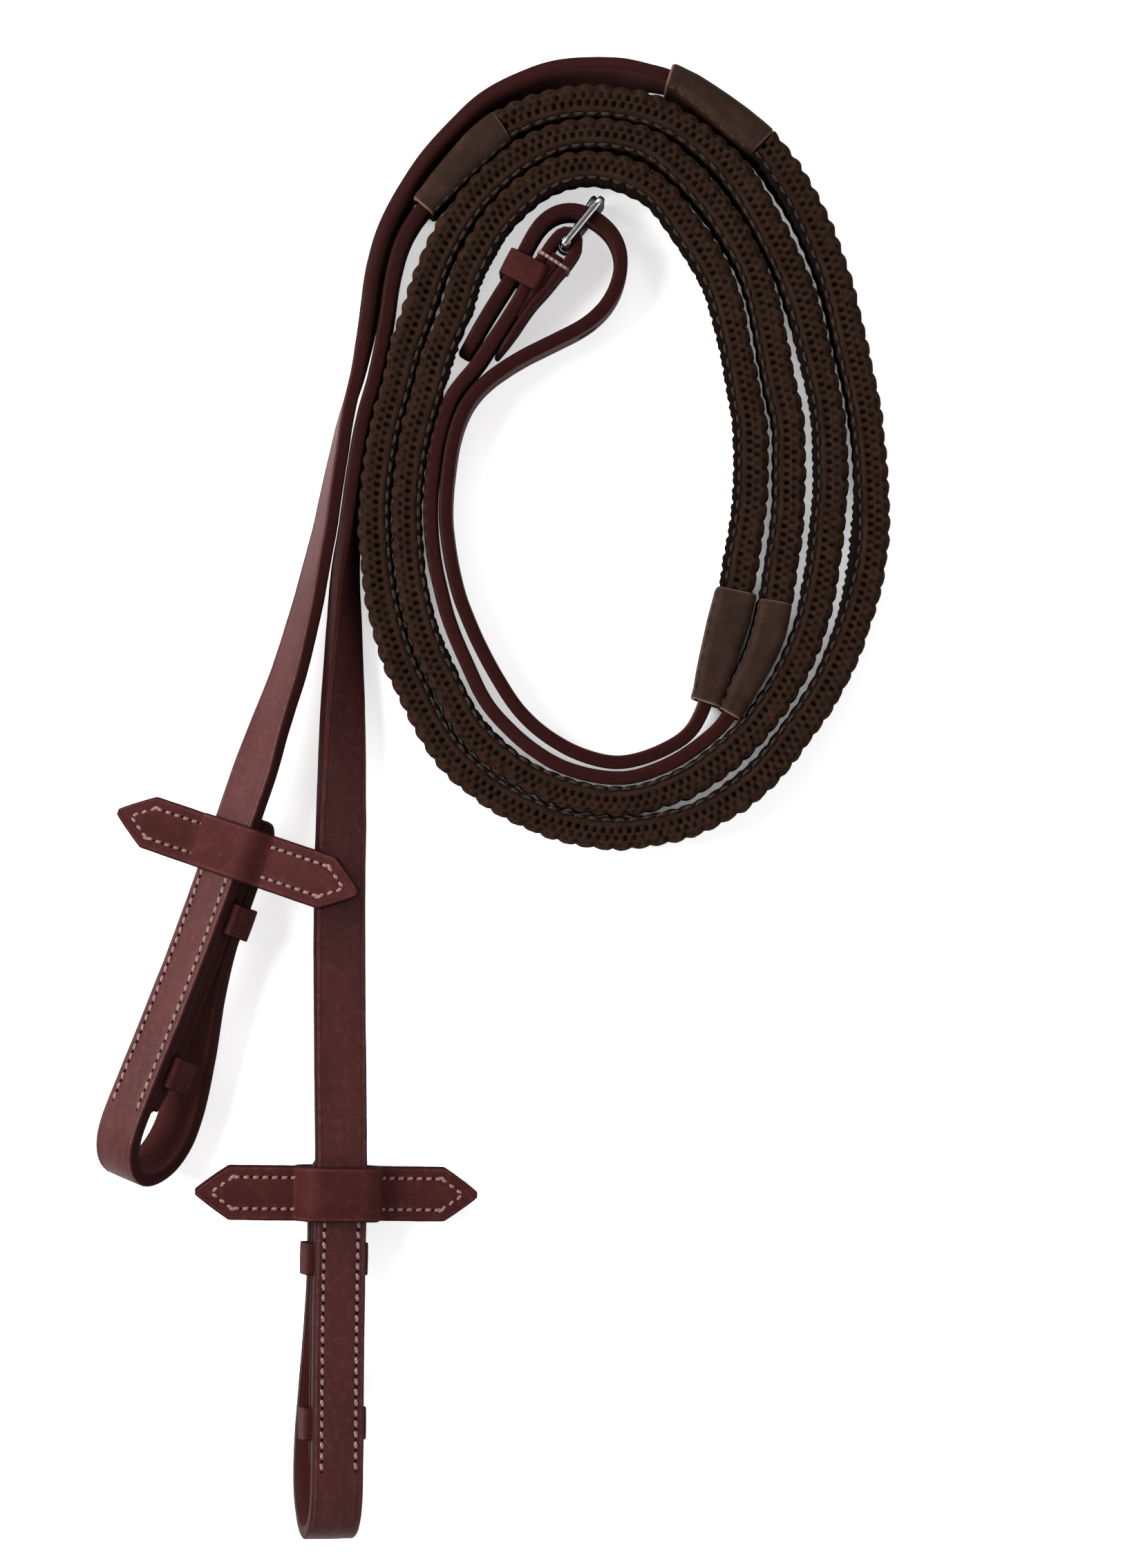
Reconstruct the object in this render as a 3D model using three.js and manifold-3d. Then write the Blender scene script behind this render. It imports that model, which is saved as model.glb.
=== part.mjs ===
// A pair of leather riding reins with rubber hand grips, lying coiled on a
// flat surface: two long straps standing on edge in a double oval coil, their
// bit ends lying face up below it, the two far ends joined by a small buckle.
// Millimetres, +Z up. The origin is the middle of the coil on the surface the
// reins rest on (z = 0); +Y runs from the bit ends towards the coil.

import * as THREE from "three";
import { mergeVertices } from "three/addons/utils/BufferGeometryUtils.js";
import Module from "manifold-3d";

const wasm = await Module();
wasm.setup();

// ---------------------------------------------------------------- dimensions
const STRAP_W = 16; // strap width
const STRAP_BEVEL = 0.8; // burnished edge of the strap
const GRIP_T = 9.0; // rubber grip, across the strap's faces
const GRIP_H = 20; // rubber grip, across the strap's width
const SLEEVE_H = 22; // end sleeve, across the strap's width
const SLEEVE_T_GRIP = 9.8; // end sleeve where it meets the grip
const SLEEVE_T_STRAP = 7.2; // end sleeve where the strap leaves it
const WALL_GAP = 0.3; // clearance between a strap and what is wrapped round it
const LAYER_GAP = 1.5; // front strap to backing, where the keepers are tucked in
const BACKING_W = 15.5;
const BACKING_T = 2.6;
const BACKING_TOP = 9; // the backing runs from here above the stud ...
const BACKING_BOTTOM = -83; // ... to here below it
const TAIL_TOP = 12; // end of the folded-back tail above the stud
const KEEPER_L = 10; // bit-end keeper, along the strap
const KEEPER_WALL = 1.6;
const KEEPER_LIP = 0.9; // the part of a keeper tucked under the front strap
const KEEPER_UPPER = -20; // keepers, measured down from the stud
const KEEPER_LOWER = -70;
const UPPER_KEEPER_DEPTH = 12.9;
const LOWER_KEEPER_DEPTH = 12.6;
const STOP_L = 88; // martingale stop, tip to tip
const STOP_W = 16.8;
const STOP_T = 2.3; // each of its two layers
const STOP_POINT = 10.2; // length of the pointed end
const STUD_NECK_R = 1.6;
const STUD_BASE_R = 4.2;
const FRAME_LEN = 16.2; // heel bar to far bar
const FRAME_H = 22; // outside height of the buckle frame
const FRAME_T = 2.2;
const FRAME_BAR = 2.4; // width of a side bar
const HEEL_R = 1.5;
const TONGUE_R_OUT = 3.1;
const TONGUE_R_IN = 1.9;
const TONGUE_W = 2.8;
const TONGUE_T = 2.3;
const COIL_Z = 11; // middle height of everything that stands on edge
const HOLE_L = 6.6; // billet hole, along the strap
const HOLE_W = 3.7;
const HOLE_PITCH = 22;
const BUCKLE_KEEPER_L = 8.7;
const BUCKLE_KEEPER_WALL = 1.4;

// Plan positions of the buckle's heel bar and the direction to its far bar.
const HEEL = [22.918, 171.343];
const FAR = [33.131, 183.897];

// Centre line of each rein: x, y, z, the direction across the strap (x, y, z),
// the thickness there, and the distance from the end of the tail.
const LEFT_LINE = [
  [-72.568, -6.374, 12.227, 0.7541, -0.2302, 0.6151, 4.2, 0], [-76.941, -19.128, 12.817, 0.7541, -0.2302, 0.6151, 4.2, 13.5],
  [-81.401, -31.844, 13.526, 0.7541, -0.2302, 0.6151, 4.2, 26.99], [-85.75, -44.604, 14.083, 0.7541, -0.2302, 0.6151, 4.2, 40.49],
  [-88.915, -57.673, 13.073, 0.7541, -0.2302, 0.6151, 4.2, 53.98], [-91.272, -70.804, 11.05, 0.7541, -0.2302, 0.6151, 4.2, 67.48],
  [-93.618, -83.934, 9.012, 0.7541, -0.2302, 0.6151, 4.2, 80.97], [-96.71, -97.014, 7.907, 0.7541, -0.2302, 0.6151, 4.2, 94.47],
  [-99.168, -104.075, 8.279, 0.7541, -0.2302, 0.6151, 4.2, 101.96], [-101.175, -107.964, 9.284, 0.7541, -0.2302, 0.6151, 4.2, 106.46],
  [-103.302, -111.005, 10.754, 0.7541, -0.2302, 0.6151, 4.2, 110.46], [-105.707, -113.46, 12.784, 0.7541, -0.2302, 0.6151, 4.2, 114.46],
  [-107.629, -114.82, 14.632, 0.7541, -0.2302, 0.6151, 4.2, 117.46], [-109.595, -115.607, 16.748, 0.7541, -0.2302, 0.6151, 4.2, 120.45],
  [-111.191, -115.732, 18.658, 0.7541, -0.2302, 0.6151, 4.2, 122.95], [-112.317, -115.238, 20.223, 0.7541, -0.2302, 0.6151, 4.2, 124.95],
  [-113.234, -114.272, 21.709, 0.7541, -0.2302, 0.6151, 4.2, 126.95], [-114.092, -112.629, 23.375, 0.7541, -0.2302, 0.6151, 4.2, 129.45],
  [-114.486, -111.006, 24.467, 0.7541, -0.2302, 0.6151, 4.2, 131.45], [-114.666, -108.287, 25.705, 0.7541, -0.2302, 0.6151, 4.2, 134.45],
  [-114.4, -105.404, 26.458, 0.7541, -0.2302, 0.6151, 4.2, 137.45], [-113.262, -100.563, 26.874, 0.7541, -0.2302, 0.6151, 4.2, 142.44],
  [-108.531, -87.978, 25.783, 0.7541, -0.2302, 0.6151, 4.2, 155.94], [-103.571, -75.508, 24.368, 0.7541, -0.2302, 0.6151, 4.2, 169.43],
  [-98.657, -63.012, 23.019, 0.7541, -0.2302, 0.6151, 4.2, 182.93], [-93.866, -50.451, 21.846, 0.7541, -0.2302, 0.6151, 4.2, 196.42],
  [-89.212, -37.822, 20.866, 0.7541, -0.2302, 0.6151, 4.2, 209.92], [-84.697, -25.128, 20.081, 0.7541, -0.2302, 0.6151, 4.2, 223.41],
  [-81.426, -15.695, 19.6, 0.7586, -0.2141, 0.6154, 4.2, 233.41], [-77.208, -3.394, 19.046, 0.7512, -0.2296, 0.6189, 4.2, 246.43],
  [-73.015, 8.916, 18.491, 0.7493, -0.216, 0.6261, 4.2, 259.44], [-68.984, 21.279, 17.551, 0.6757, -0.1467, 0.7224, 4.2, 272.48],
  [-64.699, 33.557, 16.177, 0.5994, -0.1179, 0.7917, 4.2, 285.56], [-60.888, 45.987, 14.799, 0.5473, -0.054, 0.8352, 4.2, 298.64],
  [-57.636, 58.578, 13.522, 0.4747, -0.0435, 0.8791, 4.2, 311.71], [-54.776, 71.263, 12.449, 0.3936, -0.0085, 0.9192, 4.2, 324.75],
  [-51.987, 83.964, 11.777, 0.316, -0.0279, 0.9484, 4.2, 337.78], [-49.683, 96.762, 11.312, 0.2508, -0.0166, 0.9679, 4.2, 350.79],
  [-47.242, 109.535, 11.025, 0.1785, -0.024, 0.9837, 4.2, 363.8], [-44.421, 122.226, 11, 0.0896, -0.0241, 0.9957, 4.2, 376.8],
  [-41.073, 134.789, 11, 0.0093, -0.002, 1, 4.2, 389.8], [-38.643, 147.564, 11, -0.0752, 0.0123, 0.9971, 4.2, 402.81],
  [-36.742, 160.427, 11, -0.1041, 0.0189, 0.9944, 4.2, 415.81], [-33.486, 173.002, 11, -0.1156, 0.0416, 0.9924, 4.2, 428.82],
  [-27.864, 184.708, 11, -0.1126, 0.0643, 0.9916, 4.2, 441.82], [-20.818, 195.633, 11, -0.1113, 0.0843, 0.9902, 4.2, 454.83],
  [-12.145, 205.344, 11, -0.117, 0.1133, 0.9866, 4.2, 467.86], [-2.5, 214.233, 11, -0.1122, 0.1575, 0.9811, 4.2, 480.99],
  [6.433, 219.092, 11, -0.095, 0.2166, 0.9716, 4.2, 491.18], [18.931, 223.39, 11, -0.0591, 0.2754, 0.9595, 4.2, 504.42],
  [32.084, 224.573, 11.077, -0.0259, 0.2802, 0.9596, 4.2, 517.65], [45.224, 223.605, 11.379, 0.0209, 0.2048, 0.9786, 4.2, 530.86],
  [54.181, 221.752, 11.42, 0.0335, 0.1064, 0.9938, 4.2, 540.01], [58.889, 219.61, 11.42, 0.0474, 0.0807, 0.9956, 4.2, 545.2],
  [69.57, 212.022, 11.42, 0.0527, 0.0685, 0.9963, 4.2, 558.3], [79.738, 203.884, 11.42, 0.0505, 0.0622, 0.9968, 4.2, 571.33],
  [82.784, 201.186, 11.419, 0.0559, 0.0533, 0.997, 4.2, 575.4], [90.759, 190.773, 11.289, 0.0585, 0.023, 0.998, 4.2, 588.54],
  [97.367, 179.517, 11.118, 0.0456, 0.0084, 0.9989, 4.2, 601.6], [102.545, 167.554, 11, 0.0265, 0.0093, 0.9996, 4.2, 614.64],
  [106.636, 155.194, 11, 0.0166, 0.0045, 0.9999, 4.2, 627.67], [109.658, 142.541, 11, 0.0073, 0.0016, 1, 4.2, 640.68],
  [112.574, 129.867, 11, 0.0003, 0.0001, 1, 4.2, 653.68], [114.975, 117.092, 11, 0, 0, 1, 4.2, 666.69], [116.349, 104.163, 11, 0, 0, 1, 4.2, 679.69],
  [117.053, 91.179, 11, 0, 0, 1, 4.2, 692.69], [116.835, 78.186, 11, 0, 0, 1, 4.2, 705.7], [114.776, 65.358, 11, 0, 0, 1, 4.2, 718.7],
  [111.036, 52.909, 11, 0, 0, 1, 4.2, 731.71], [106.223, 40.834, 11, 0, 0, 1, 4.2, 744.71], [99.971, 29.445, 11, 0, 0, 1, 4.2, 757.71],
  [92.397, 18.877, 11, 0, 0, 1, 4.2, 770.72], [84.289, 8.718, 11, 0, 0, 1, 4.2, 783.72], [76.013, 1.498, 11, 0, 0, 1, 4.2, 794.73],
  [64.818, -5.084, 11, 0, 0, 1, 4.2, 807.73], [55.357, -8.274, 11, 0, 0, 1, 4.2, 817.73], [42.539, -10.416, 11, 0, 0, 1, 4.2, 830.74],
  [32.555, -10.228, 11, 0, 0, 1, 4.2, 840.74], [19.851, -7.528, 11, 0, 0, 1, 4.2, 853.74], [7.889, -2.471, 11, 0, 0, 1, 4.2, 866.75],
  [-3.073, 4.497, 11, 0, 0, 1, 4.2, 879.75], [-11.942, 12.552, 11, 0, 0, 1, 4.2, 891.76], [-18.795, 22.38, 11, 0, 0, 1, 4.2, 903.76],
  [-24.566, 34.031, 11, 0, 0, 1, 4.2, 916.76], [-29.832, 45.905, 11, 0, 0, 1, 4.2, 929.77], [-33.296, 58.434, 11, 0, 0, 1, 4.2, 942.77],
  [-35.27, 71.278, 11, 0, 0, 1, 4.2, 955.78], [-36.262, 84.242, 11, 0, 0, 1, 4.2, 968.78], [-35.752, 97.223, 11, 0, 0, 1, 4.2, 981.78],
  [-33.951, 110.098, 11, 0, 0, 1, 4.2, 994.79], [-30.853, 122.721, 11, 0, 0, 1, 4.2, 1007.79], [-27.563, 135.299, 11, 0, 0, 1, 4.2, 1020.8],
  [-23.484, 147.644, 11, 0, 0, 1, 4.2, 1033.8], [-19.382, 159.983, 11, 0, 0, 1, 4.2, 1046.8], [-14.162, 171.881, 11, 0, 0, 1, 4.2, 1059.81],
  [-7.291, 182.906, 11, 0, 0, 1, 4.2, 1072.81], [1.557, 192.406, 11, 0, 0, 1, 4.2, 1085.82], [11.26, 199.434, 11, 0, 0, 1, 4.2, 1097.82],
  [20.405, 203.437, 11, 0, 0, 1, 4.2, 1107.82], [28.265, 204.846, 11, 0, 0, 1, 4.2, 1115.82], [37.243, 204.453, 11, 0, 0, 1, 4.2, 1124.83],
  [45.989, 202.388, 11, 0, 0, 1, 4.2, 1133.83], [51.335, 199.687, 11, 0, 0, 1, 4.2, 1139.83], [60.444, 191.902, 11, 0, 0, 1, 4.2, 1151.83],
  [69.022, 182.14, 11, 0, 0, 1, 4.2, 1164.84], [76.153, 171.28, 11, 0, 0, 1, 4.2, 1177.84], [81.587, 159.481, 11, 0, 0, 1, 4.2, 1190.85],
  [84.675, 146.865, 11, 0, 0, 1, 4.2, 1203.85], [87.124, 134.094, 11, 0, 0, 1, 4.2, 1216.85], [89.869, 121.388, 11, 0, 0, 1, 4.2, 1229.86],
  [91.214, 112.506, 11, 0, 0, 1, 4.2, 1238.86], [91.256, 99.503, 11, 0, 0, 1, 4.2, 1251.87], [90.824, 86.508, 11, 0, 0, 1, 4.2, 1264.87],
  [89.251, 73.603, 11, 0, 0, 1, 4.2, 1277.87], [87.38, 60.734, 11, 0, 0, 1, 4.2, 1290.88], [84.354, 48.107, 11, 0, 0, 1, 4.2, 1303.88],
  [78.819, 36.357, 11, 0, 0, 1, 4.2, 1316.89], [73.258, 25.721, 11, 0, 0, 1, 4.2, 1328.89], [70.267, 21.723, 11, 0, 0, 1, 4.2, 1333.89],
  [60.96, 14.163, 11, 0, 0, 1, 4.2, 1345.89], [52.189, 9.393, 11, 0, 0, 1, 4.2, 1355.9], [43.633, 6.64, 11, 0, 0, 1, 4.2, 1364.9],
  [37.665, 6.136, 11, 0, 0, 1, 4.2, 1370.9], [28.769, 7.417, 11, 0, 0, 1, 4.2, 1379.9], [20.261, 10.312, 11, 0, 0, 1, 4.2, 1388.91],
  [11.745, 15.525, 11, 0, 0, 1, 4.2, 1398.91], [2.22, 24.354, 11, 0, 0, 1, 4.2, 1411.91], [-3.218, 31.503, 11, 0, 0, 1, 4.2, 1420.92],
  [-8.706, 43.286, 11, 0, 0, 1, 4.2, 1433.92], [-13.639, 55.31, 11, 0, 0, 1, 4.2, 1446.92], [-16.906, 67.894, 11, 0, 0, 1, 4.2, 1459.93],
  [-18.932, 80.723, 11, 0, 0, 1, 4.2, 1472.93], [-19.148, 93.715, 11, 0, 0, 1, 4.2, 1485.94], [-17.688, 106.632, 11, 0, 0, 1, 4.2, 1498.94],
  [-14.528, 119.234, 11, 0, 0, 1, 4.2, 1511.94], [-12.08, 124.699, 11, 0, 0, 1, 4.2, 1517.95], [-4.046, 134.911, 11, 0, 0, 1, 4.2, 1530.95],
  [3.203, 145.706, 11, 0, 0, 1, 4.2, 1543.95], [9.702, 156.963, 11, 0, 0, 1, 3.7, 1556.96], [16.314, 168.14, 11, 0, 0, 1, 3.19, 1569.96],
  [20.526, 173.714, 11, 0, 0, 1, 3.12, 1576.96], [22.211, 174.73, 11, 0, 0, 1, 3.1, 1578.95], [24.181, 174.533, 11, 0, 0, 1, 3.08, 1580.95],
  [25.766, 173.362, 11, 0, 0, 1, 3.06, 1582.94], [26.377, 171.511, 11, 0, 0, 1, 3.04, 1584.93], [25.852, 169.589, 11, 0, 0, 1, 3.02, 1586.93],
  [24.346, 167, 11, 0, 0, 1, 2.96, 1589.93], [16.329, 156.773, 11, 0, 0, 1, 2.4, 1602.93], [8.343, 146.546, 11, 0, 0, 1, 2.24, 1615.93],
  [1.003, 135.811, 11, 0, 0, 1, 1.2, 1628.94],
];
const RIGHT_LINE = [
  [-48.913, -110.327, 10.365, 0.9558, -0.0348, -0.2921, 4.2, 0], [-49.224, -123.806, 10.955, 0.9558, -0.0348, -0.2921, 4.2, 13.5],
  [-49.49, -137.278, 11.689, 0.9558, -0.0348, -0.2921, 4.2, 26.99], [-49.813, -150.755, 12.239, 0.9558, -0.0348, -0.2921, 4.2, 40.49],
  [-50.713, -164.141, 10.89, 0.9558, -0.0348, -0.2921, 4.2, 53.98], [-51.981, -177.325, 8.312, 0.9558, -0.0348, -0.2921, 4.2, 67.48],
  [-53.254, -190.505, 5.717, 0.9558, -0.0348, -0.2921, 4.2, 80.97], [-54.188, -203.879, 4.253, 0.9558, -0.0348, -0.2921, 4.2, 94.47],
  [-54.344, -211.353, 4.635, 0.9558, -0.0348, -0.2921, 4.2, 101.96], [-54.141, -215.681, 5.813, 0.9558, -0.0348, -0.2921, 4.2, 106.46],
  [-53.736, -219.245, 7.564, 0.9558, -0.0348, -0.2921, 4.2, 110.46], [-53.105, -222.346, 9.997, 0.9558, -0.0348, -0.2921, 4.2, 114.46],
  [-52.495, -224.254, 12.222, 0.9558, -0.0348, -0.2921, 4.2, 117.46], [-51.765, -225.634, 14.776, 0.9558, -0.0348, -0.2921, 4.2, 120.45],
  [-51.082, -226.269, 17.086, 0.9558, -0.0348, -0.2921, 4.2, 122.95], [-50.497, -226.165, 18.986, 0.9558, -0.0348, -0.2921, 4.2, 124.95],
  [-49.922, -225.548, 20.794, 0.9558, -0.0348, -0.2921, 4.2, 126.95], [-49.254, -224.271, 22.828, 0.9558, -0.0348, -0.2921, 4.2, 129.45],
  [-48.794, -222.863, 24.165, 0.9558, -0.0348, -0.2921, 4.2, 131.45], [-48.237, -220.349, 25.69, 0.9558, -0.0348, -0.2921, 4.2, 134.45],
  [-47.847, -217.535, 26.63, 0.9558, -0.0348, -0.2921, 4.2, 137.45], [-47.498, -212.588, 27.181, 0.9558, -0.0348, -0.2921, 4.2, 142.44],
  [-47.375, -199.153, 25.982, 0.9558, -0.0348, -0.2921, 4.2, 155.94], [-47.374, -185.752, 24.391, 0.9558, -0.0348, -0.2921, 4.2, 169.43],
  [-47.347, -172.342, 22.88, 0.9558, -0.0348, -0.2921, 4.2, 182.93], [-47.255, -158.91, 21.581, 0.9558, -0.0348, -0.2921, 4.2, 196.42],
  [-47.09, -145.458, 20.517, 0.9558, -0.0348, -0.2921, 4.2, 209.92], [-46.852, -131.99, 19.69, 0.9558, -0.0348, -0.2921, 4.2, 223.41],
  [-46.638, -122.008, 19.2, 0.9554, -0.0463, -0.2917, 4.2, 233.41], [-46.655, -109.014, 18.639, 0.9564, -0.0059, -0.2921, 4.2, 246.42],
  [-46.782, -96.02, 18.071, 0.9564, -0.0018, -0.2921, 4.2, 259.43], [-46.945, -83.025, 17.503, 0.9554, -0.0007, -0.2952, 4.2, 272.43],
  [-47.104, -70.031, 16.936, 0.9516, -0.0031, -0.3072, 4.2, 285.44], [-47.233, -57.036, 16.368, 0.9445, -0.0061, -0.3283, 4.2, 298.45],
  [-47.292, -44.041, 15.8, 0.9361, -0.0143, -0.3514, 4.2, 311.46], [-47.278, -31.045, 15.232, 0.9259, -0.0204, -0.3772, 4.2, 324.47],
  [-47.141, -18.051, 14.622, 0.9005, -0.047, -0.4323, 4.2, 337.48], [-46.865, -5.059, 13.91, 0.866, -0.0359, -0.4988, 4.2, 350.49],
  [-46.704, 7.935, 13.199, 0.8139, -0.0417, -0.5795, 4.2, 363.5], [-46.544, 20.93, 12.603, 0.7433, -0.0372, -0.668, 4.2, 376.51],
  [-46.359, 33.924, 12.054, 0.6452, -0.0431, -0.7628, 4.2, 389.52], [-46.137, 46.917, 11.504, 0.5219, -0.0451, -0.8518, 4.2, 402.53],
  [-45.967, 59.912, 11.145, 0.3965, -0.0122, -0.918, 4.2, 415.53], [-45.321, 73.887, 11.019, 0.2543, -0.0283, -0.9667, 4.2, 429.53],
  [-44.028, 87.822, 11, 0.1069, -0.0087, -0.9942, 4.2, 443.52], [-42.666, 101.75, 11, 0.0208, -0.0027, -0.9998, 4.2, 457.52],
  [-40.294, 115.537, 11, 0, 0, -1, 4.2, 471.51], [-36.667, 129.051, 11, 0, 0, -1, 4.2, 485.51], [-33.76, 142.737, 11, 0, 0, -1, 4.2, 499.5],
  [-31.672, 156.573, 11, 0, 0, -1, 4.2, 513.5], [-28.483, 170.181, 11, 0, 0, -1, 4.2, 527.49], [-25.488, 176.49, 11, 0, 0, -1, 4.2, 534.49],
  [-21.371, 182.142, 11, 0, 0, -1, 4.2, 541.49], [-12.101, 192.625, 11, 0, 0, -1, 4.2, 555.48], [-2.304, 202.611, 11, 0, 0, -1, 4.2, 569.48],
  [3.208, 206.908, 11, 0, 0, -1, 4.2, 576.47], [11.296, 210.811, 11, 0, 0, -1, 4.2, 585.47], [22.862, 213.904, 11, 0, 0, -1, 4.2, 597.46],
  [33.824, 214.427, 11, 0, 0, -1, 4.2, 608.46], [46.622, 212.297, 11, 0, 0, -1, 4.2, 621.46], [54.988, 209.031, 11, 0, 0, -1, 4.2, 630.45],
  [64.149, 202.983, 11, 0, 0, -1, 4.2, 641.45], [74.081, 193.159, 11, 0, 0, -1, 4.2, 655.44], [81.809, 181.508, 11, 0, 0, -1, 4.2, 669.44],
  [88.514, 169.226, 11, 0, 0, -1, 4.2, 683.43], [94.051, 156.384, 11, 0, 0, -1, 4.2, 697.43], [98.091, 142.988, 11, 0, 0, -1, 4.2, 711.42],
  [101.452, 129.404, 11, 0, 0, -1, 4.2, 725.42], [103.771, 115.615, 11, 0, 0, -1, 4.2, 739.41], [104.415, 101.636, 11, 0, 0, -1, 4.2, 753.41],
  [103.734, 87.668, 11, 0, 0, -1, 4.2, 767.4], [102.3, 73.747, 11, 0, 0, -1, 4.2, 781.4], [99.797, 59.983, 11, 0, 0, -1, 4.2, 795.39],
  [95.604, 46.648, 11, 0, 0, -1, 4.2, 809.39], [89.369, 34.133, 11, 0, 0, -1, 4.2, 823.38], [81.378, 22.653, 11, 0, 0, -1, 4.2, 837.38],
  [71.299, 12.965, 11, 0, 0, -1, 4.2, 851.37], [59.788, 5.046, 11, 0, 0, -1, 4.2, 865.37], [48.71, 0.495, 11, 0, 0, -1, 4.2, 877.36],
  [40.86, -0.945, 11, 0, 0, -1, 4.2, 885.36], [32.884, -0.62, 11, 0, 0, -1, 4.2, 893.36], [20.292, 2.492, 11, 0, 0, -1, 4.2, 906.35],
  [7.754, 8.653, 11, 0, 0, -1, 4.2, 920.35], [-3.161, 17.38, 11, 0, 0, -1, 4.2, 934.34], [-8.265, 23.511, 11, 0, 0, -1, 4.2, 942.34],
  [-14.747, 35.909, 11, 0, 0, -1, 4.2, 956.33], [-20.605, 48.603, 11, 0, 0, -1, 4.2, 970.33], [-24.197, 62.117, 11, 0, 0, -1, 4.2, 984.32],
  [-26.07, 75.98, 11, 0, 0, -1, 4.2, 998.32], [-26.517, 89.96, 11, 0, 0, -1, 4.2, 1012.31], [-25.3, 103.895, 11, 0, 0, -1, 4.2, 1026.31],
  [-22.431, 117.578, 11, 0, 0, -1, 4.2, 1040.3], [-18.752, 131.077, 11, 0, 0, -1, 4.2, 1054.3], [-13.973, 144.204, 11, 0, 0, -1, 4.2, 1068.29],
  [-9.47, 157.433, 11, 0, 0, -1, 4.2, 1082.29], [-5.67, 166.654, 11, 0, 0, -1, 4.2, 1092.29], [1.622, 178.575, 11, 0, 0, -1, 4.2, 1106.28],
  [10.09, 187.042, 11, 0, 0, -1, 4.2, 1118.28], [16.725, 191.483, 11, 0, 0, -1, 4.2, 1126.27], [22.293, 193.684, 11, 0, 0, -1, 4.2, 1132.27],
  [28.191, 194.715, 11, 0, 0, -1, 4.2, 1138.27], [34.172, 194.478, 11, 0, 0, -1, 4.2, 1144.27], [41.875, 192.391, 11, 0, 0, -1, 4.2, 1152.26],
  [48.13, 189.279, 11, 0, 0, -1, 4.2, 1159.26], [52.005, 186.142, 11, 0, 0, -1, 4.2, 1164.26], [60.393, 174.957, 11, 0, 0, -1, 4.2, 1178.25],
  [67.81, 163.101, 11, 0, 0, -1, 4.2, 1192.25], [72.164, 151.946, 11, 0, 0, -1, 4.2, 1204.24], [75.457, 138.346, 11, 0, 0, -1, 4.2, 1218.24],
  [78.066, 124.597, 11, 0, 0, -1, 4.2, 1232.23], [79.784, 110.73, 11, 0, 0, -1, 4.2, 1246.23], [79.739, 96.737, 11, 0, 0, -1, 4.2, 1260.22],
  [78.421, 82.812, 11, 0, 0, -1, 4.2, 1274.22], [76.171, 68.999, 11, 0, 0, -1, 4.2, 1288.21], [75.241, 64.089, 11, 0, 0, -1, 4.2, 1293.21],
  [71.659, 50.561, 11, 0, 0, -1, 4.2, 1307.21], [67.915, 37.077, 11, 0, 0, -1, 4.2, 1321.2], [65.723, 29.388, 11, 0, 0, -1, 4.2, 1329.2],
  [62.928, 22.987, 11, 0, 0, -1, 4.2, 1336.2], [61.172, 20.564, 11, 0, 0, -1, 4.2, 1339.19], [58.174, 17.928, 11, 0, 0, -1, 4.2, 1343.19],
  [51.144, 14.144, 11, 0, 0, -1, 4.2, 1351.19], [42.605, 11.368, 11, 0, 0, -1, 4.2, 1360.18], [37.629, 11.045, 11, 0, 0, -1, 4.2, 1365.18],
  [31.729, 12.057, 11, 0, 0, -1, 4.2, 1371.18], [22.437, 15.693, 11, 0, 0, -1, 4.2, 1381.18], [14.143, 21.24, 11, 0, 0, -1, 4.2, 1391.17],
  [7.154, 28.36, 11, 0, 0, -1, 4.2, 1401.17], [-0.293, 40.191, 11, 0, 0, -1, 4.2, 1415.16], [-6.52, 52.718, 11, 0, 0, -1, 4.2, 1429.16],
  [-11.209, 65.888, 11, 0, 0, -1, 4.2, 1443.15], [-13.857, 79.621, 11, 0, 0, -1, 4.2, 1457.15], [-14.354, 93.585, 11, 0, 0, -1, 4.2, 1471.14],
  [-12.702, 107.475, 11, 0, 0, -1, 4.2, 1485.14], [-9.668, 118.022, 11, 0, 0, -1, 4.2, 1496.13], [-6.763, 123.257, 11, 0, 0, -1, 4.2, 1502.13],
  [-2.779, 127.725, 11, 0, 0, -1, 4.2, 1508.13], [7.764, 135.285, 11, 0, 0, -1, 4.2, 1521.12], [20.254, 141.59, 11, 0, 0, -1, 4.2, 1535.12],
  [30.603, 147.609, 11, 0, 0, -1, 4.2, 1547.11], [34.836, 151.838, 11, 0, 0, -1, 4.2, 1553.11], [37.465, 156.077, 11, 0, 0, -1, 4.2, 1558.11],
  [39.075, 160.799, 11, 0, 0, -1, 4.2, 1563.11], [39.613, 165.756, 11, 0, 0, -1, 4.2, 1568.1], [39.053, 169.703, 11, 0, 0, -1, 4.2, 1572.1],
  [37.944, 172.483, 11, 0, 0, -1, 4.2, 1575.1], [35.623, 175.725, 11, 0, 0, -1, 4.2, 1579.1], [32.6, 178.331, 11, 0, 0, -1, 4.2, 1583.1],
  [29.098, 180.243, 11, 0, 0, -1, 4.2, 1587.09], [28.163, 180.597, 11, 0, 0, -1, 4.2, 1588.09], [25.244, 181.256, 11, 0, 0, -1, 4.2, 1591.09],
  [22.253, 181.237, 11, 0, 0, -1, 4.2, 1594.09], [19.377, 180.417, 11, 0, 0, -1, 4.2, 1597.09], [16.821, 178.868, 11, 0, 0, -1, 4.2, 1600.09],
  [14.676, 176.779, 11, 0, 0, -1, 4.2, 1603.08], [11.451, 171.735, 11, 0, 0, -1, 4.2, 1609.08], [4.878, 159.384, 11, 0, 0, -1, 4.2, 1623.08],
  [-2.454, 147.465, 11, 0, 0, -1, 4.2, 1637.07], [-8.997, 136.237, 11, 0, 0, -1, 4.2, 1650.07],
];
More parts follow.
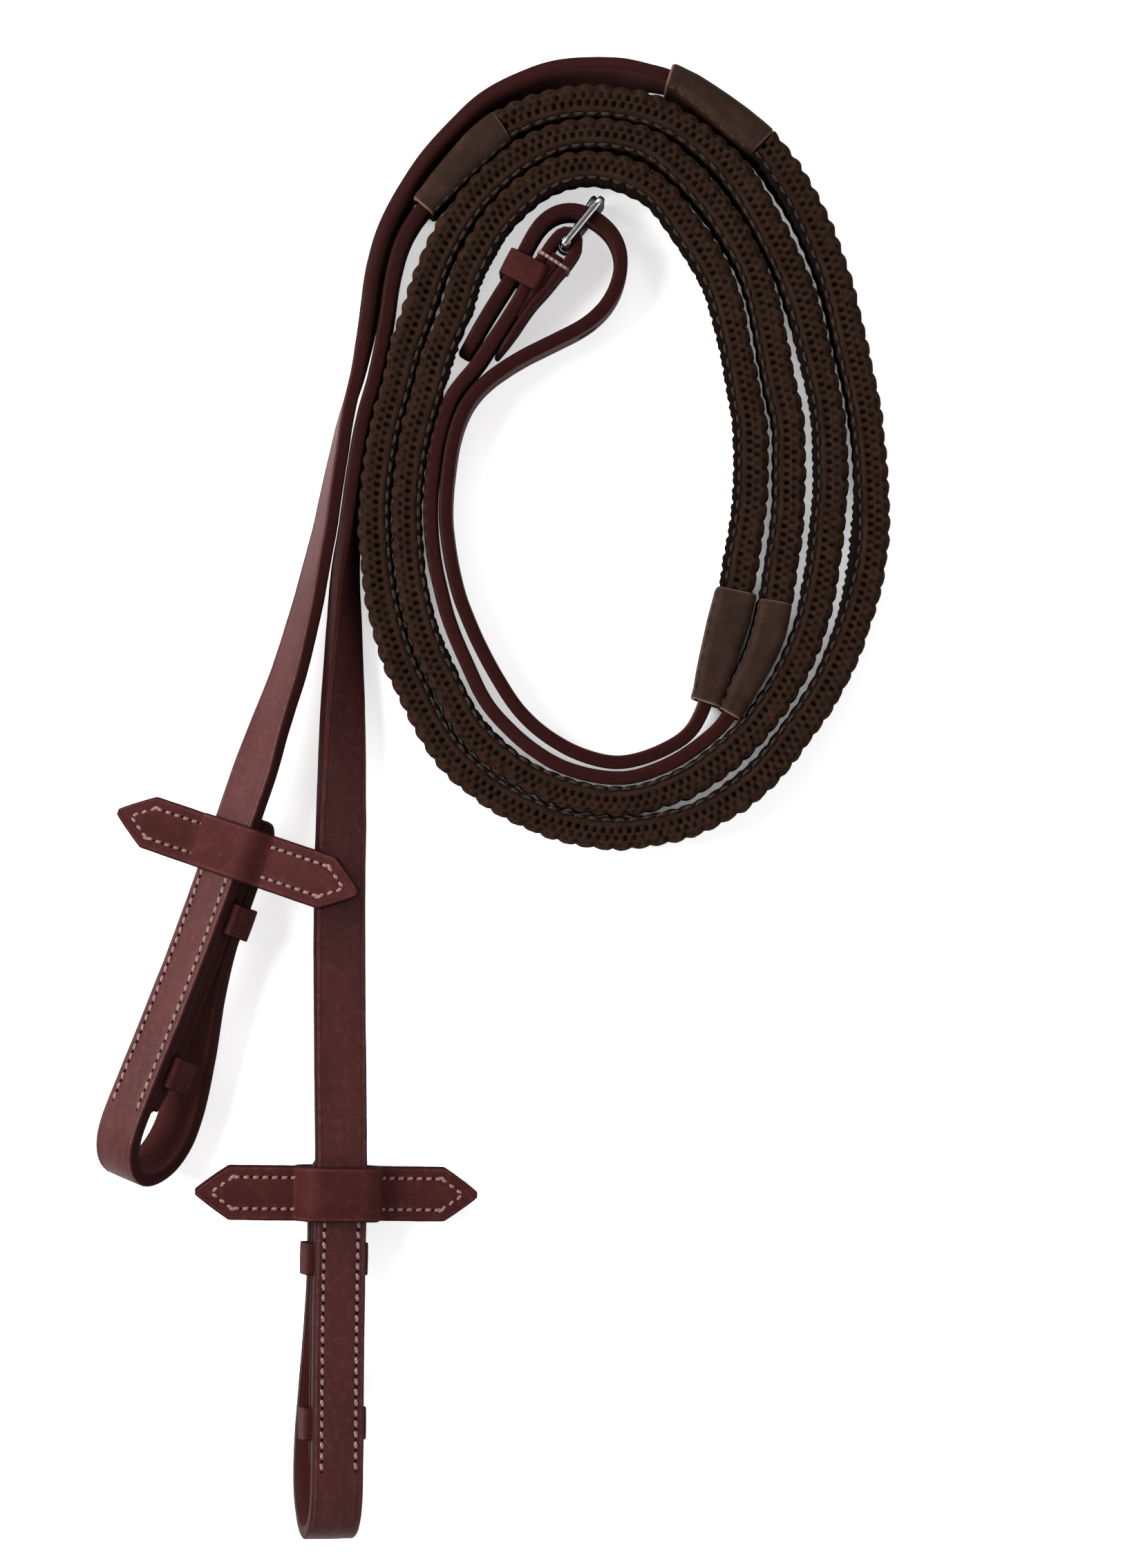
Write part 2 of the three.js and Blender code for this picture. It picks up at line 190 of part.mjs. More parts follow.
// Distances along each rein at which its parts begin and end.
const LEFT_AT = { stud: 233.41, sleeve1: 540.01, grip1: 575.40, grip2: 1290.88, sleeve2: 1328.89, heel: 1578.95 };
const RIGHT_AT = { stud: 233.41, sleeve1: 541.49, grip1: 576.47, grip2: 1293.21, sleeve2: 1329.20, cross: 1588.09 };

// ------------------------------------------------------------------- helpers
const V = (x, y, z) => new THREE.Vector3(x, y, z);

function makeLine(rows) {
  const p = rows.map((r) => V(r[0], r[1], r[2]));
  return rows.map((r, i) => {
    const before = p[Math.max(0, i - 1)];
    const after = p[Math.min(rows.length - 1, i + 1)];
    const T = i > 0 && i < rows.length - 1
      ? p[i].clone().sub(before).normalize().add(after.clone().sub(p[i]).normalize()).normalize()
      : after.clone().sub(before).normalize();
    const N = V(r[3], r[4], r[5]).cross(T).normalize();
    const W = T.clone().cross(N).normalize();
    return { P: p[i], T, N, W, t: r[6], s: r[7] };
  });
}

function frameAt(line, s) {
  let i = 0;
  while (i < line.length - 2 && line[i + 1].s <= s) i++;
  const a = line[i], b = line[i + 1];
  const k = THREE.MathUtils.clamp((s - a.s) / (b.s - a.s), 0, 1);
  const T = a.T.clone().lerp(b.T, k).normalize();
  const N = a.W.clone().lerp(b.W, k).cross(T).normalize();
  return { P: a.P.clone().lerp(b.P, k), T, N, W: T.clone().cross(N).normalize(), t: a.t + (b.t - a.t) * k, s };
}

// Stations of a line from s0 to s1, with any extra ones asked for.
function span(line, s0, s1, extra = []) {
  const near = (s) => [s0, s1, ...extra].some((e) => Math.abs(e - s) < 0.7);
  const inner = line.filter((f) => f.s > s0 && f.s < s1 && !near(f.s));
  return [...inner, ...[s0, ...extra, s1].map((s) => frameAt(line, s))].sort((a, b) => a.s - b.s);
}

// Section outlines, as [across, outwards] pairs running anticlockwise.
const rect = (w0, w1, n0, n1) => [[w0, n0], [w1, n0], [w1, n1], [w0, n1]];
function bevelled(w, t, b, nMid = 0) {
  const x = w / 2, y = t / 2;
  return [[-x + b, -y], [x - b, -y], [x, -y + b], [x, y - b], [x - b, y], [-x + b, y], [-x, y - b], [-x, -y + b]]
    .map(([u, v]) => [u, v + nMid]);
}

function capTriangles(outer, inner) {
  const contour = outer.map((q) => new THREE.Vector2(q[0], q[1]));
  const holes = inner ? [inner.map((q) => new THREE.Vector2(q[0], q[1]))] : [];
  const all = [...outer, ...(inner ?? [])];
  return THREE.ShapeUtils.triangulateShape(contour, holes).map(([a, b, c]) => {
    const area = (all[b][0] - all[a][0]) * (all[c][1] - all[a][1]) - (all[c][0] - all[a][0]) * (all[b][1] - all[a][1]);
    return area > 0 ? [a, b, c] : [a, c, b];
  });
}

// A closed solid swept through the frames; the section may change on the way
// but keeps its number of corners. With an inner outline it is a tube.
function sweep(frames, outerAt, innerAt = null) {
  const pos = [], idx = [];
  const rings = frames.map((f, i) => {
    const o = outerAt(f, i), q = innerAt ? innerAt(f, i) : [];
    const base = pos.length / 3;
    for (const [w, n] of [...o, ...q]) {
      const p = f.P.clone().addScaledVector(f.W, w).addScaledVector(f.N, n);
      pos.push(p.x, p.y, p.z);
    }
    return { base, no: o.length, nq: q.length, o, q };
  });
  const wall = (a, b, start, count, flip) => {
    for (let k = 0; k < count; k++) {
      const k2 = (k + 1) % count;
      const A0 = a + start + k, A1 = a + start + k2, B0 = b + start + k, B1 = b + start + k2;
      if (flip) idx.push(A0, A1, B1, A0, B1, B0);
      else idx.push(A0, B0, B1, A0, B1, A1);
    }
  };
  for (let i = 0; i + 1 < rings.length; i++) {
    wall(rings[i].base, rings[i + 1].base, 0, rings[i].no, false);
    if (innerAt) wall(rings[i].base, rings[i + 1].base, rings[i].no, rings[i].nq, true);
  }
  const first = rings[0], last = rings[rings.length - 1];
  for (const [a, b, c] of capTriangles(first.o, innerAt ? first.q : null)) idx.push(first.base + a, first.base + b, first.base + c);
  for (const [a, b, c] of capTriangles(last.o, innerAt ? last.q : null)) idx.push(last.base + a, last.base + c, last.base + b);
  const g = new THREE.BufferGeometry();
  g.setAttribute("position", new THREE.Float32BufferAttribute(pos, 3));
  g.setIndex(idx);
  g.computeVertexNormals();
  return g;
}

function toSolid(geometry) {
  const g = geometry.clone();
  g.deleteAttribute("normal");
  g.deleteAttribute("uv");
  const m = mergeVertices(g, 1e-4);
  return new wasm.Manifold(new wasm.Mesh({
    numProp: 3,
    vertProperties: new Float32Array(m.attributes.position.array),
    triVerts: new Uint32Array(m.index.array),
  }));
}

function fromSolid(solid) {
  const m = solid.getMesh();
  const p = [];
  for (let i = 0; i < m.numVert; i++) for (let k = 0; k < 3; k++) p.push(m.vertProperties[i * m.numProp + k]);
  const g = new THREE.BufferGeometry();
  g.setAttribute("position", new THREE.Float32BufferAttribute(p, 3));
  g.setIndex(Array.from(m.triVerts));
  g.computeVertexNormals();
  return g;
}

const cut = (g, ...tools) => fromSolid(tools.reduce((s, t) => s.subtract(toSolid(t)), toSolid(g)));
const join = (g, ...more) => fromSolid(more.reduce((s, t) => s.add(toSolid(t)), toSolid(g)));

// Puts a geometry drawn in X, Y, Z onto three given axes at a point.
function onto(geometry, X, Y, Z, P) {
  return geometry.applyMatrix4(new THREE.Matrix4().makeBasis(X, Y, Z).setPosition(P));
}

// A round-ended slot cutter: length along X, width along Y, depth along Z.
function slotTool(length, width, depth, sides = 6) {
  const shape = new THREE.Shape();
  const r = width / 2, h = length / 2 - r;
  for (let i = 0; i <= sides; i++) {
    const a = -Math.PI / 2 + (Math.PI * i) / sides;
    const q = [h + r * Math.cos(a), r * Math.sin(a)];
    i === 0 ? shape.moveTo(...q) : shape.lineTo(...q);
  }
  for (let i = 0; i <= sides; i++) {
    const a = Math.PI / 2 + (Math.PI * i) / sides;
    shape.lineTo(-h + r * Math.cos(a), r * Math.sin(a));
  }
  shape.closePath();
  return new THREE.ExtrudeGeometry(shape, { depth, bevelEnabled: false }).translate(0, 0, -depth / 2);
}

const leather = (colour = 0x4a2826) => new THREE.MeshStandardMaterial({ color: colour, roughness: 0.5, metalness: 0 });
const rubber = () => new THREE.MeshStandardMaterial({ color: 0x382922, roughness: 0.78, metalness: 0 });
const sleeveLeather = () => new THREE.MeshStandardMaterial({ color: 0x3a2b25, roughness: 0.48, metalness: 0 });
const steel = () => new THREE.MeshStandardMaterial({ color: 0xb9bcc0, roughness: 0.25, metalness: 1 });

const reins = new THREE.Group();
function add(name, geometry, material) {
  const mesh = new THREE.Mesh(geometry, material);
  mesh.name = name;
  reins.add(mesh);
}

const LEFT = makeLine(LEFT_LINE);
const RIGHT = makeLine(RIGHT_LINE);
const end = (line) => line[line.length - 1].s;

// --------------------------------------------------------------- the straps
// Half-width of a strap whose end is trimmed to a blunt point.
function trimmed(s, s0, s1, startLen, endLen, tip) {
  const a = Math.min(1, (s - s0) / startLen), b = Math.min(1, (s1 - s) / endLen);
  const ease = (k) => Math.sqrt(Math.max(0, 1 - (1 - k) * (1 - k)));
  return tip + (1 - tip) * Math.min(ease(a), ease(b));
}

function strapGeometry(line, startLen, endLen, tip) {
  const L = end(line);
  const extra = [0.8, 2.4, 5, 8].map((k) => (k * startLen) / 8).concat([0.8, 2.4, 5, 8].map((k) => L - (k * endLen) / 8));
  return sweep(span(line, 0, L, extra), (f) =>
    bevelled(STRAP_W * trimmed(f.s, 0, L, startLen, endLen, tip), f.t, Math.min(STRAP_BEVEL, f.t * 0.22)));
}

// The keyhole in the tail that hooks over the stud.
function tailHole(line, at) {
  const f = frameAt(line, TAIL_TOP - 1);
  return onto(slotTool(9.5, 4.2, 9), f.T, f.W.clone().negate(), f.N, f.P.clone().addScaledVector(f.T, -1.6));
}

const heel = V(HEEL[0], HEEL[1], COIL_Z);
const frameDir = V(FAR[0] - HEEL[0], FAR[1] - HEEL[1], 0).normalize();
const up = V(0, 0, 1);
const frameSide = up.clone().cross(frameDir); // towards the billet's tip side
const TONGUE_LEAN = Math.atan2(FRAME_T / 2 + WALL_GAP + TONGUE_T / 2, FRAME_LEN);
const tongueDir = frameDir.clone().applyAxisAngle(up, TONGUE_LEAN);
const tongueSide = up.clone().cross(tongueDir);

// Left rein: its far end, the chape, is folded round the heel bar; the fold is
// slotted so that the root of the tongue can turn in it.
{
  const body = strapGeometry(LEFT, 8, 8, 0.45);
  const band = TONGUE_W + 1.2 + 1.0;
  const well = new THREE.CylinderGeometry(TONGUE_R_OUT + 0.5, TONGUE_R_OUT + 0.5, band, 20).rotateX(Math.PI / 2).translate(heel.x, heel.y, COIL_Z);
  const mouth = onto(new THREE.BoxGeometry(8, 9, band), frameDir, frameSide, up, heel.clone().addScaledVector(frameDir, 4));
  add("left_rein_strap", cut(body, tailHole(LEFT), well, mouth), leather());
}

// Right rein: its far end is the billet, punched with a row of slots.
function billetSlot(offset, lengthExtra = 0) {
  const f = frameAt(RIGHT, RIGHT_AT.cross + offset);
  return onto(slotTool(HOLE_L + lengthExtra, HOLE_W, 9), f.T, f.W.clone().negate(), f.N, f.P);
}
{
  const body = strapGeometry(RIGHT, 8, 11, 0.3);
  const f = frameAt(RIGHT, RIGHT_AT.cross);
  const crossing = onto(slotTool(HOLE_L, HOLE_W, 11), tongueSide, up, tongueDir, heel.clone().addScaledVector(tongueDir, f.P.clone().sub(heel).dot(tongueDir)).addScaledVector(tongueSide, 0.8));
  add("right_rein_strap", cut(body, tailHole(RIGHT), crossing,
    ...[-2, -1, 1, 2, 3].map((k) => billetSlot(k * HOLE_PITCH))), leather());
}

// --------------------------------------------------- rubber grips and sleeves
function gripGeometry(line, at) {
  return sweep(span(line, at.grip1, at.grip2),
    () => bevelled(GRIP_H, GRIP_T, 1.7),
    (f) => rect(-STRAP_W / 2 - WALL_GAP, STRAP_W / 2 + WALL_GAP, -f.t / 2 - WALL_GAP, f.t / 2 + WALL_GAP));
}
function sleeveGeometry(line, s0, s1, gripAtEnd) {
  const n = [0, 0.12, 0.9, 1].map((k) => s0 + (s1 - s0) * k);
  return sweep(span(line, s0, s1, n.slice(1, 3)), (f) => {
    const k = (f.s - s0) / (s1 - s0), toGrip = gripAtEnd ? k : 1 - k;
    const fromStrap = Math.min(1, toGrip / 0.12);
    const t = SLEEVE_T_STRAP + (SLEEVE_T_GRIP - SLEEVE_T_STRAP) * Math.min(1, toGrip / 0.75) - 0.7 * (1 - fromStrap);
    return bevelled(SLEEVE_H, t, 1.6 + 0.2 * (1 - fromStrap));
  }, (f) => rect(-STRAP_W / 2 - WALL_GAP, STRAP_W / 2 + WALL_GAP, -f.t / 2 - WALL_GAP, f.t / 2 + WALL_GAP));
}
for (const [side, line, at] of [["left", LEFT, LEFT_AT], ["right", RIGHT, RIGHT_AT]]) {
  add(`${side}_grip`, gripGeometry(line, at), rubber());
  add(`${side}_sleeve_bit_end`, sleeveGeometry(line, at.sleeve1, at.grip1 - 0.3, true), sleeveLeather());
  add(`${side}_sleeve_buckle_end`, sleeveGeometry(line, at.grip2 + 0.3, at.sleeve2, false), sleeveLeather());
}

// ------------------------------------------------------------------ bit ends
const FRONT_BACK = -2.1; // back face of the front strap
const BACKING_N0 = FRONT_BACK - LAYER_GAP - BACKING_T, BACKING_N1 = FRONT_BACK - LAYER_GAP;
const TAIL_N = -8.7; // middle of the tail at the stud

// A keeper: a band round what lies behind the front strap, its two lips tucked
// in between the front strap and the backing.
function keeperGeometry(line, s, depth) {
  const f = frameAt(line, s);
  const wi = STRAP_W / 2 + WALL_GAP, wo = wi + KEEPER_WALL, lip = 3.6;
  const n1 = FRONT_BACK - 0.3, n0 = n1 - KEEPER_LIP, b0 = -depth, b1 = -depth + KEEPER_WALL;
  const c = 1.3;
  const outline = [
    [-wo, b0 + c], [-wo + 0.4, b0 + 0.4], [-wo + c, b0], [wo - c, b0], [wo - 0.4, b0 + 0.4], [wo, b0 + c],
    [wo, n1 - 0.5], [wo - 0.5, n1], [lip, n1], [lip, n0], [wi, n0], [wi, b1],
    [-wi, b1], [-wi, n0], [-lip, n0], [-lip, n1], [-wo + 0.5, n1], [-wo, n1 - 0.5],
  ];
  const frames = [-1, 1].map((k) => ({ ...f, P: f.P.clone().addScaledVector(f.T, (k * KEEPER_L) / 2) }));
  return sweep(frames, () => outline);
}

// The hook stud: a flat base under the front strap, a neck through the backing
// and the tail's keyhole, and an oblong domed head.
function studGeometry(line, s) {
  const f = frameAt(line, s);
  const base0 = FRONT_BACK - 0.35, base1 = base0 - 0.8, neckEnd = TAIL_N - 2.1 - 0.3, headEnd = neckEnd - 1.6;
  const profile = [[0, headEnd + 0.4], [STUD_NECK_R, headEnd + 0.4], [STUD_NECK_R, base1], [STUD_BASE_R, base1], [STUD_BASE_R, base0], [0, base0]]
    .map(([r, y]) => new THREE.Vector2(r, y));
  const pin = new THREE.LatheGeometry(profile, 16).rotateX(Math.PI / 2);
  const head = slotTool(9, 6, 1.6 - 0.5, 8).translate(-1.2, 0, headEnd + 0.5 + 0.55);
  const cap = slotTool(7.6, 4.6, 0.6, 8).translate(-1.2, 0, headEnd + 0.3);
  return onto(join(pin, head, cap), f.T, f.W.clone().negate(), f.N, f.P);
}

function backingGeometry(line, stud) {
  const s0 = stud + BACKING_BOTTOM, s1 = stud + BACKING_TOP;
  const strip = sweep(span(line, s0, s1, [s0 + 6, s1 - 5]), (f) => {
    const thin = Math.min(1, 0.45 + (f.s - s0) / 11);
    const w = BACKING_W * (f.s > s1 - 5.1 ? 1 - (0.25 * (f.s - (s1 - 5))) / 5 : 1);
    return rect(-w / 2, w / 2, BACKING_N1 - BACKING_T * thin, BACKING_N1);
  });
  const f = frameAt(line, stud);
  const hole = onto(new THREE.CylinderGeometry(STUD_NECK_R + 0.3, STUD_NECK_R + 0.3, 8, 16).rotateX(Math.PI / 2),
    f.T, f.W.clone().negate(), f.N, f.P.clone().addScaledVector(f.N, BACKING_N0 + 1.3));
  const well = onto(new THREE.CylinderGeometry(STUD_BASE_R + 0.3, STUD_BASE_R + 0.3, 0.4, 16).rotateX(Math.PI / 2),
    f.T, f.W.clone().negate(), f.N, f.P.clone().addScaledVector(f.N, BACKING_N1));
  return cut(strip, hole, well);
}

// ---------------------------------------------------------- martingale stops
// Two layers of leather sewn together at both pointed ends, with the rein
// through the open pocket in the middle. The profile is drawn in the plane
// across the strap; each wing leaves the pocket at its own angle.
const POCKET_TOP = 3.8, POCKET_BOTTOM = -14.25, WING_N = (POCKET_TOP + POCKET_BOTTOM) / 2;
function stopLayer(line, s, front, leftBend, rightBend) {
  const f = frameAt(line, s);
  const sign = front ? 1 : -1;
  const crest = front ? POCKET_TOP : POCKET_BOTTOM;
  const root = 13.8;
  const half = STOP_L / 2 + 1.5;
  const wing = (dir, bend) => {
    // outwards from the pocket, starting at the root
    const out = [];
    const angle = THREE.MathUtils.degToRad(bend);
    let w = root, n = WING_N, a = 0;
    const offset = sign * (STOP_T / 2 + 0.15);
    const steps = [2, 2, 2.5, 4, 5, 5, STOP_L / 2 - root - 20.5];
    out.push([dir * w, n, 0, offset]);
    steps.forEach((d, i) => {
      a = angle * Math.min(1, (i + 1) / 4);
      w += d * Math.cos(a);
      n += d * Math.sin(a);
      out.push([dir * w, n, a, offset]);
    });
    return { out, w, n, a };
  };
  const L = wing(-1, leftBend), R = wing(1, rightBend);
  const pocket = front
    ? [[-12.6, WING_N + 2.6], [-11.5, 0.2], [-10.4, 2.5], [-8.2, crest - 0.1], [-3.8, crest + 0.1], [0, crest + 0.2], [3.8, crest + 0.1], [8.2, crest - 0.1], [10.4, 2.5], [11.5, 0.2], [12.6, WING_N + 2.6]]
    : [[-12.6, WING_N - 2.6], [-11.4, -10.6], [-10.2, -12.9], [-7.8, crest + 0.1], [-3.8, crest], [3.8, crest], [7.8, crest + 0.1], [10.2, -12.9], [11.4, -10.6], [12.6, WING_N - 2.6]];
  const points = [];
  for (const [w, n, a, o] of L.out.slice().reverse()) points.push([w + o * Math.sin(a), n + o * Math.cos(a)]);
  for (const q of pocket) points.push(q);
  for (const [w, n, a, o] of R.out) points.push([w - o * Math.sin(a), n + o * Math.cos(a)]);
  // pointed tips: extra stations along the last straight run
  const full = [];
  const tipRun = [0, 1.4, 3.2, 6, STOP_POINT];
  const [a0, a1] = [points[0], points[1]];
  const dirL = new THREE.Vector2(a1[0] - a0[0], a1[1] - a0[1]).normalize();
  tipRun.forEach((d) => full.push({ q: [a0[0] + dirL.x * d, a0[1] + dirL.y * d], tip: d }));
  for (let i = 1; i < points.length - 1; i++) full.push({ q: points[i], tip: STOP_POINT });
  const [b0, b1] = [points[points.length - 1], points[points.length - 2]];
  const dirR = new THREE.Vector2(b1[0] - b0[0], b1[1] - b0[1]).normalize();
  tipRun.slice().reverse().forEach((d) => full.push({ q: [b0[0] + dirR.x * d, b0[1] + dirR.y * d], tip: d }));
  full.sort((x, y) => x.q[0] - y.q[0]);
  const P = full.map(({ q }) => f.P.clone().addScaledVector(f.W, q[0]).addScaledVector(f.N, q[1]));
  const across = f.T.clone().negate();
  const frames = P.map((p, i) => {
    const T = i === 0 ? P[1].clone().sub(p).normalize()
      : i === P.length - 1 ? p.clone().sub(P[i - 1]).normalize()
      : p.clone().sub(P[i - 1]).normalize().add(P[i + 1].clone().sub(p).normalize()).normalize();
    const N = across.clone().cross(T).normalize();
    return { P: p, T, N, W: T.clone().cross(N).normalize() };
  });
  return sweep(frames, (_, i) => {
    const k = Math.min(1, full[i].tip / STOP_POINT);
    const w = STOP_W * (0.1 + 0.9 * Math.pow(k, 0.82));
    const prev = frames[Math.max(0, i - 1)].T, next = frames[Math.min(frames.length - 1, i + 1)].T;
    const mitre = 1 / Math.max(0.8, Math.cos(prev.angleTo(next) / 4));
    return rect(-w / 2, w / 2, (-STOP_T / 2) * mitre, (STOP_T / 2) * mitre);
  });
}

for (const [side, line, at, bends] of [["left", LEFT, LEFT_AT, [33, -26]], ["right", RIGHT, RIGHT_AT, [-7, 7]]]) {
  add(`${side}_bit_backing`, backingGeometry(line, at.stud), leather(0x44201f));
  add(`${side}_bit_upper_keeper`, keeperGeometry(line, at.stud + KEEPER_UPPER, UPPER_KEEPER_DEPTH), leather(0x4a2624));
  add(`${side}_bit_lower_keeper`, keeperGeometry(line, at.stud + KEEPER_LOWER, LOWER_KEEPER_DEPTH), leather(0x4a2624));
  add(`${side}_hook_stud`, studGeometry(line, at.stud), steel());
  add(`${side}_stop_front`, stopLayer(line, at.stud, true, ...bends), leather());
  add(`${side}_stop_back`, stopLayer(line, at.stud, false, ...bends), leather(0x44201f));
}

// ------------------------------------------------------------ centre buckle
{
  const z0 = COIL_Z - FRAME_H / 2;
  const outer = new THREE.Shape(), window = new THREE.Path();
  const x0 = -2.1, x1 = FRAME_LEN + 1.5, r = 2.2;
  const ring = (path, ax, bx, ay, by, rad) => {
    const arc = (cx, cy, from) => {
      for (let i = 0; i <= 3; i++) {
        const a = from + (Math.PI / 2) * (i / 3);
        const q = [cx + rad * Math.cos(a), cy + rad * Math.sin(a)];
        path.currentPoint.x === 0 && path.curves.length === 0 && !path.begun ? (path.moveTo(...q), (path.begun = true)) : path.lineTo(...q);
      }
    };
    arc(bx - rad, ay + rad, -Math.PI / 2);
    arc(bx - rad, by - rad, 0);
    arc(ax + rad, by - rad, Math.PI / 2);
    arc(ax + rad, ay + rad, Math.PI);
    path.closePath();
  };
  ring(outer, x0, x1, 0, FRAME_H, r);
  ring(window, -6, FRAME_LEN - 1.5, FRAME_BAR, FRAME_H - FRAME_BAR, 1.2);
  // the frame is open at the heel: the plate's own bar there is cut away and a
  // round heel bar is set in its place
  const plate = new THREE.ExtrudeGeometry(outer, { depth: FRAME_T, bevelEnabled: false }).translate(0, 0, -FRAME_T / 2);
  const inside = new THREE.ExtrudeGeometry(new THREE.Shape(window.getPoints(1)), { depth: FRAME_T + 2, bevelEnabled: false }).translate(0, 0, -FRAME_T / 2 - 1);
  const bar = new THREE.CylinderGeometry(HEEL_R, HEEL_R, FRAME_H - FRAME_BAR, 16).translate(0, FRAME_H / 2, 0);
  // drawn with X towards the far bar, Y up the frame, Z through it
  const g = fromSolid(toSolid(plate).subtract(toSolid(inside)).add(toSolid(bar)));
  add("buckle_frame", onto(g, frameDir, up, frameDir.clone().cross(up), V(HEEL[0], HEEL[1], z0)), steel());

  // tongue: an eye round the heel bar and a bar that rests on the far bar
  const eyeShape = new THREE.Shape();
  const eyeHole = new THREE.Path();
  for (let i = 0; i < 20; i++) {
    const a = (Math.PI * 2 * i) / 20;
    i ? eyeShape.lineTo(TONGUE_R_OUT * Math.cos(a), TONGUE_R_OUT * Math.sin(a)) : eyeShape.moveTo(TONGUE_R_OUT, 0);
    i ? eyeHole.lineTo(TONGUE_R_IN * Math.cos(a), TONGUE_R_IN * Math.sin(a)) : eyeHole.moveTo(TONGUE_R_IN, 0);
  }
  eyeShape.closePath();
  eyeHole.closePath();
  eyeShape.holes.push(eyeHole);
  const eye = new THREE.ExtrudeGeometry(eyeShape, { depth: TONGUE_W + 1.2, bevelEnabled: false }).translate(0, 0, -(TONGUE_W + 1.2) / 2);
  const len = 17.6;
  const pinFrames = [[2.4, 1.0], [8, 1.0], [14.8, 0.94], [16.8, 0.8], [len, 0.5]].map(([x, k]) => ({ P: V(x, 0, 0), T: V(1, 0, 0), W: V(0, 0, -1), N: V(0, -1, 0), k }));
  const pin = sweep(pinFrames, (f) => bevelled(TONGUE_W * f.k, TONGUE_T * f.k, 0.6 * f.k));
  const tongue = join(eye, pin);
  add("buckle_tongue", onto(tongue, tongueDir, tongueSide, up, heel), steel());

  // leather keeper round the left rein and the billet, next to the buckle
  const mid = V(9.301, 163.046, COIL_Z), along = V(0.4572, 0.8894, 0).normalize(), across = along.clone().cross(up);
  const e0 = -4.65, e1 = 5.55, hi = STRAP_W / 2 + WALL_GAP, wo = BUCKLE_KEEPER_WALL;
  const frames = [-1, -0.8, 0.8, 1].map((k) => ({ P: mid.clone().addScaledVector(along, (k * BUCKLE_KEEPER_L) / 2), T: along, N: across.clone().negate(), W: up.clone().negate(), k }));
  frames.forEach((q) => { q.N = q.W.clone().cross(q.T).normalize(); });
  const sgn = Math.sign(frames[0].N.dot(across));
  const n0 = Math.min(sgn * e0, sgn * e1), n1 = Math.max(sgn * e0, sgn * e1);
  add("buckle_keeper", sweep(frames, (f) => {
    const trim = Math.abs(f.k) > 0.9 ? 0.25 : 0;
    const w = hi + wo - trim, a = n0 - wo + trim, b = n1 + wo - trim, c = 1.0;
    return [[-w + c, a], [w - c, a], [w, a + c], [w, b - c], [w - c, b], [-w + c, b], [-w, b - c], [-w, a + c]];
  }, () => rect(-hi, hi, n0, n1)), leather(0x4a2624));
}

export default reins;
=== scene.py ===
# Looks of a pair of leather reins with rubber hand grips, lying coiled on a pale table.
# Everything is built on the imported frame, in metres; lengths below are in millimetres.
import math

import bpy
import numpy as np
from mathutils import Matrix, Vector


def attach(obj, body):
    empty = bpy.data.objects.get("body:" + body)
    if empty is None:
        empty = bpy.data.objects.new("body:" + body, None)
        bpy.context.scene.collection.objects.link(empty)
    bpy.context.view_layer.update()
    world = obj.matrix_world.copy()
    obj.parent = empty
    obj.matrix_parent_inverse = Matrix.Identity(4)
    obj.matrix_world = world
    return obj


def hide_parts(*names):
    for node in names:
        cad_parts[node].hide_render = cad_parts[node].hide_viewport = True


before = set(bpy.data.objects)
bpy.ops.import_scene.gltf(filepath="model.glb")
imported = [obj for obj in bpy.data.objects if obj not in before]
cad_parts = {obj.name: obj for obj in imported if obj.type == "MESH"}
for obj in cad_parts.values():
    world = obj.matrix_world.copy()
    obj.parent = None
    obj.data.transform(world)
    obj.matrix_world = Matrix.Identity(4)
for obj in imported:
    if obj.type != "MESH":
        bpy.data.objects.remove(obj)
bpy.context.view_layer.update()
MM = 0.001
rng = np.random.default_rng(7)

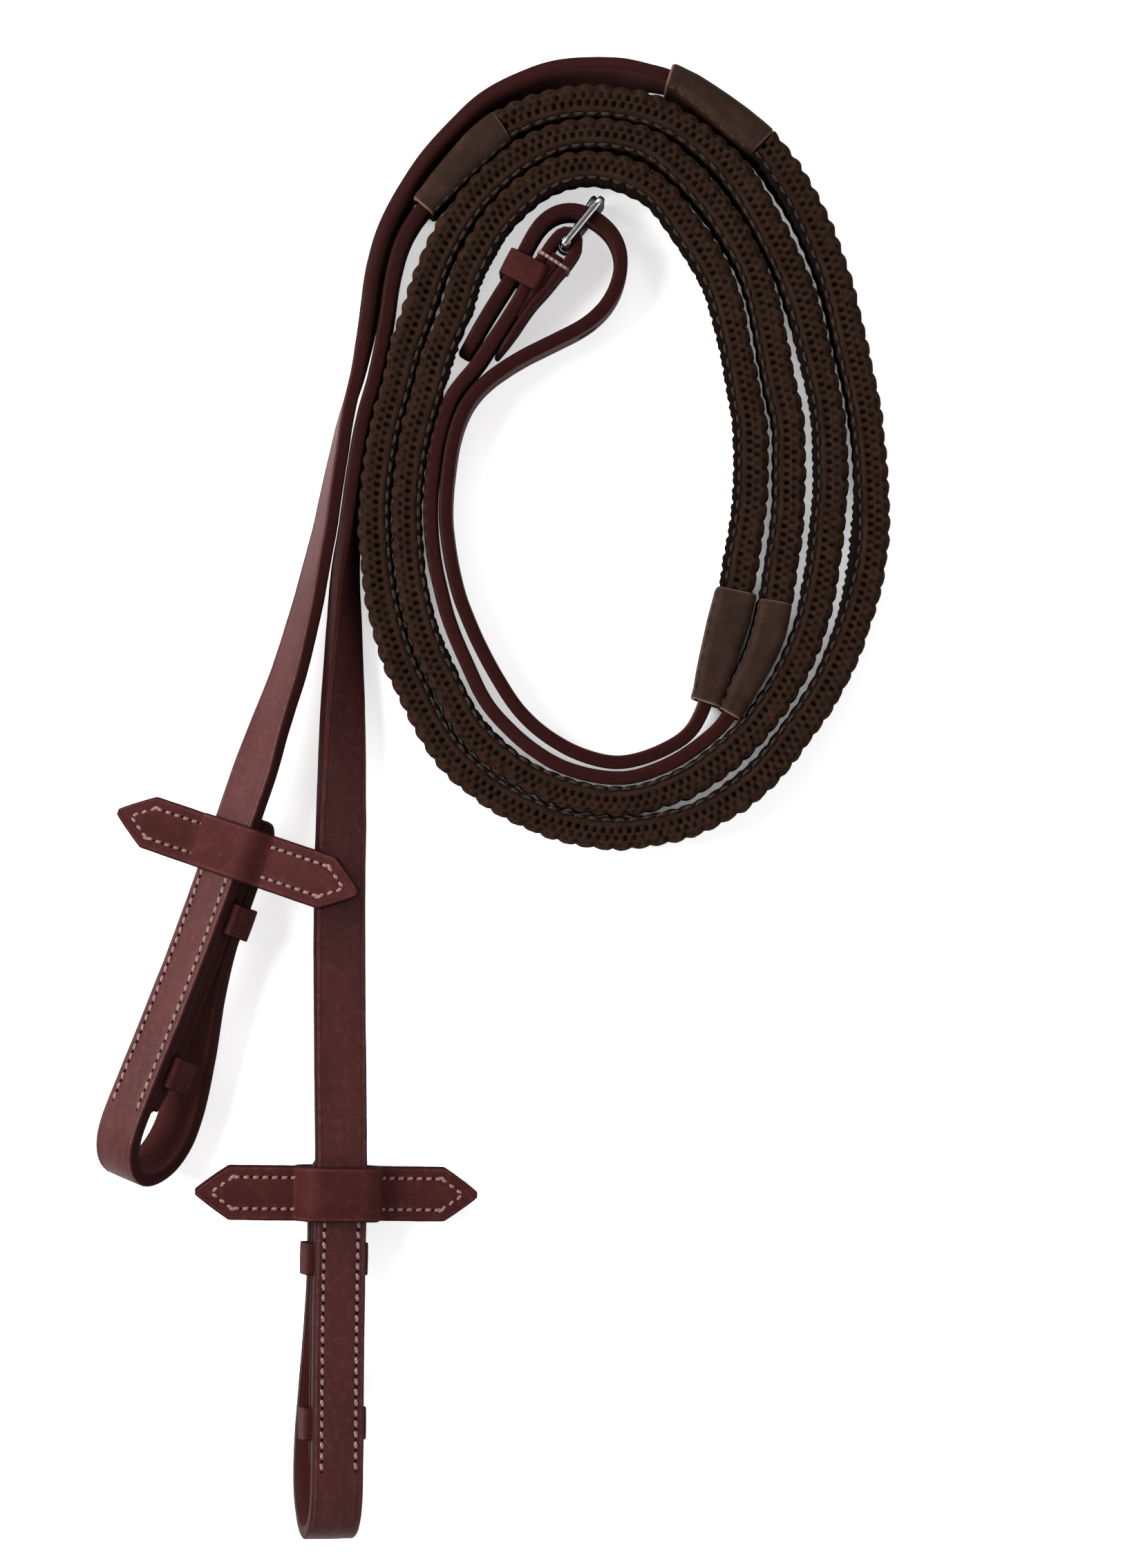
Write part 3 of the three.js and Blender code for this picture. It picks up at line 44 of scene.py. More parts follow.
# x, y, z, across x, across y, across z, thickness, distance from the end of the tail
LEFT_ROWS = np.array([
    -72.568, -6.374, 12.227, 0.7541, -0.2302, 0.6151, 4.20, 0.00,
    -74.025, -10.626, 12.424, 0.7541, -0.2302, 0.6151, 4.20, 4.50,
    -75.483, -14.877, 12.620, 0.7541, -0.2302, 0.6151, 4.20, 9.00,
    -76.941, -19.128, 12.817, 0.7541, -0.2302, 0.6151, 4.20, 13.50,
    -78.410, -23.374, 13.028, 0.7541, -0.2302, 0.6151, 4.20, 17.99,
    -79.892, -27.615, 13.258, 0.7541, -0.2302, 0.6151, 4.20, 22.49,
    -81.401, -31.844, 13.526, 0.7541, -0.2302, 0.6151, 4.20, 26.99,
    -82.899, -36.078, 13.778, 0.7541, -0.2302, 0.6151, 4.20, 31.49,
    -84.368, -40.325, 13.990, 0.7541, -0.2302, 0.6151, 4.20, 35.99,
    -85.750, -44.604, 14.083, 0.7541, -0.2302, 0.6151, 4.20, 40.49,
    -86.810, -48.456, 13.942, 0.7541, -0.2302, 0.6151, 4.20, 44.48,
    -87.865, -52.815, 13.604, 0.7541, -0.2302, 0.6151, 4.20, 48.98,
    -88.817, -57.187, 13.134, 0.7541, -0.2302, 0.6151, 4.20, 53.48,
    -89.660, -61.563, 12.531, 0.7541, -0.2302, 0.6151, 4.20, 57.98,
    -90.454, -65.941, 11.866, 0.7541, -0.2302, 0.6151, 4.20, 62.48,
    -91.193, -70.317, 11.135, 0.7541, -0.2302, 0.6151, 4.20, 66.98,
    -91.907, -74.693, 10.373, 0.7541, -0.2302, 0.6151, 4.20, 71.47,
    -92.687, -79.070, 9.690, 0.7541, -0.2302, 0.6151, 4.20, 75.97,
    -93.522, -83.447, 9.076, 0.7541, -0.2302, 0.6151, 4.20, 80.47,
    -94.427, -87.822, 8.549, 0.7541, -0.2302, 0.6151, 4.20, 84.97,
    -95.446, -92.186, 8.165, 0.7541, -0.2302, 0.6151, 4.20, 89.47,
    -96.572, -96.534, 7.919, 0.7541, -0.2302, 0.6151, 4.20, 93.97,
    -97.443, -99.403, 7.913, 0.7541, -0.2302, 0.6151, 4.20, 96.96,
    -98.432, -102.229, 8.067, 0.7541, -0.2302, 0.6151, 4.20, 99.96,
    -99.168, -104.075, 8.279, 0.7541, -0.2302, 0.6151, 4.20, 101.96,
    -99.784, -105.418, 8.531, 0.7541, -0.2302, 0.6151, 4.20, 103.46,
    -100.457, -106.714, 8.872, 0.7541, -0.2302, 0.6151, 4.20, 104.96,
    -101.175, -107.964, 9.284, 0.7541, -0.2302, 0.6151, 4.20, 106.46,
    -101.936, -109.160, 9.771, 0.7541, -0.2302, 0.6151, 4.20, 107.96,
    -102.741, -110.293, 10.333, 0.7541, -0.2302, 0.6151, 4.20, 109.46,
    -103.590, -111.345, 10.980, 0.7541, -0.2302, 0.6151, 4.20, 110.96,
    -104.478, -112.308, 11.709, 0.7541, -0.2302, 0.6151, 4.20, 112.46,
    -105.395, -113.187, 12.504, 0.7541, -0.2302, 0.6151, 4.20, 113.96,
    -106.338, -113.972, 13.366, 0.7541, -0.2302, 0.6151, 4.20, 115.46,
    -107.303, -114.634, 14.302, 0.7541, -0.2302, 0.6151, 4.20, 116.96,
    -108.284, -115.143, 15.315, 0.7541, -0.2302, 0.6151, 4.20, 118.46,
    -109.268, -115.516, 16.382, 0.7541, -0.2302, 0.6151, 4.20, 119.96,
    -110.245, -115.732, 17.498, 0.7541, -0.2302, 0.6151, 4.20, 121.45,
    -111.191, -115.732, 18.658, 0.7541, -0.2302, 0.6151, 4.20, 122.95,
    -112.056, -115.416, 19.836, 0.7541, -0.2302, 0.6151, 4.20, 124.45,
    -112.801, -114.801, 20.980, 0.7541, -0.2302, 0.6151, 4.20, 125.95,
    -113.432, -113.978, 22.061, 0.7541, -0.2302, 0.6151, 4.20, 127.45,
    -113.949, -112.993, 23.064, 0.7541, -0.2302, 0.6151, 4.20, 128.95,
    -114.322, -111.846, 23.951, 0.7541, -0.2302, 0.6151, 4.20, 130.45,
    -114.547, -110.570, 24.704, 0.7541, -0.2302, 0.6151, 4.20, 131.95,
    -114.654, -109.218, 25.341, 0.7541, -0.2302, 0.6151, 4.20, 133.45,
    -114.655, -107.815, 25.867, 0.7541, -0.2302, 0.6151, 4.20, 134.95,
    -114.539, -106.374, 26.264, 0.7541, -0.2302, 0.6151, 4.20, 136.45,
    -114.316, -104.917, 26.537, 0.7541, -0.2302, 0.6151, 4.20, 137.95,
    -114.017, -103.459, 26.715, 0.7541, -0.2302, 0.6151, 4.20, 139.44,
    -113.538, -101.524, 26.852, 0.7541, -0.2302, 0.6151, 4.20, 141.44,
    -113.113, -100.086, 26.869, 0.7541, -0.2302, 0.6151, 4.20, 142.94,
    -112.462, -98.198, 26.778, 0.7541, -0.2302, 0.6151, 4.20, 144.94,
    -110.879, -94.004, 26.406, 0.7541, -0.2302, 0.6151, 4.20, 149.44,
    -109.264, -89.827, 25.990, 0.7541, -0.2302, 0.6151, 4.20, 153.94,
    -107.610, -85.670, 25.517, 0.7541, -0.2302, 0.6151, 4.20, 158.44,
    -105.954, -81.515, 25.042, 0.7541, -0.2302, 0.6151, 4.20, 162.94,
    -104.305, -77.356, 24.576, 0.7541, -0.2302, 0.6151, 4.20, 167.43,
    -102.654, -73.197, 24.108, 0.7541, -0.2302, 0.6151, 4.20, 171.93,
    -101.009, -69.036, 23.649, 0.7541, -0.2302, 0.6151, 4.20, 176.43,
    -99.377, -64.867, 23.208, 0.7541, -0.2302, 0.6151, 4.20, 180.93,
    -97.761, -60.690, 22.790, 0.7541, -0.2302, 0.6151, 4.20, 185.43,
    -96.158, -56.506, 22.391, 0.7541, -0.2302, 0.6151, 4.20, 189.93,
    -94.568, -52.315, 22.009, 0.7541, -0.2302, 0.6151, 4.20, 194.42,
    -92.992, -48.117, 21.648, 0.7541, -0.2302, 0.6151, 4.20, 198.92,
    -91.433, -43.912, 21.310, 0.7541, -0.2302, 0.6151, 4.20, 203.42,
    -89.891, -39.697, 20.997, 0.7541, -0.2302, 0.6151, 4.20, 207.92,
    -88.366, -35.475, 20.707, 0.7541, -0.2302, 0.6151, 4.20, 212.42,
    -86.856, -31.247, 20.438, 0.7541, -0.2302, 0.6151, 4.20, 216.92,
    -85.359, -27.012, 20.187, 0.7541, -0.2302, 0.6151, 4.20, 221.41,
    -83.873, -22.773, 19.952, 0.7541, -0.2302, 0.6151, 4.20, 225.91,
    -82.400, -18.528, 19.735, 0.7541, -0.2302, 0.6151, 4.20, 230.41,
    -81.101, -14.749, 19.529, 0.7543, -0.2264, 0.6163, 4.20, 234.41,
    -79.803, -10.964, 19.387, 0.7524, -0.2302, 0.6172, 4.20, 238.42,
    -78.506, -7.179, 19.217, 0.7518, -0.2299, 0.6180, 4.20, 242.42,
    -77.208, -3.394, 19.046, 0.7512, -0.2296, 0.6189, 4.20, 246.43,
    -75.909, 0.391, 18.875, 0.7501, -0.2308, 0.6197, 4.20, 250.43,
    -74.602, 4.173, 18.705, 0.7499, -0.2294, 0.6206, 4.20, 254.44,
    -73.326, 7.965, 18.534, 0.7508, -0.2187, 0.6233, 4.20, 258.44,
    -72.092, 11.771, 18.362, 0.7393, -0.2067, 0.6409, 4.20, 262.45,
    -70.869, 15.581, 18.124, 0.7172, -0.1788, 0.6735, 4.20, 266.46,
    -69.622, 19.383, 17.767, 0.6903, -0.1530, 0.7072, 4.20, 270.47,
    -68.336, 23.172, 17.335, 0.6607, -0.1443, 0.7367, 4.20, 274.50,
    -67.015, 26.949, 16.910, 0.6334, -0.1389, 0.7613, 4.20, 278.52,
    -65.684, 30.722, 16.491, 0.6118, -0.1285, 0.7805, 4.20, 282.54,
    -64.376, 34.504, 16.072, 0.5955, -0.1140, 0.7952, 4.20, 286.57,
    -63.125, 38.304, 15.650, 0.5802, -0.0950, 0.8089, 4.20, 290.59,
    -61.961, 42.132, 15.226, 0.5644, -0.0728, 0.8222, 4.20, 294.61,
    -60.888, 45.987, 14.799, 0.5473, -0.0540, 0.8352, 4.20, 298.64,
    -59.871, 49.857, 14.371, 0.5284, -0.0434, 0.8479, 4.20, 302.66,
    -58.871, 53.731, 13.966, 0.5058, -0.0452, 0.8615, 4.20, 306.68,
    -57.880, 57.608, 13.605, 0.4810, -0.0453, 0.8756, 4.20, 310.70,
    -56.926, 61.494, 13.275, 0.4567, -0.0335, 0.8890, 4.20, 314.72,
    -56.033, 65.394, 12.945, 0.4322, -0.0189, 0.9016, 4.20, 318.73,
    -55.192, 69.306, 12.614, 0.4069, -0.0087, 0.9134, 4.20, 322.75,
    -54.355, 73.218, 12.297, 0.3792, -0.0151, 0.9252, 4.20, 326.76,
    -53.484, 77.124, 12.053, 0.3522, -0.0315, 0.9354, 4.20, 330.77,
    -52.607, 81.028, 11.888, 0.3298, -0.0373, 0.9433, 4.20, 334.77,
    -51.792, 84.945, 11.740, 0.3113, -0.0252, 0.9500, 4.20, 338.78,
    -51.068, 88.880, 11.593, 0.2921, -0.0149, 0.9563, 4.20, 342.78,
    -50.385, 92.823, 11.445, 0.2721, -0.0118, 0.9622, 4.20, 346.79,
    -49.683, 96.762, 11.312, 0.2508, -0.0166, 0.9679, 4.20, 350.79,
    -48.949, 100.695, 11.205, 0.2293, -0.0199, 0.9732, 4.20, 354.79,
    -48.199, 104.626, 11.113, 0.2085, -0.0172, 0.9779, 4.20, 358.79,
    -47.435, 108.553, 11.037, 0.1849, -0.0226, 0.9825, 4.20, 362.80,
    -46.659, 112.479, 11.002, 0.1581, -0.0281, 0.9870, 4.20, 366.80,
    -45.840, 116.395, 11.000, 0.1300, -0.0285, 0.9911, 4.20, 370.80,
    -44.924, 120.290, 11.000, 0.1028, -0.0259, 0.9944, 4.20, 374.80,
    -43.885, 124.154, 11.000, 0.0766, -0.0217, 0.9968, 4.20, 378.80,
    -42.785, 128.001, 11.000, 0.0517, -0.0147, 0.9986, 4.20, 382.80,
    -41.754, 131.867, 11.000, 0.0287, -0.0071, 0.9996, 4.20, 386.80,
    -40.865, 135.768, 11.000, 0.0025, -0.0005, 1.0000, 4.20, 390.80,
    -40.081, 139.691, 11.000, -0.0268, 0.0051, 0.9996, 4.20, 394.81,
    -39.334, 143.622, 11.000, -0.0538, 0.0100, 0.9985, 4.20, 398.81,
    -38.643, 147.564, 11.000, -0.0752, 0.0123, 0.9971, 4.20, 402.81,
    -38.057, 151.521, 11.000, -0.0887, 0.0120, 0.9960, 4.20, 406.81,
    -37.521, 155.487, 11.000, -0.0964, 0.0132, 0.9953, 4.20, 410.81,
    -36.915, 159.442, 11.000, -0.1027, 0.0175, 0.9946, 4.20, 414.81,
    -36.160, 163.371, 11.000, -0.1080, 0.0231, 0.9939, 4.20, 418.81,
    -35.243, 167.265, 11.000, -0.1123, 0.0291, 0.9932, 4.20, 422.82,
    -34.131, 171.108, 11.000, -0.1151, 0.0370, 0.9927, 4.20, 426.82,
    -32.776, 174.872, 11.000, -0.1157, 0.0462, 0.9922, 4.20, 430.82,
    -31.159, 178.531, 11.000, -0.1143, 0.0553, 0.9919, 4.20, 434.82,
    -29.327, 182.088, 11.000, -0.1130, 0.0616, 0.9917, 4.20, 438.82,
    -27.364, 185.575, 11.000, -0.1123, 0.0653, 0.9915, 4.20, 442.82,
    -25.308, 189.007, 11.000, -0.1114, 0.0689, 0.9914, 4.20, 446.82,
    -23.144, 192.373, 11.000, -0.1111, 0.0745, 0.9910, 4.20, 450.82,
    -20.818, 195.633, 11.000, -0.1113, 0.0843, 0.9902, 4.20, 454.83,
    -18.292, 198.747, 11.000, -0.1111, 0.0963, 0.9891, 4.20, 458.84,
    -15.602, 201.721, 11.000, -0.1126, 0.1058, 0.9880, 4.20, 462.85,
    -12.841, 204.624, 11.000, -0.1162, 0.1119, 0.9869, 4.20, 466.86,
    -10.050, 207.499, 11.000, -0.1195, 0.1176, 0.9858, 4.20, 470.86,
    -7.183, 210.319, 11.000, -0.1206, 0.1271, 0.9845, 4.20, 474.89,
    -4.130, 212.993, 11.000, -0.1168, 0.1452, 0.9825, 4.20, 478.94,
    -1.655, 214.815, 11.000, -0.1095, 0.1640, 0.9804, 4.20, 482.02,
    0.963, 216.419, 11.000, -0.1026, 0.1827, 0.9778, 4.20, 485.09,
    4.591, 218.255, 11.000, -0.0971, 0.2055, 0.9738, 4.20, 489.16,
    8.282, 219.881, 11.000, -0.0947, 0.2264, 0.9694, 4.20, 493.19,
    12.046, 221.366, 11.000, -0.0891, 0.2455, 0.9653, 4.20, 497.24,
    15.935, 222.643, 11.000, -0.0746, 0.2636, 0.9617, 4.20, 501.33,
    18.931, 223.390, 11.000, -0.0591, 0.2754, 0.9595, 4.20, 504.42,
    21.980, 223.921, 11.000, -0.0389, 0.2843, 0.9579, 4.20, 507.51,
    26.041, 224.326, 11.003, -0.0226, 0.2876, 0.9575, 4.20, 511.60,
    30.069, 224.519, 11.041, -0.0239, 0.2838, 0.9586, 4.20, 515.63,
    34.104, 224.611, 11.124, -0.0261, 0.2759, 0.9608, 4.20, 519.67,
    38.185, 224.528, 11.222, -0.0091, 0.2615, 0.9652, 4.20, 523.75,
    41.241, 224.243, 11.296, 0.0089, 0.2430, 0.9700, 4.20, 526.82,
    45.224, 223.605, 11.379, 0.0209, 0.2048, 0.9786, 4.20, 530.86,
    49.180, 222.881, 11.417, 0.0228, 0.1583, 0.9871, 4.20, 534.88,
    52.196, 222.299, 11.420, 0.0301, 0.1239, 0.9918, 4.20, 537.95,
    54.181, 221.752, 11.420, 0.0335, 0.1064, 0.9938, 4.20, 540.01,
    56.139, 221.035, 11.420, 0.0398, 0.0930, 0.9949, 4.20, 542.10,
    58.002, 220.119, 11.420, 0.0458, 0.0835, 0.9955, 4.20, 544.17,
    60.626, 218.524, 11.420, 0.0509, 0.0763, 0.9958, 4.20, 547.24,
    63.925, 216.211, 11.420, 0.0523, 0.0729, 0.9960, 4.20, 551.27,
    67.166, 213.839, 11.420, 0.0524, 0.0705, 0.9961, 4.20, 555.29,
    70.365, 211.408, 11.420, 0.0528, 0.0679, 0.9963, 4.20, 559.31,
    73.510, 208.905, 11.420, 0.0532, 0.0652, 0.9965, 4.20, 563.33,
    77.394, 205.769, 11.420, 0.0509, 0.0640, 0.9967, 4.20, 568.32,
    80.520, 203.246, 11.420, 0.0509, 0.0611, 0.9968, 4.20, 572.34,
    82.784, 201.186, 11.419, 0.0559, 0.0533, 0.9970, 4.20, 575.40,
    84.866, 198.946, 11.405, 0.0607, 0.0432, 0.9972, 4.20, 578.46,
    86.744, 196.553, 11.379, 0.0630, 0.0336, 0.9974, 4.20, 581.50,
    89.077, 193.270, 11.328, 0.0613, 0.0262, 0.9978, 4.20, 585.53,
    91.309, 189.933, 11.276, 0.0576, 0.0219, 0.9981, 4.20, 589.54,
    93.453, 186.536, 11.223, 0.0537, 0.0174, 0.9984, 4.20, 593.56,
    95.480, 183.065, 11.171, 0.0498, 0.0129, 0.9987, 4.20, 597.58,
    97.367, 179.517, 11.118, 0.0456, 0.0084, 0.9989, 4.20, 601.60,
    99.104, 175.895, 11.066, 0.0411, 0.0044, 0.9991, 4.20, 605.62,
    100.703, 172.214, 11.022, 0.0345, 0.0057, 0.9994, 4.20, 609.63,
    102.188, 168.490, 11.001, 0.0280, 0.0084, 0.9996, 4.20, 613.64,
    103.585, 164.734, 11.000, 0.0236, 0.0085, 0.9997, 4.20, 617.65,
    104.895, 160.947, 11.000, 0.0206, 0.0068, 0.9998, 4.20, 621.66,
    106.089, 157.122, 11.000, 0.0179, 0.0053, 0.9998, 4.20, 625.66,
    107.151, 153.258, 11.000, 0.0152, 0.0039, 0.9999, 4.20, 629.67,
    108.103, 149.369, 11.000, 0.0124, 0.0029, 0.9999, 4.20, 633.67,
    108.996, 145.468, 11.000, 0.0095, 0.0021, 1.0000, 4.20, 637.68,
    109.879, 141.565, 11.000, 0.0066, 0.0015, 1.0000, 4.20, 641.68,
    110.773, 137.665, 11.000, 0.0037, 0.0009, 1.0000, 4.20, 645.68,
    111.673, 133.766, 11.000, 0.0015, 0.0003, 1.0000, 4.20, 649.68,
    112.574, 129.867, 11.000, 0.0003, 0.0001, 1.0000, 4.20, 653.68,
    113.441, 125.961, 11.000, 0.0000, 0.0000, 1.0000, 4.20, 657.68,
    114.207, 122.034, 11.000, -0.0000, -0.0000, 1.0000, 4.20, 661.68,
    114.834, 118.083, 11.000, -0.0000, -0.0000, 1.0000, 4.20, 665.68,
    115.361, 114.116, 11.000, -0.0000, -0.0000, 1.0000, 4.20, 669.69,
    115.825, 110.142, 11.000, -0.0000, -0.0000, 1.0000, 4.20, 673.69,
    116.201, 106.159, 11.000, -0.0000, -0.0000, 1.0000, 4.20, 677.69,
    116.473, 102.167, 11.000, -0.0000, -0.0000, 1.0000, 4.20, 681.69,
    116.688, 98.171, 11.000, -0.0000, -0.0000, 1.0000, 4.20, 685.69,
    116.904, 94.176, 11.000, -0.0000, -0.0000, 1.0000, 4.20, 689.69,
    117.095, 90.179, 11.000, -0.0000, -0.0000, 1.0000, 4.20, 693.69,
    117.177, 86.179, 11.000, -0.0000, -0.0000, 1.0000, 4.20, 697.70,
    117.094, 82.179, 11.000, -0.0000, 0.0000, 1.0000, 4.20, 701.70,
    116.835, 78.186, 11.000, -0.0000, 0.0000, 1.0000, 4.20, 705.70,
    116.400, 74.209, 11.000, -0.0000, 0.0000, 1.0000, 4.20, 709.70,
    115.788, 70.255, 11.000, -0.0000, 0.0000, 1.0000, 4.20, 713.70,
    115.001, 66.332, 11.000, -0.0000, 0.0000, 1.0000, 4.20, 717.70,
    114.037, 62.449, 11.000, -0.0000, 0.0000, 1.0000, 4.20, 721.70,
    112.917, 58.608, 11.000, -0.0000, 0.0000, 1.0000, 4.20, 725.70,
    111.683, 54.802, 11.000, -0.0000, 0.0000, 1.0000, 4.20, 729.71,
    110.369, 51.023, 11.000, -0.0000, 0.0000, 1.0000, 4.20, 733.71,
    108.964, 47.276, 11.000, -0.0000, 0.0000, 1.0000, 4.20, 737.71,
    107.445, 43.575, 11.000, -0.0000, 0.0000, 1.0000, 4.20, 741.71,
    105.800, 39.928, 11.000, -0.0000, 0.0000, 1.0000, 4.20, 745.71,
    104.021, 36.344, 11.000, -0.0000, 0.0000, 1.0000, 4.20, 749.71,
    102.083, 32.844, 11.000, -0.0000, 0.0000, 1.0000, 4.20, 753.71,
    99.971, 29.445, 11.000, -0.0000, 0.0000, 1.0000, 4.20, 757.71,
    97.713, 26.142, 11.000, -0.0000, 0.0000, 1.0000, 4.20, 761.72,
    95.369, 22.900, 11.000, -0.0000, 0.0000, 1.0000, 4.20, 765.72,
    92.994, 19.680, 11.000, -0.0000, 0.0000, 1.0000, 4.20, 769.72,
    90.602, 16.472, 11.000, -0.0000, 0.0000, 1.0000, 4.20, 773.72,
    88.164, 13.299, 11.000, -0.0000, 0.0000, 1.0000, 4.20, 777.72,
    85.623, 10.209, 11.000, -0.0000, 0.0000, 1.0000, 4.20, 781.72,
    82.906, 7.272, 11.000, -0.0000, 0.0000, 1.0000, 4.20, 785.72,
    80.722, 5.215, 11.000, -0.0000, 0.0000, 1.0000, 4.20, 788.72,
    78.419, 3.292, 11.000, -0.0000, 0.0000, 1.0000, 4.20, 791.72,
    75.194, 0.925, 11.000, -0.0000, 0.0000, 1.0000, 4.20, 795.73,
    71.842, -1.260, 11.000, -0.0000, 0.0000, 1.0000, 4.20, 799.73,
    68.387, -3.277, 11.000, -0.0000, 0.0000, 1.0000, 4.20, 803.73,
    64.818, -5.084, 11.000, -0.0000, 0.0000, 1.0000, 4.20, 807.73,
    62.056, -6.255, 11.000, -0.0000, 0.0000, 1.0000, 4.20, 810.73,
    59.221, -7.238, 11.000, -0.0000, 0.0000, 1.0000, 4.20, 813.73,
    55.357, -8.274, 11.000, -0.0000, 0.0000, 1.0000, 4.20, 817.73,
    51.440, -9.091, 11.000, -0.0000, 0.0000, 1.0000, 4.20, 821.73,
    47.498, -9.777, 11.000, -0.0000, 0.0000, 1.0000, 4.20, 825.74,
    43.535, -10.323, 11.000, -0.0000, 0.0000, 1.0000, 4.20, 829.74,
    40.542, -10.539, 11.000, -0.0000, 0.0000, 1.0000, 4.20, 832.74,
    36.542, -10.548, 11.000, 0.0000, 0.0000, 1.0000, 4.20, 836.74,
    33.549, -10.340, 11.000, 0.0000, 0.0000, 1.0000, 4.20, 839.74,
    29.584, -9.806, 11.000, 0.0000, 0.0000, 1.0000, 4.20, 843.74,
    25.655, -9.050, 11.000, 0.0000, 0.0000, 1.0000, 4.20, 847.74,
    21.771, -8.089, 11.000, 0.0000, 0.0000, 1.0000, 4.20, 851.74,
    17.952, -6.900, 11.000, 0.0000, 0.0000, 1.0000, 4.20, 855.74,
    14.219, -5.460, 11.000, 0.0000, 0.0000, 1.0000, 4.20, 859.75,
    10.573, -3.814, 11.000, 0.0000, 0.0000, 1.0000, 4.20, 863.75,
    7.006, -2.002, 11.000, 0.0000, 0.0000, 1.0000, 4.20, 867.75,
    3.535, -0.011, 11.000, 0.0000, 0.0000, 1.0000, 4.20, 871.75,
    0.177, 2.163, 11.000, 0.0000, 0.0000, 1.0000, 4.20, 875.75,
    -3.073, 4.497, 11.000, 0.0000, 0.0000, 1.0000, 4.20, 879.75,
    -6.212, 6.978, 11.000, 0.0000, 0.0000, 1.0000, 4.20, 883.75,
    -9.186, 9.652, 11.000, 0.0000, 0.0000, 1.0000, 4.20, 887.75,
    -11.942, 12.552, 11.000, 0.0000, 0.0000, 1.0000, 4.20, 891.76,
    -14.461, 15.659, 11.000, 0.0000, 0.0000, 1.0000, 4.20, 895.76,
    -16.742, 18.946, 11.000, 0.0000, 0.0000, 1.0000, 4.20, 899.76,
    -18.795, 22.380, 11.000, 0.0000, 0.0000, 1.0000, 4.20, 903.76,
    -20.645, 25.927, 11.000, 0.0000, 0.0000, 1.0000, 4.20, 907.76,
    -22.362, 29.541, 11.000, 0.0000, 0.0000, 1.0000, 4.20, 911.76,
    -24.109, 33.140, 11.000, 0.0000, 0.0000, 1.0000, 4.20, 915.76,
    -25.921, 36.708, 11.000, 0.0000, 0.0000, 1.0000, 4.20, 919.76,
    -27.642, 40.320, 11.000, 0.0000, 0.0000, 1.0000, 4.20, 923.77,
    -29.161, 44.021, 11.000, 0.0000, 0.0000, 1.0000, 4.20, 927.77,
    -30.455, 47.806, 11.000, 0.0000, 0.0000, 1.0000, 4.20, 931.77,
    -31.580, 51.646, 11.000, 0.0000, 0.0000, 1.0000, 4.20, 935.77,
    -32.596, 55.516, 11.000, 0.0000, 0.0000, 1.0000, 4.20, 939.77,
    -33.512, 59.411, 11.000, 0.0000, 0.0000, 1.0000, 4.20, 943.77,
    -34.270, 63.339, 11.000, 0.0000, 0.0000, 1.0000, 4.20, 947.77,
    -34.836, 67.300, 11.000, 0.0000, 0.0000, 1.0000, 4.20, 951.77,
    -35.270, 71.278, 11.000, 0.0000, 0.0000, 1.0000, 4.20, 955.78,
    -35.638, 75.262, 11.000, 0.0000, 0.0000, 1.0000, 4.20, 959.78,
    -35.956, 79.250, 11.000, 0.0000, 0.0000, 1.0000, 4.20, 963.78,
    -36.213, 83.243, 11.000, 0.0000, 0.0000, 1.0000, 4.20, 967.78,
    -36.336, 87.242, 11.000, 0.0000, 0.0000, 1.0000, 4.20, 971.78,
    -36.249, 91.242, 11.000, 0.0000, -0.0000, 1.0000, 4.20, 975.78,
    -35.956, 95.232, 11.000, 0.0000, -0.0000, 1.0000, 4.20, 979.78,
    -35.533, 99.211, 11.000, 0.0000, -0.0000, 1.0000, 4.20, 983.78,
    -35.037, 103.181, 11.000, 0.0000, -0.0000, 1.0000, 4.20, 987.79,
    -34.455, 107.140, 11.000, 0.0000, -0.0000, 1.0000, 4.20, 991.79,
    -33.766, 111.081, 11.000, 0.0000, -0.0000, 1.0000, 4.20, 995.79,
    -32.935, 114.995, 11.000, 0.0000, -0.0000, 1.0000, 4.20, 999.79,
    -31.950, 118.873, 11.000, 0.0000, -0.0000, 1.0000, 4.20, 1003.79,
    -30.853, 122.721, 11.000, 0.0000, -0.0000, 1.0000, 4.20, 1007.79,
    -29.750, 126.567, 11.000, 0.0000, -0.0000, 1.0000, 4.20, 1011.79,
    -28.753, 130.442, 11.000, 0.0000, -0.0000, 1.0000, 4.20, 1015.79,
    -27.814, 134.331, 11.000, 0.0000, -0.0000, 1.0000, 4.20, 1019.80,
    -26.731, 138.183, 11.000, 0.0000, -0.0000, 1.0000, 4.20, 1023.80,
    -25.476, 141.982, 11.000, 0.0000, -0.0000, 1.0000, 4.20, 1027.80,
    -24.152, 145.757, 11.000, 0.0000, -0.0000, 1.0000, 4.20, 1031.80,
    -22.831, 149.534, 11.000, 0.0000, -0.0000, 1.0000, 4.20, 1035.80,
    -21.566, 153.331, 11.000, 0.0000, -0.0000, 1.0000, 4.20, 1039.80,
    -20.340, 157.139, 11.000, 0.0000, -0.0000, 1.0000, 4.20, 1043.80,
    -19.043, 160.924, 11.000, 0.0000, -0.0000, 1.0000, 4.20, 1047.80,
    -17.583, 164.649, 11.000, 0.0000, -0.0000, 1.0000, 4.20, 1051.81,
    -15.950, 168.302, 11.000, 0.0000, -0.0000, 1.0000, 4.20, 1055.81,
    -14.162, 171.881, 11.000, 0.0000, -0.0000, 1.0000, 4.20, 1059.81,
    -12.226, 175.382, 11.000, 0.0000, -0.0000, 1.0000, 4.20, 1063.81,
    -10.139, 178.796, 11.000, 0.0000, -0.0000, 1.0000, 4.20, 1067.81,
    -7.885, 182.101, 11.000, 0.0000, -0.0000, 1.0000, 4.20, 1071.81,
    -5.428, 185.258, 11.000, 0.0000, -0.0000, 1.0000, 4.20, 1075.81,
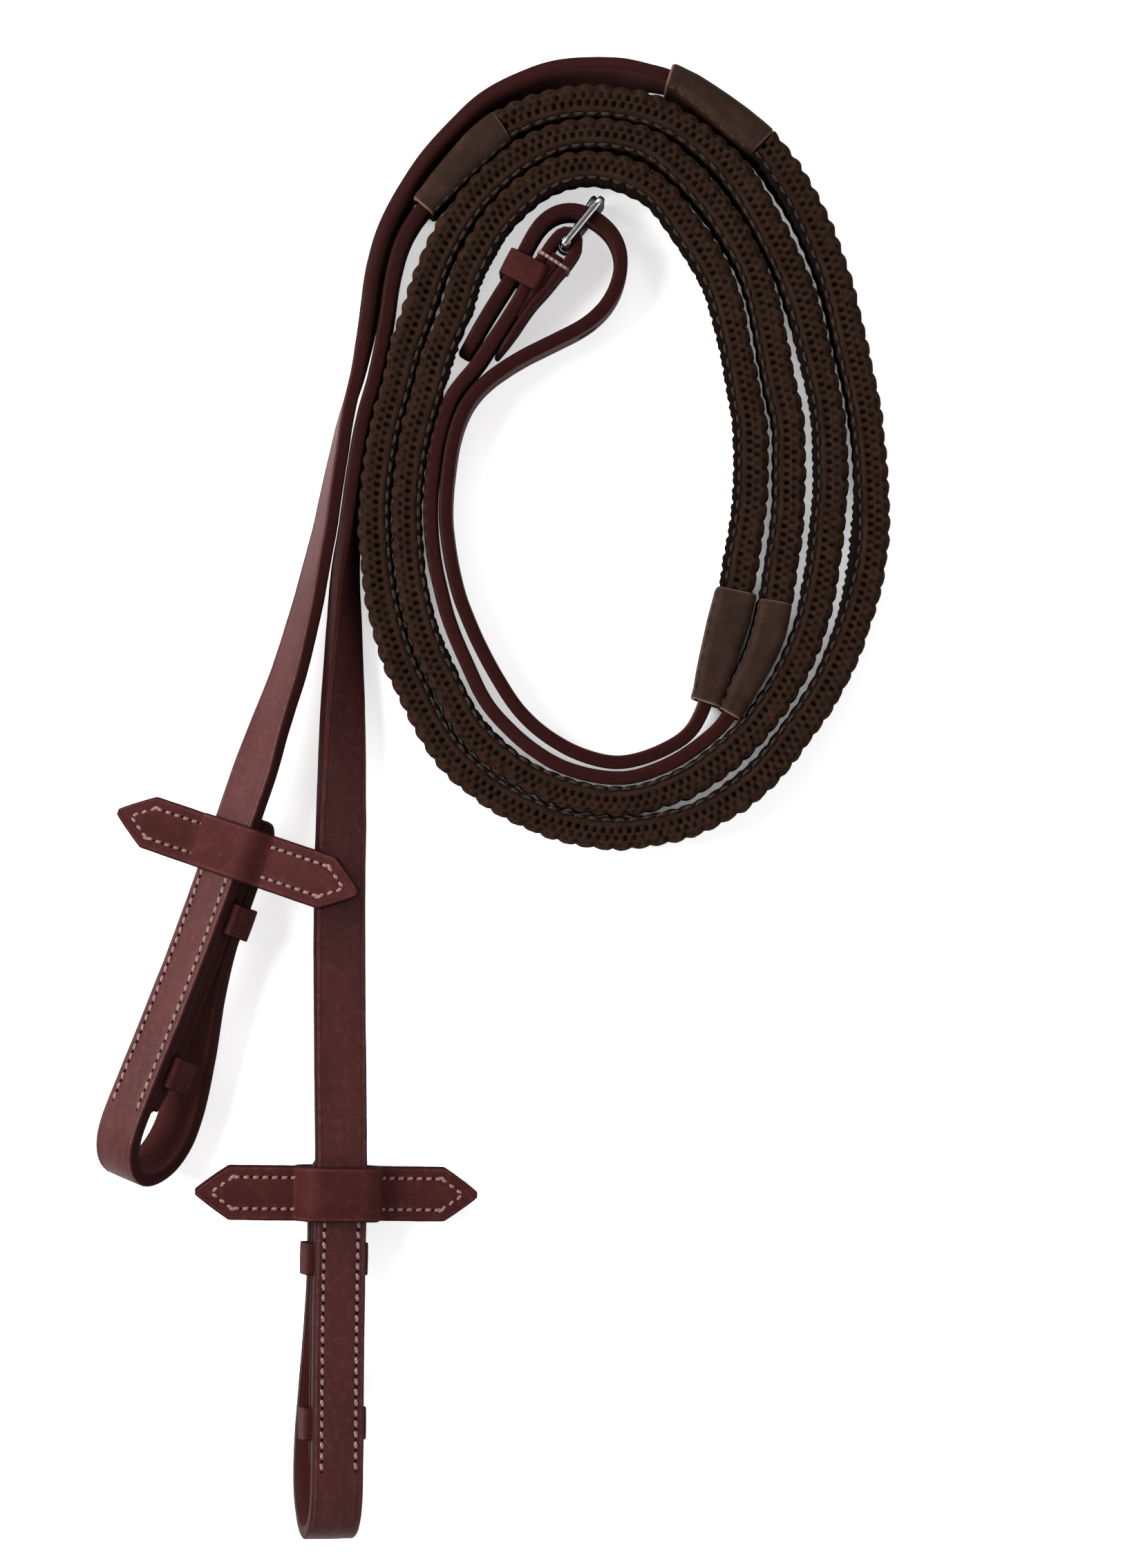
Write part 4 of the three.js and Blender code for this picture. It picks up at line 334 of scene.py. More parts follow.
    -2.762, 188.241, 11.000, 0.0000, -0.0000, 1.0000, 4.20, 1079.81,
    0.079, 191.058, 11.000, 0.0000, -0.0000, 1.0000, 4.20, 1083.81,
    3.073, 193.711, 11.000, 0.0000, -0.0000, 1.0000, 4.20, 1087.82,
    6.223, 196.177, 11.000, 0.0000, -0.0000, 1.0000, 4.20, 1091.82,
    9.539, 198.415, 11.000, 0.0000, -0.0000, 1.0000, 4.20, 1095.82,
    13.018, 200.389, 11.000, 0.0000, -0.0000, 1.0000, 4.20, 1099.82,
    15.722, 201.690, 11.000, 0.0000, -0.0000, 1.0000, 4.20, 1102.82,
    18.504, 202.813, 11.000, 0.0000, -0.0000, 1.0000, 4.20, 1105.82,
    21.367, 203.710, 11.000, 0.0000, -0.0000, 1.0000, 4.20, 1108.82,
    24.295, 204.363, 11.000, 0.0000, -0.0000, 1.0000, 4.20, 1111.82,
    27.268, 204.767, 11.000, 0.0000, -0.0000, 1.0000, 4.20, 1114.82,
    30.264, 204.925, 11.000, 0.0000, -0.0000, 1.0000, 4.20, 1117.82,
    33.263, 204.854, 11.000, -0.0000, -0.0000, 1.0000, 4.20, 1120.83,
    36.251, 204.584, 11.000, -0.0000, -0.0000, 1.0000, 4.20, 1123.83,
    40.203, 203.958, 11.000, -0.0000, -0.0000, 1.0000, 4.20, 1127.83,
    43.127, 203.288, 11.000, -0.0000, -0.0000, 1.0000, 4.20, 1130.83,
    45.989, 202.388, 11.000, -0.0000, -0.0000, 1.0000, 4.20, 1133.83,
    47.835, 201.619, 11.000, -0.0000, -0.0000, 1.0000, 4.20, 1135.83,
    49.621, 200.718, 11.000, -0.0000, -0.0000, 1.0000, 4.20, 1137.83,
    51.335, 199.687, 11.000, -0.0000, -0.0000, 1.0000, 4.20, 1139.83,
    53.774, 197.941, 11.000, -0.0000, -0.0000, 1.0000, 4.20, 1142.83,
    56.081, 196.022, 11.000, -0.0000, -0.0000, 1.0000, 4.20, 1145.83,
    59.020, 193.307, 11.000, -0.0000, -0.0000, 1.0000, 4.20, 1149.83,
    61.839, 190.469, 11.000, -0.0000, -0.0000, 1.0000, 4.20, 1153.83,
    64.553, 187.528, 11.000, -0.0000, -0.0000, 1.0000, 4.20, 1157.84,
    67.154, 184.488, 11.000, -0.0000, -0.0000, 1.0000, 4.20, 1161.84,
    69.628, 181.344, 11.000, -0.0000, -0.0000, 1.0000, 4.20, 1165.84,
    71.957, 178.091, 11.000, -0.0000, -0.0000, 1.0000, 4.20, 1169.84,
    74.132, 174.733, 11.000, -0.0000, -0.0000, 1.0000, 4.20, 1173.84,
    76.153, 171.280, 11.000, -0.0000, -0.0000, 1.0000, 4.20, 1177.84,
    78.022, 167.742, 11.000, -0.0000, -0.0000, 1.0000, 4.20, 1181.84,
    79.733, 164.125, 11.000, -0.0000, -0.0000, 1.0000, 4.20, 1185.84,
    81.247, 160.422, 11.000, -0.0000, -0.0000, 1.0000, 4.20, 1189.85,
    82.507, 156.626, 11.000, -0.0000, -0.0000, 1.0000, 4.20, 1193.85,
    83.504, 152.751, 11.000, -0.0000, -0.0000, 1.0000, 4.20, 1197.85,
    84.307, 148.832, 11.000, -0.0000, -0.0000, 1.0000, 4.20, 1201.85,
    85.031, 144.896, 11.000, -0.0000, -0.0000, 1.0000, 4.20, 1205.85,
    85.774, 140.965, 11.000, -0.0000, -0.0000, 1.0000, 4.20, 1209.85,
    86.552, 137.040, 11.000, -0.0000, -0.0000, 1.0000, 4.20, 1213.85,
    87.312, 133.111, 11.000, -0.0000, -0.0000, 1.0000, 4.20, 1217.85,
    88.048, 129.178, 11.000, -0.0000, -0.0000, 1.0000, 4.20, 1221.86,
    88.884, 125.266, 11.000, -0.0000, -0.0000, 1.0000, 4.20, 1225.86,
    89.869, 121.388, 11.000, -0.0000, -0.0000, 1.0000, 4.20, 1229.86,
    90.732, 117.481, 11.000, -0.0000, -0.0000, 1.0000, 4.20, 1233.86,
    91.003, 115.499, 11.000, -0.0000, -0.0000, 1.0000, 4.20, 1235.86,
    91.214, 112.506, 11.000, -0.0000, -0.0000, 1.0000, 4.20, 1238.86,
    91.251, 108.505, 11.000, -0.0000, -0.0000, 1.0000, 4.20, 1242.86,
    91.253, 104.504, 11.000, -0.0000, -0.0000, 1.0000, 4.20, 1246.86,
    91.260, 100.503, 11.000, -0.0000, 0.0000, 1.0000, 4.20, 1250.87,
    91.225, 96.502, 11.000, -0.0000, 0.0000, 1.0000, 4.20, 1254.87,
    91.133, 92.502, 11.000, -0.0000, 0.0000, 1.0000, 4.20, 1258.87,
    90.958, 88.504, 11.000, -0.0000, 0.0000, 1.0000, 4.20, 1262.87,
    90.655, 84.515, 11.000, -0.0000, 0.0000, 1.0000, 4.20, 1266.87,
    90.217, 80.538, 11.000, -0.0000, 0.0000, 1.0000, 4.20, 1270.87,
    89.685, 76.572, 11.000, -0.0000, 0.0000, 1.0000, 4.20, 1274.87,
    89.105, 72.613, 11.000, -0.0000, 0.0000, 1.0000, 4.20, 1278.87,
    88.521, 68.655, 11.000, -0.0000, 0.0000, 1.0000, 4.20, 1282.88,
    87.960, 64.693, 11.000, -0.0000, 0.0000, 1.0000, 4.20, 1286.88,
    87.380, 60.734, 11.000, -0.0000, 0.0000, 1.0000, 4.20, 1290.88,
    86.691, 56.793, 11.000, -0.0000, 0.0000, 1.0000, 4.20, 1294.88,
    85.813, 52.890, 11.000, -0.0000, 0.0000, 1.0000, 4.20, 1298.88,
    84.681, 49.052, 11.000, -0.0000, 0.0000, 1.0000, 4.20, 1302.88,
    83.274, 45.308, 11.000, -0.0000, 0.0000, 1.0000, 4.20, 1306.88,
    81.618, 41.666, 11.000, -0.0000, 0.0000, 1.0000, 4.20, 1310.88,
    79.774, 38.115, 11.000, -0.0000, 0.0000, 1.0000, 4.20, 1314.89,
    77.888, 34.586, 11.000, -0.0000, 0.0000, 1.0000, 4.20, 1318.89,
    76.099, 31.007, 11.000, -0.0000, 0.0000, 1.0000, 4.20, 1322.89,
    74.227, 27.471, 11.000, -0.0000, 0.0000, 1.0000, 4.20, 1326.89,
    72.728, 24.873, 11.000, -0.0000, 0.0000, 1.0000, 4.20, 1329.89,
    71.561, 23.248, 11.000, -0.0000, 0.0000, 1.0000, 4.20, 1331.89,
    70.267, 21.723, 11.000, -0.0000, 0.0000, 1.0000, 4.20, 1333.89,
    68.821, 20.343, 11.000, -0.0000, 0.0000, 1.0000, 4.20, 1335.89,
    65.748, 17.780, 11.000, -0.0000, 0.0000, 1.0000, 4.20, 1339.89,
    62.583, 15.332, 11.000, -0.0000, 0.0000, 1.0000, 4.20, 1343.89,
    59.293, 13.056, 11.000, -0.0000, 0.0000, 1.0000, 4.20, 1347.89,
    56.707, 11.535, 11.000, -0.0000, 0.0000, 1.0000, 4.20, 1350.90,
    53.108, 9.789, 11.000, -0.0000, 0.0000, 1.0000, 4.20, 1354.90,
    49.395, 8.300, 11.000, -0.0000, 0.0000, 1.0000, 4.20, 1358.90,
    46.546, 7.359, 11.000, -0.0000, 0.0000, 1.0000, 4.20, 1361.90,
    43.633, 6.640, 11.000, -0.0000, 0.0000, 1.0000, 4.20, 1364.90,
    41.658, 6.327, 11.000, -0.0000, 0.0000, 1.0000, 4.20, 1366.90,
    39.665, 6.157, 11.000, -0.0000, 0.0000, 1.0000, 4.20, 1368.90,
    37.665, 6.136, 11.000, 0.0000, 0.0000, 1.0000, 4.20, 1370.90,
    34.673, 6.358, 11.000, 0.0000, 0.0000, 1.0000, 4.20, 1373.90,
    31.706, 6.807, 11.000, 0.0000, 0.0000, 1.0000, 4.20, 1376.90,
    27.797, 7.656, 11.000, 0.0000, 0.0000, 1.0000, 4.20, 1380.90,
    23.966, 8.805, 11.000, 0.0000, 0.0000, 1.0000, 4.20, 1384.91,
    21.173, 9.901, 11.000, 0.0000, 0.0000, 1.0000, 4.20, 1387.91,
    18.469, 11.202, 11.000, 0.0000, 0.0000, 1.0000, 4.20, 1390.91,
    15.866, 12.693, 11.000, 0.0000, 0.0000, 1.0000, 4.20, 1393.91,
    13.361, 14.345, 11.000, 0.0000, 0.0000, 1.0000, 4.20, 1396.91,
    10.174, 16.763, 11.000, 0.0000, 0.0000, 1.0000, 4.20, 1400.91,
    7.161, 19.395, 11.000, 0.0000, 0.0000, 1.0000, 4.20, 1404.91,
    4.297, 22.188, 11.000, 0.0000, 0.0000, 1.0000, 4.20, 1408.91,
    1.545, 25.092, 11.000, 0.0000, 0.0000, 1.0000, 4.20, 1412.91,
    -1.020, 28.162, 11.000, 0.0000, 0.0000, 1.0000, 4.20, 1416.91,
    -2.169, 29.799, 11.000, 0.0000, 0.0000, 1.0000, 4.20, 1418.92,
    -3.707, 32.375, 11.000, 0.0000, 0.0000, 1.0000, 4.20, 1421.92,
    -5.449, 35.977, 11.000, 0.0000, 0.0000, 1.0000, 4.20, 1425.92,
    -7.070, 39.635, 11.000, 0.0000, 0.0000, 1.0000, 4.20, 1429.92,
    -8.706, 43.286, 11.000, 0.0000, 0.0000, 1.0000, 4.20, 1433.92,
    -10.347, 46.936, 11.000, 0.0000, 0.0000, 1.0000, 4.20, 1437.92,
    -11.922, 50.613, 11.000, 0.0000, 0.0000, 1.0000, 4.20, 1441.92,
    -13.327, 54.359, 11.000, 0.0000, 0.0000, 1.0000, 4.20, 1445.92,
    -14.496, 58.186, 11.000, 0.0000, 0.0000, 1.0000, 4.20, 1449.92,
    -15.495, 62.060, 11.000, 0.0000, 0.0000, 1.0000, 4.20, 1453.93,
    -16.440, 65.948, 11.000, 0.0000, 0.0000, 1.0000, 4.20, 1457.93,
    -17.347, 69.845, 11.000, 0.0000, 0.0000, 1.0000, 4.20, 1461.93,
    -18.120, 73.771, 11.000, 0.0000, 0.0000, 1.0000, 4.20, 1465.93,
    -18.668, 77.734, 11.000, 0.0000, 0.0000, 1.0000, 4.20, 1469.93,
    -19.003, 81.721, 11.000, 0.0000, 0.0000, 1.0000, 4.20, 1473.93,
    -19.210, 85.716, 11.000, 0.0000, 0.0000, 1.0000, 4.20, 1477.93,
    -19.284, 89.717, 11.000, 0.0000, -0.0000, 1.0000, 4.20, 1481.93,
    -19.148, 93.715, 11.000, 0.0000, -0.0000, 1.0000, 4.20, 1485.94,
    -18.832, 97.704, 11.000, 0.0000, -0.0000, 1.0000, 4.20, 1489.94,
    -18.391, 101.680, 11.000, 0.0000, -0.0000, 1.0000, 4.20, 1493.94,
    -17.846, 105.644, 11.000, 0.0000, -0.0000, 1.0000, 4.20, 1497.94,
    -17.141, 109.582, 11.000, 0.0000, -0.0000, 1.0000, 4.20, 1501.94,
    -16.216, 113.475, 11.000, 0.0000, -0.0000, 1.0000, 4.20, 1505.94,
    -15.116, 117.322, 11.000, 0.0000, -0.0000, 1.0000, 4.20, 1509.94,
    -13.841, 121.112, 11.000, 0.0000, -0.0000, 1.0000, 4.20, 1513.94,
    -13.043, 122.947, 11.000, 0.0000, -0.0000, 1.0000, 4.20, 1515.95,
    -12.080, 124.699, 11.000, 0.0000, -0.0000, 1.0000, 4.20, 1517.95,
    -10.934, 126.338, 11.000, 0.0000, -0.0000, 1.0000, 4.20, 1519.95,
    -9.051, 128.674, 11.000, 0.0000, -0.0000, 1.0000, 4.20, 1522.95,
    -6.456, 131.719, 11.000, 0.0000, -0.0000, 1.0000, 4.20, 1526.95,
    -4.619, 134.091, 11.000, 0.0000, -0.0000, 1.0000, 4.20, 1529.95,
    -2.373, 137.402, 11.000, 0.0000, -0.0000, 1.0000, 4.20, 1533.95,
    -0.175, 140.745, 11.000, 0.0000, -0.0000, 1.0000, 4.20, 1537.95,
    2.088, 144.046, 11.000, 0.0000, -0.0000, 1.0000, 4.20, 1541.95,
    4.286, 147.389, 11.000, 0.0000, -0.0000, 1.0000, 4.16, 1545.95,
    6.350, 150.816, 11.000, 0.0000, -0.0000, 1.0000, 3.99, 1549.96,
    8.320, 154.299, 11.000, 0.0000, -0.0000, 1.0000, 3.82, 1553.96,
    10.144, 157.860, 11.000, 0.0000, -0.0000, 1.0000, 3.66, 1557.96,
    11.986, 161.411, 11.000, 0.0000, -0.0000, 1.0000, 3.49, 1561.96,
    14.083, 164.818, 11.000, 0.0000, -0.0000, 1.0000, 3.32, 1565.96,
    16.314, 168.140, 11.000, 0.0000, -0.0000, 1.0000, 3.19, 1569.96,
    18.572, 171.443, 11.000, 0.0000, -0.0000, 1.0000, 3.15, 1573.96,
    19.824, 173.001, 11.000, 0.0000, -0.0000, 1.0000, 3.13, 1575.96,
    21.293, 174.354, 11.000, 0.0000, -0.0000, 1.0000, 3.11, 1577.96,
    23.207, 174.750, 11.000, -0.0000, -0.0000, 1.0000, 3.09, 1579.95,
    25.060, 174.066, 11.000, -0.0000, -0.0000, 1.0000, 3.07, 1581.94,
    26.257, 172.496, 11.000, -0.0000, -0.0000, 1.0000, 3.05, 1583.94,
    26.183, 170.532, 11.000, -0.0000, 0.0000, 1.0000, 3.03, 1585.93,
    25.418, 168.689, 11.000, -0.0000, 0.0000, 1.0000, 3.01, 1587.93,
    24.346, 167.000, 11.000, -0.0000, 0.0000, 1.0000, 2.96, 1589.93,
    22.570, 164.582, 11.000, -0.0000, 0.0000, 1.0000, 2.83, 1592.93,
    19.972, 161.539, 11.000, -0.0000, 0.0000, 1.0000, 2.66, 1596.93,
    17.591, 158.324, 11.000, -0.0000, 0.0000, 1.0000, 2.49, 1600.93,
    16.329, 156.773, 11.000, -0.0000, 0.0000, 1.0000, 2.40, 1602.93,
    13.624, 153.825, 11.000, -0.0000, 0.0000, 1.0000, 2.35, 1606.93,
    11.723, 151.504, 11.000, -0.0000, 0.0000, 1.0000, 2.31, 1609.93,
    9.447, 148.214, 11.000, -0.0000, 0.0000, 1.0000, 2.26, 1613.93,
    7.225, 144.887, 11.000, -0.0000, 0.0000, 1.0000, 2.21, 1617.93,
    4.981, 141.574, 11.000, -0.0000, 0.0000, 1.0000, 1.90, 1621.93,
    2.727, 138.268, 11.000, -0.0000, 0.0000, 1.0000, 1.50, 1625.94,
    1.003, 135.811, 11.000, -0.0000, 0.0000, 1.0000, 1.20, 1628.94,
]).reshape(-1, 8)
RIGHT_ROWS = np.array([
    -48.913, -110.327, 10.365, 0.9558, -0.0348, -0.2921, 4.20, 0.00,
    -49.017, -114.820, 10.561, 0.9558, -0.0348, -0.2921, 4.20, 4.50,
    -49.120, -119.313, 10.757, 0.9558, -0.0348, -0.2921, 4.20, 9.00,
    -49.224, -123.806, 10.955, 0.9558, -0.0348, -0.2921, 4.20, 13.50,
    -49.322, -128.298, 11.169, 0.9558, -0.0348, -0.2921, 4.20, 17.99,
    -49.413, -132.789, 11.406, 0.9558, -0.0348, -0.2921, 4.20, 22.49,
    -49.490, -137.278, 11.689, 0.9558, -0.0348, -0.2921, 4.20, 26.99,
    -49.573, -141.768, 11.953, 0.9558, -0.0348, -0.2921, 4.20, 31.49,
    -49.671, -146.260, 12.168, 0.9558, -0.0348, -0.2921, 4.20, 35.99,
    -49.813, -150.755, 12.239, 0.9558, -0.0348, -0.2921, 4.20, 40.49,
    -50.021, -154.742, 12.031, 0.9558, -0.0348, -0.2921, 4.20, 44.48,
    -50.322, -159.207, 11.580, 0.9558, -0.0348, -0.2921, 4.20, 48.98,
    -50.671, -163.650, 10.969, 0.9558, -0.0348, -0.2921, 4.20, 53.48,
    -51.068, -168.063, 10.195, 0.9558, -0.0348, -0.2921, 4.20, 57.98,
    -51.487, -172.461, 9.347, 0.9558, -0.0348, -0.2921, 4.20, 62.48,
    -51.930, -176.840, 8.420, 0.9558, -0.0348, -0.2921, 4.20, 66.98,
    -52.384, -181.210, 7.455, 0.9558, -0.0348, -0.2921, 4.20, 71.47,
    -52.810, -185.603, 6.586, 0.9558, -0.0348, -0.2921, 4.20, 75.97,
    -53.211, -190.014, 5.800, 0.9558, -0.0348, -0.2921, 4.20, 80.47,
    -53.580, -194.445, 5.119, 0.9558, -0.0348, -0.2921, 4.20, 84.97,
    -53.897, -198.903, 4.612, 0.9558, -0.0348, -0.2921, 4.20, 89.47,
    -54.164, -203.380, 4.272, 0.9558, -0.0348, -0.2921, 4.20, 93.97,
    -54.284, -206.375, 4.236, 0.9558, -0.0348, -0.2921, 4.20, 96.96,
    -54.345, -209.369, 4.396, 0.9558, -0.0348, -0.2921, 4.20, 99.96,
    -54.344, -211.353, 4.635, 0.9558, -0.0348, -0.2921, 4.20, 101.96,
    -54.308, -212.823, 4.927, 0.9558, -0.0348, -0.2921, 4.20, 103.46,
    -54.239, -214.266, 5.326, 0.9558, -0.0348, -0.2921, 4.20, 104.96,
    -54.141, -215.681, 5.813, 0.9558, -0.0348, -0.2921, 4.20, 106.46,
    -54.015, -217.059, 6.390, 0.9558, -0.0348, -0.2921, 4.20, 107.96,
    -53.859, -218.390, 7.061, 0.9558, -0.0348, -0.2921, 4.20, 109.46,
    -53.669, -219.661, 7.834, 0.9558, -0.0348, -0.2921, 4.20, 110.96,
    -53.446, -220.858, 8.707, 0.9558, -0.0348, -0.2921, 4.20, 112.46,
    -53.195, -221.987, 9.661, 0.9558, -0.0348, -0.2921, 4.20, 113.96,
    -52.917, -223.034, 10.697, 0.9558, -0.0348, -0.2921, 4.20, 115.46,
    -52.606, -223.972, 11.824, 0.9558, -0.0348, -0.2921, 4.20, 116.96,
    -52.262, -224.771, 13.044, 0.9558, -0.0348, -0.2921, 4.20, 118.46,
    -51.893, -225.442, 14.333, 0.9558, -0.0348, -0.2921, 4.20, 119.96,
    -51.500, -225.962, 15.682, 0.9558, -0.0348, -0.2921, 4.20, 121.45,
    -51.082, -226.269, 17.086, 0.9558, -0.0348, -0.2921, 4.20, 122.95,
    -50.644, -226.248, 18.516, 0.9558, -0.0348, -0.2921, 4.20, 124.45,
    -50.207, -225.908, 19.907, 0.9558, -0.0348, -0.2921, 4.20, 125.95,
    -49.783, -225.334, 21.224, 0.9558, -0.0348, -0.2921, 4.20, 127.45,
    -49.381, -224.569, 22.448, 0.9558, -0.0348, -0.2921, 4.20, 128.95,
    -49.015, -223.604, 23.532, 0.9558, -0.0348, -0.2921, 4.20, 130.45,
    -48.691, -222.470, 24.457, 0.9558, -0.0348, -0.2921, 4.20, 131.95,
    -48.406, -221.225, 25.241, 0.9558, -0.0348, -0.2921, 4.20, 133.45,
    -48.159, -219.898, 25.892, 0.9558, -0.0348, -0.2921, 4.20, 134.95,
    -47.957, -218.498, 26.386, 0.9558, -0.0348, -0.2921, 4.20, 136.45,
    -47.798, -217.048, 26.731, 0.9558, -0.0348, -0.2921, 4.20, 137.95,
    -47.674, -215.572, 26.961, 0.9558, -0.0348, -0.2921, 4.20, 139.44,
    -47.546, -213.586, 27.146, 0.9558, -0.0348, -0.2921, 4.20, 141.44,
    -47.481, -212.089, 27.180, 0.9558, -0.0348, -0.2921, 4.20, 142.94,
    -47.436, -210.092, 27.088, 0.9558, -0.0348, -0.2921, 4.20, 144.94,
    -47.398, -205.613, 26.678, 0.9558, -0.0348, -0.2921, 4.20, 149.44,
    -47.377, -201.139, 26.215, 0.9558, -0.0348, -0.2921, 4.20, 153.94,
    -47.377, -196.672, 25.683, 0.9558, -0.0348, -0.2921, 4.20, 158.44,
    -47.377, -192.205, 25.148, 0.9558, -0.0348, -0.2921, 4.20, 162.94,
    -47.374, -187.737, 24.625, 0.9558, -0.0348, -0.2921, 4.20, 167.43,
    -47.372, -183.270, 24.099, 0.9558, -0.0348, -0.2921, 4.20, 171.93,
    -47.367, -178.801, 23.583, 0.9558, -0.0348, -0.2921, 4.20, 176.43,
    -47.355, -174.330, 23.090, 0.9558, -0.0348, -0.2921, 4.20, 180.93,
    -47.334, -169.856, 22.625, 0.9558, -0.0348, -0.2921, 4.20, 185.43,
    -47.307, -165.379, 22.182, 0.9558, -0.0348, -0.2921, 4.20, 189.93,
    -47.272, -160.901, 21.761, 0.9558, -0.0348, -0.2921, 4.20, 194.42,
    -47.230, -156.420, 21.364, 0.9558, -0.0348, -0.2921, 4.20, 198.92,
    -47.180, -151.937, 20.996, 0.9558, -0.0348, -0.2921, 4.20, 203.42,
    -47.119, -147.452, 20.658, 0.9558, -0.0348, -0.2921, 4.20, 207.92,
    -47.051, -142.965, 20.348, 0.9558, -0.0348, -0.2921, 4.20, 212.42,
    -46.974, -138.476, 20.063, 0.9558, -0.0348, -0.2921, 4.20, 216.92,
    -46.891, -133.986, 19.801, 0.9558, -0.0348, -0.2921, 4.20, 221.41,
    -46.802, -129.495, 19.558, 0.9558, -0.0348, -0.2921, 4.20, 225.91,
    -46.706, -125.004, 19.336, 0.9558, -0.0348, -0.2921, 4.20, 230.41,
    -46.611, -121.009, 19.131, 0.9556, -0.0401, -0.2920, 4.20, 234.41,
    -46.580, -117.011, 18.989, 0.9564, -0.0013, -0.2921, 4.20, 238.41,
    -46.626, -113.013, 18.814, 0.9564, -0.0053, -0.2921, 4.20, 242.42,
    -46.655, -109.014, 18.639, 0.9564, -0.0059, -0.2921, 4.20, 246.42,
    -46.687, -105.016, 18.464, 0.9564, -0.0039, -0.2921, 4.20, 250.42,
    -46.727, -101.018, 18.290, 0.9564, -0.0027, -0.2921, 4.20, 254.42,
    -46.771, -97.019, 18.115, 0.9564, -0.0019, -0.2921, 4.20, 258.43,
    -46.818, -93.021, 17.940, 0.9564, -0.0011, -0.2921, 4.20, 262.43,
    -46.868, -89.023, 17.766, 0.9563, -0.0004, -0.2923, 4.20, 266.43,
    -46.920, -85.024, 17.591, 0.9559, -0.0007, -0.2938, 4.20, 270.43,
    -46.971, -81.026, 17.416, 0.9549, -0.0006, -0.2969, 4.20, 274.44,
    -47.022, -77.028, 17.241, 0.9538, -0.0012, -0.3005, 4.20, 278.44,
    -47.070, -73.029, 17.067, 0.9526, -0.0024, -0.3042, 4.20, 282.44,
    -47.115, -69.031, 16.892, 0.9513, -0.0033, -0.3084, 4.20, 286.44,
    -47.156, -65.033, 16.717, 0.9494, -0.0043, -0.3142, 4.20, 290.44,
    -47.195, -61.034, 16.542, 0.9470, -0.0048, -0.3212, 4.20, 294.45,
    -47.233, -57.036, 16.368, 0.9445, -0.0061, -0.3283, 4.20, 298.45,
    -47.263, -53.037, 16.193, 0.9420, -0.0089, -0.3354, 4.20, 302.45,
    -47.281, -49.039, 16.018, 0.9394, -0.0118, -0.3425, 4.20, 306.45,
    -47.291, -45.040, 15.843, 0.9368, -0.0139, -0.3496, 4.20, 310.46,
    -47.294, -41.042, 15.669, 0.9341, -0.0152, -0.3566, 4.20, 314.46,
    -47.294, -37.043, 15.494, 0.9314, -0.0167, -0.3637, 4.20, 318.46,
    -47.286, -33.045, 15.319, 0.9282, -0.0192, -0.3716, 4.20, 322.46,
    -47.270, -29.046, 15.145, 0.9231, -0.0207, -0.3841, 4.20, 326.47,
    -47.249, -25.047, 14.969, 0.9157, -0.0249, -0.4012, 4.20, 330.47,
    -47.205, -21.049, 14.778, 0.9073, -0.0356, -0.4190, 4.20, 334.47,
    -47.114, -17.052, 14.567, 0.8983, -0.0491, -0.4367, 4.20, 338.48,
    -46.994, -13.055, 14.348, 0.8893, -0.0516, -0.4544, 4.20, 342.48,
    -46.896, -9.057, 14.129, 0.8792, -0.0383, -0.4748, 4.20, 346.49,
    -46.865, -5.059, 13.910, 0.8660, -0.0359, -0.4988, 4.20, 350.49,
    -46.821, -1.061, 13.691, 0.8507, -0.0390, -0.5241, 4.20, 354.49,
    -46.770, 2.938, 13.472, 0.8348, -0.0410, -0.5490, 4.20, 358.50,
    -46.717, 6.936, 13.253, 0.8182, -0.0420, -0.5734, 4.20, 362.50,
    -46.665, 10.934, 13.044, 0.8000, -0.0397, -0.5986, 4.20, 366.51,
    -46.615, 14.932, 12.858, 0.7790, -0.0368, -0.6259, 4.20, 370.51,
    -46.568, 18.931, 12.688, 0.7555, -0.0366, -0.6541, 4.20, 374.51,
    -46.520, 22.929, 12.519, 0.7308, -0.0380, -0.6816, 4.20, 378.52,
    -46.467, 26.927, 12.350, 0.7041, -0.0398, -0.7090, 4.20, 382.52,
    -46.408, 30.925, 12.181, 0.6724, -0.0419, -0.7390, 4.20, 386.52,
    -46.342, 34.923, 12.012, 0.6358, -0.0434, -0.7706, 4.20, 390.52,
    -46.273, 38.921, 11.842, 0.5973, -0.0441, -0.8008, 4.20, 394.52,
    -46.205, 42.919, 11.673, 0.5592, -0.0446, -0.8278, 4.20, 398.53,
    -46.137, 46.917, 11.504, 0.5219, -0.0451, -0.8518, 4.20, 402.53,
    -46.069, 50.916, 11.338, 0.4843, -0.0404, -0.8740, 4.20, 406.53,
    -46.013, 54.914, 11.217, 0.4459, -0.0254, -0.8947, 4.20, 410.53,
    -45.967, 59.912, 11.145, 0.3965, -0.0122, -0.9180, 4.20, 415.53,
    -45.877, 64.909, 11.098, 0.3456, -0.0192, -0.9382, 4.20, 420.53,
    -45.634, 69.901, 11.052, 0.2949, -0.0284, -0.9551, 4.20, 425.53,
    -45.233, 74.883, 11.013, 0.2437, -0.0273, -0.9695, 4.20, 430.52,
    -44.752, 79.858, 11.000, 0.1873, -0.0187, -0.9821, 4.20, 435.52,
    -44.282, 84.834, 11.000, 0.1338, -0.0119, -0.9909, 4.20, 440.52,
    -43.867, 89.815, 11.000, 0.0906, -0.0074, -0.9959, 4.20, 445.52,
    -43.438, 94.795, 11.000, 0.0520, -0.0050, -0.9986, 4.20, 450.52,
    -42.910, 99.765, 11.000, 0.0268, -0.0032, -0.9996, 4.20, 455.52,
    -42.265, 104.722, 11.000, 0.0127, -0.0018, -0.9999, 4.20, 460.51,
    -41.461, 109.654, 11.000, 0.0027, -0.0005, -1.0000, 4.20, 465.51,
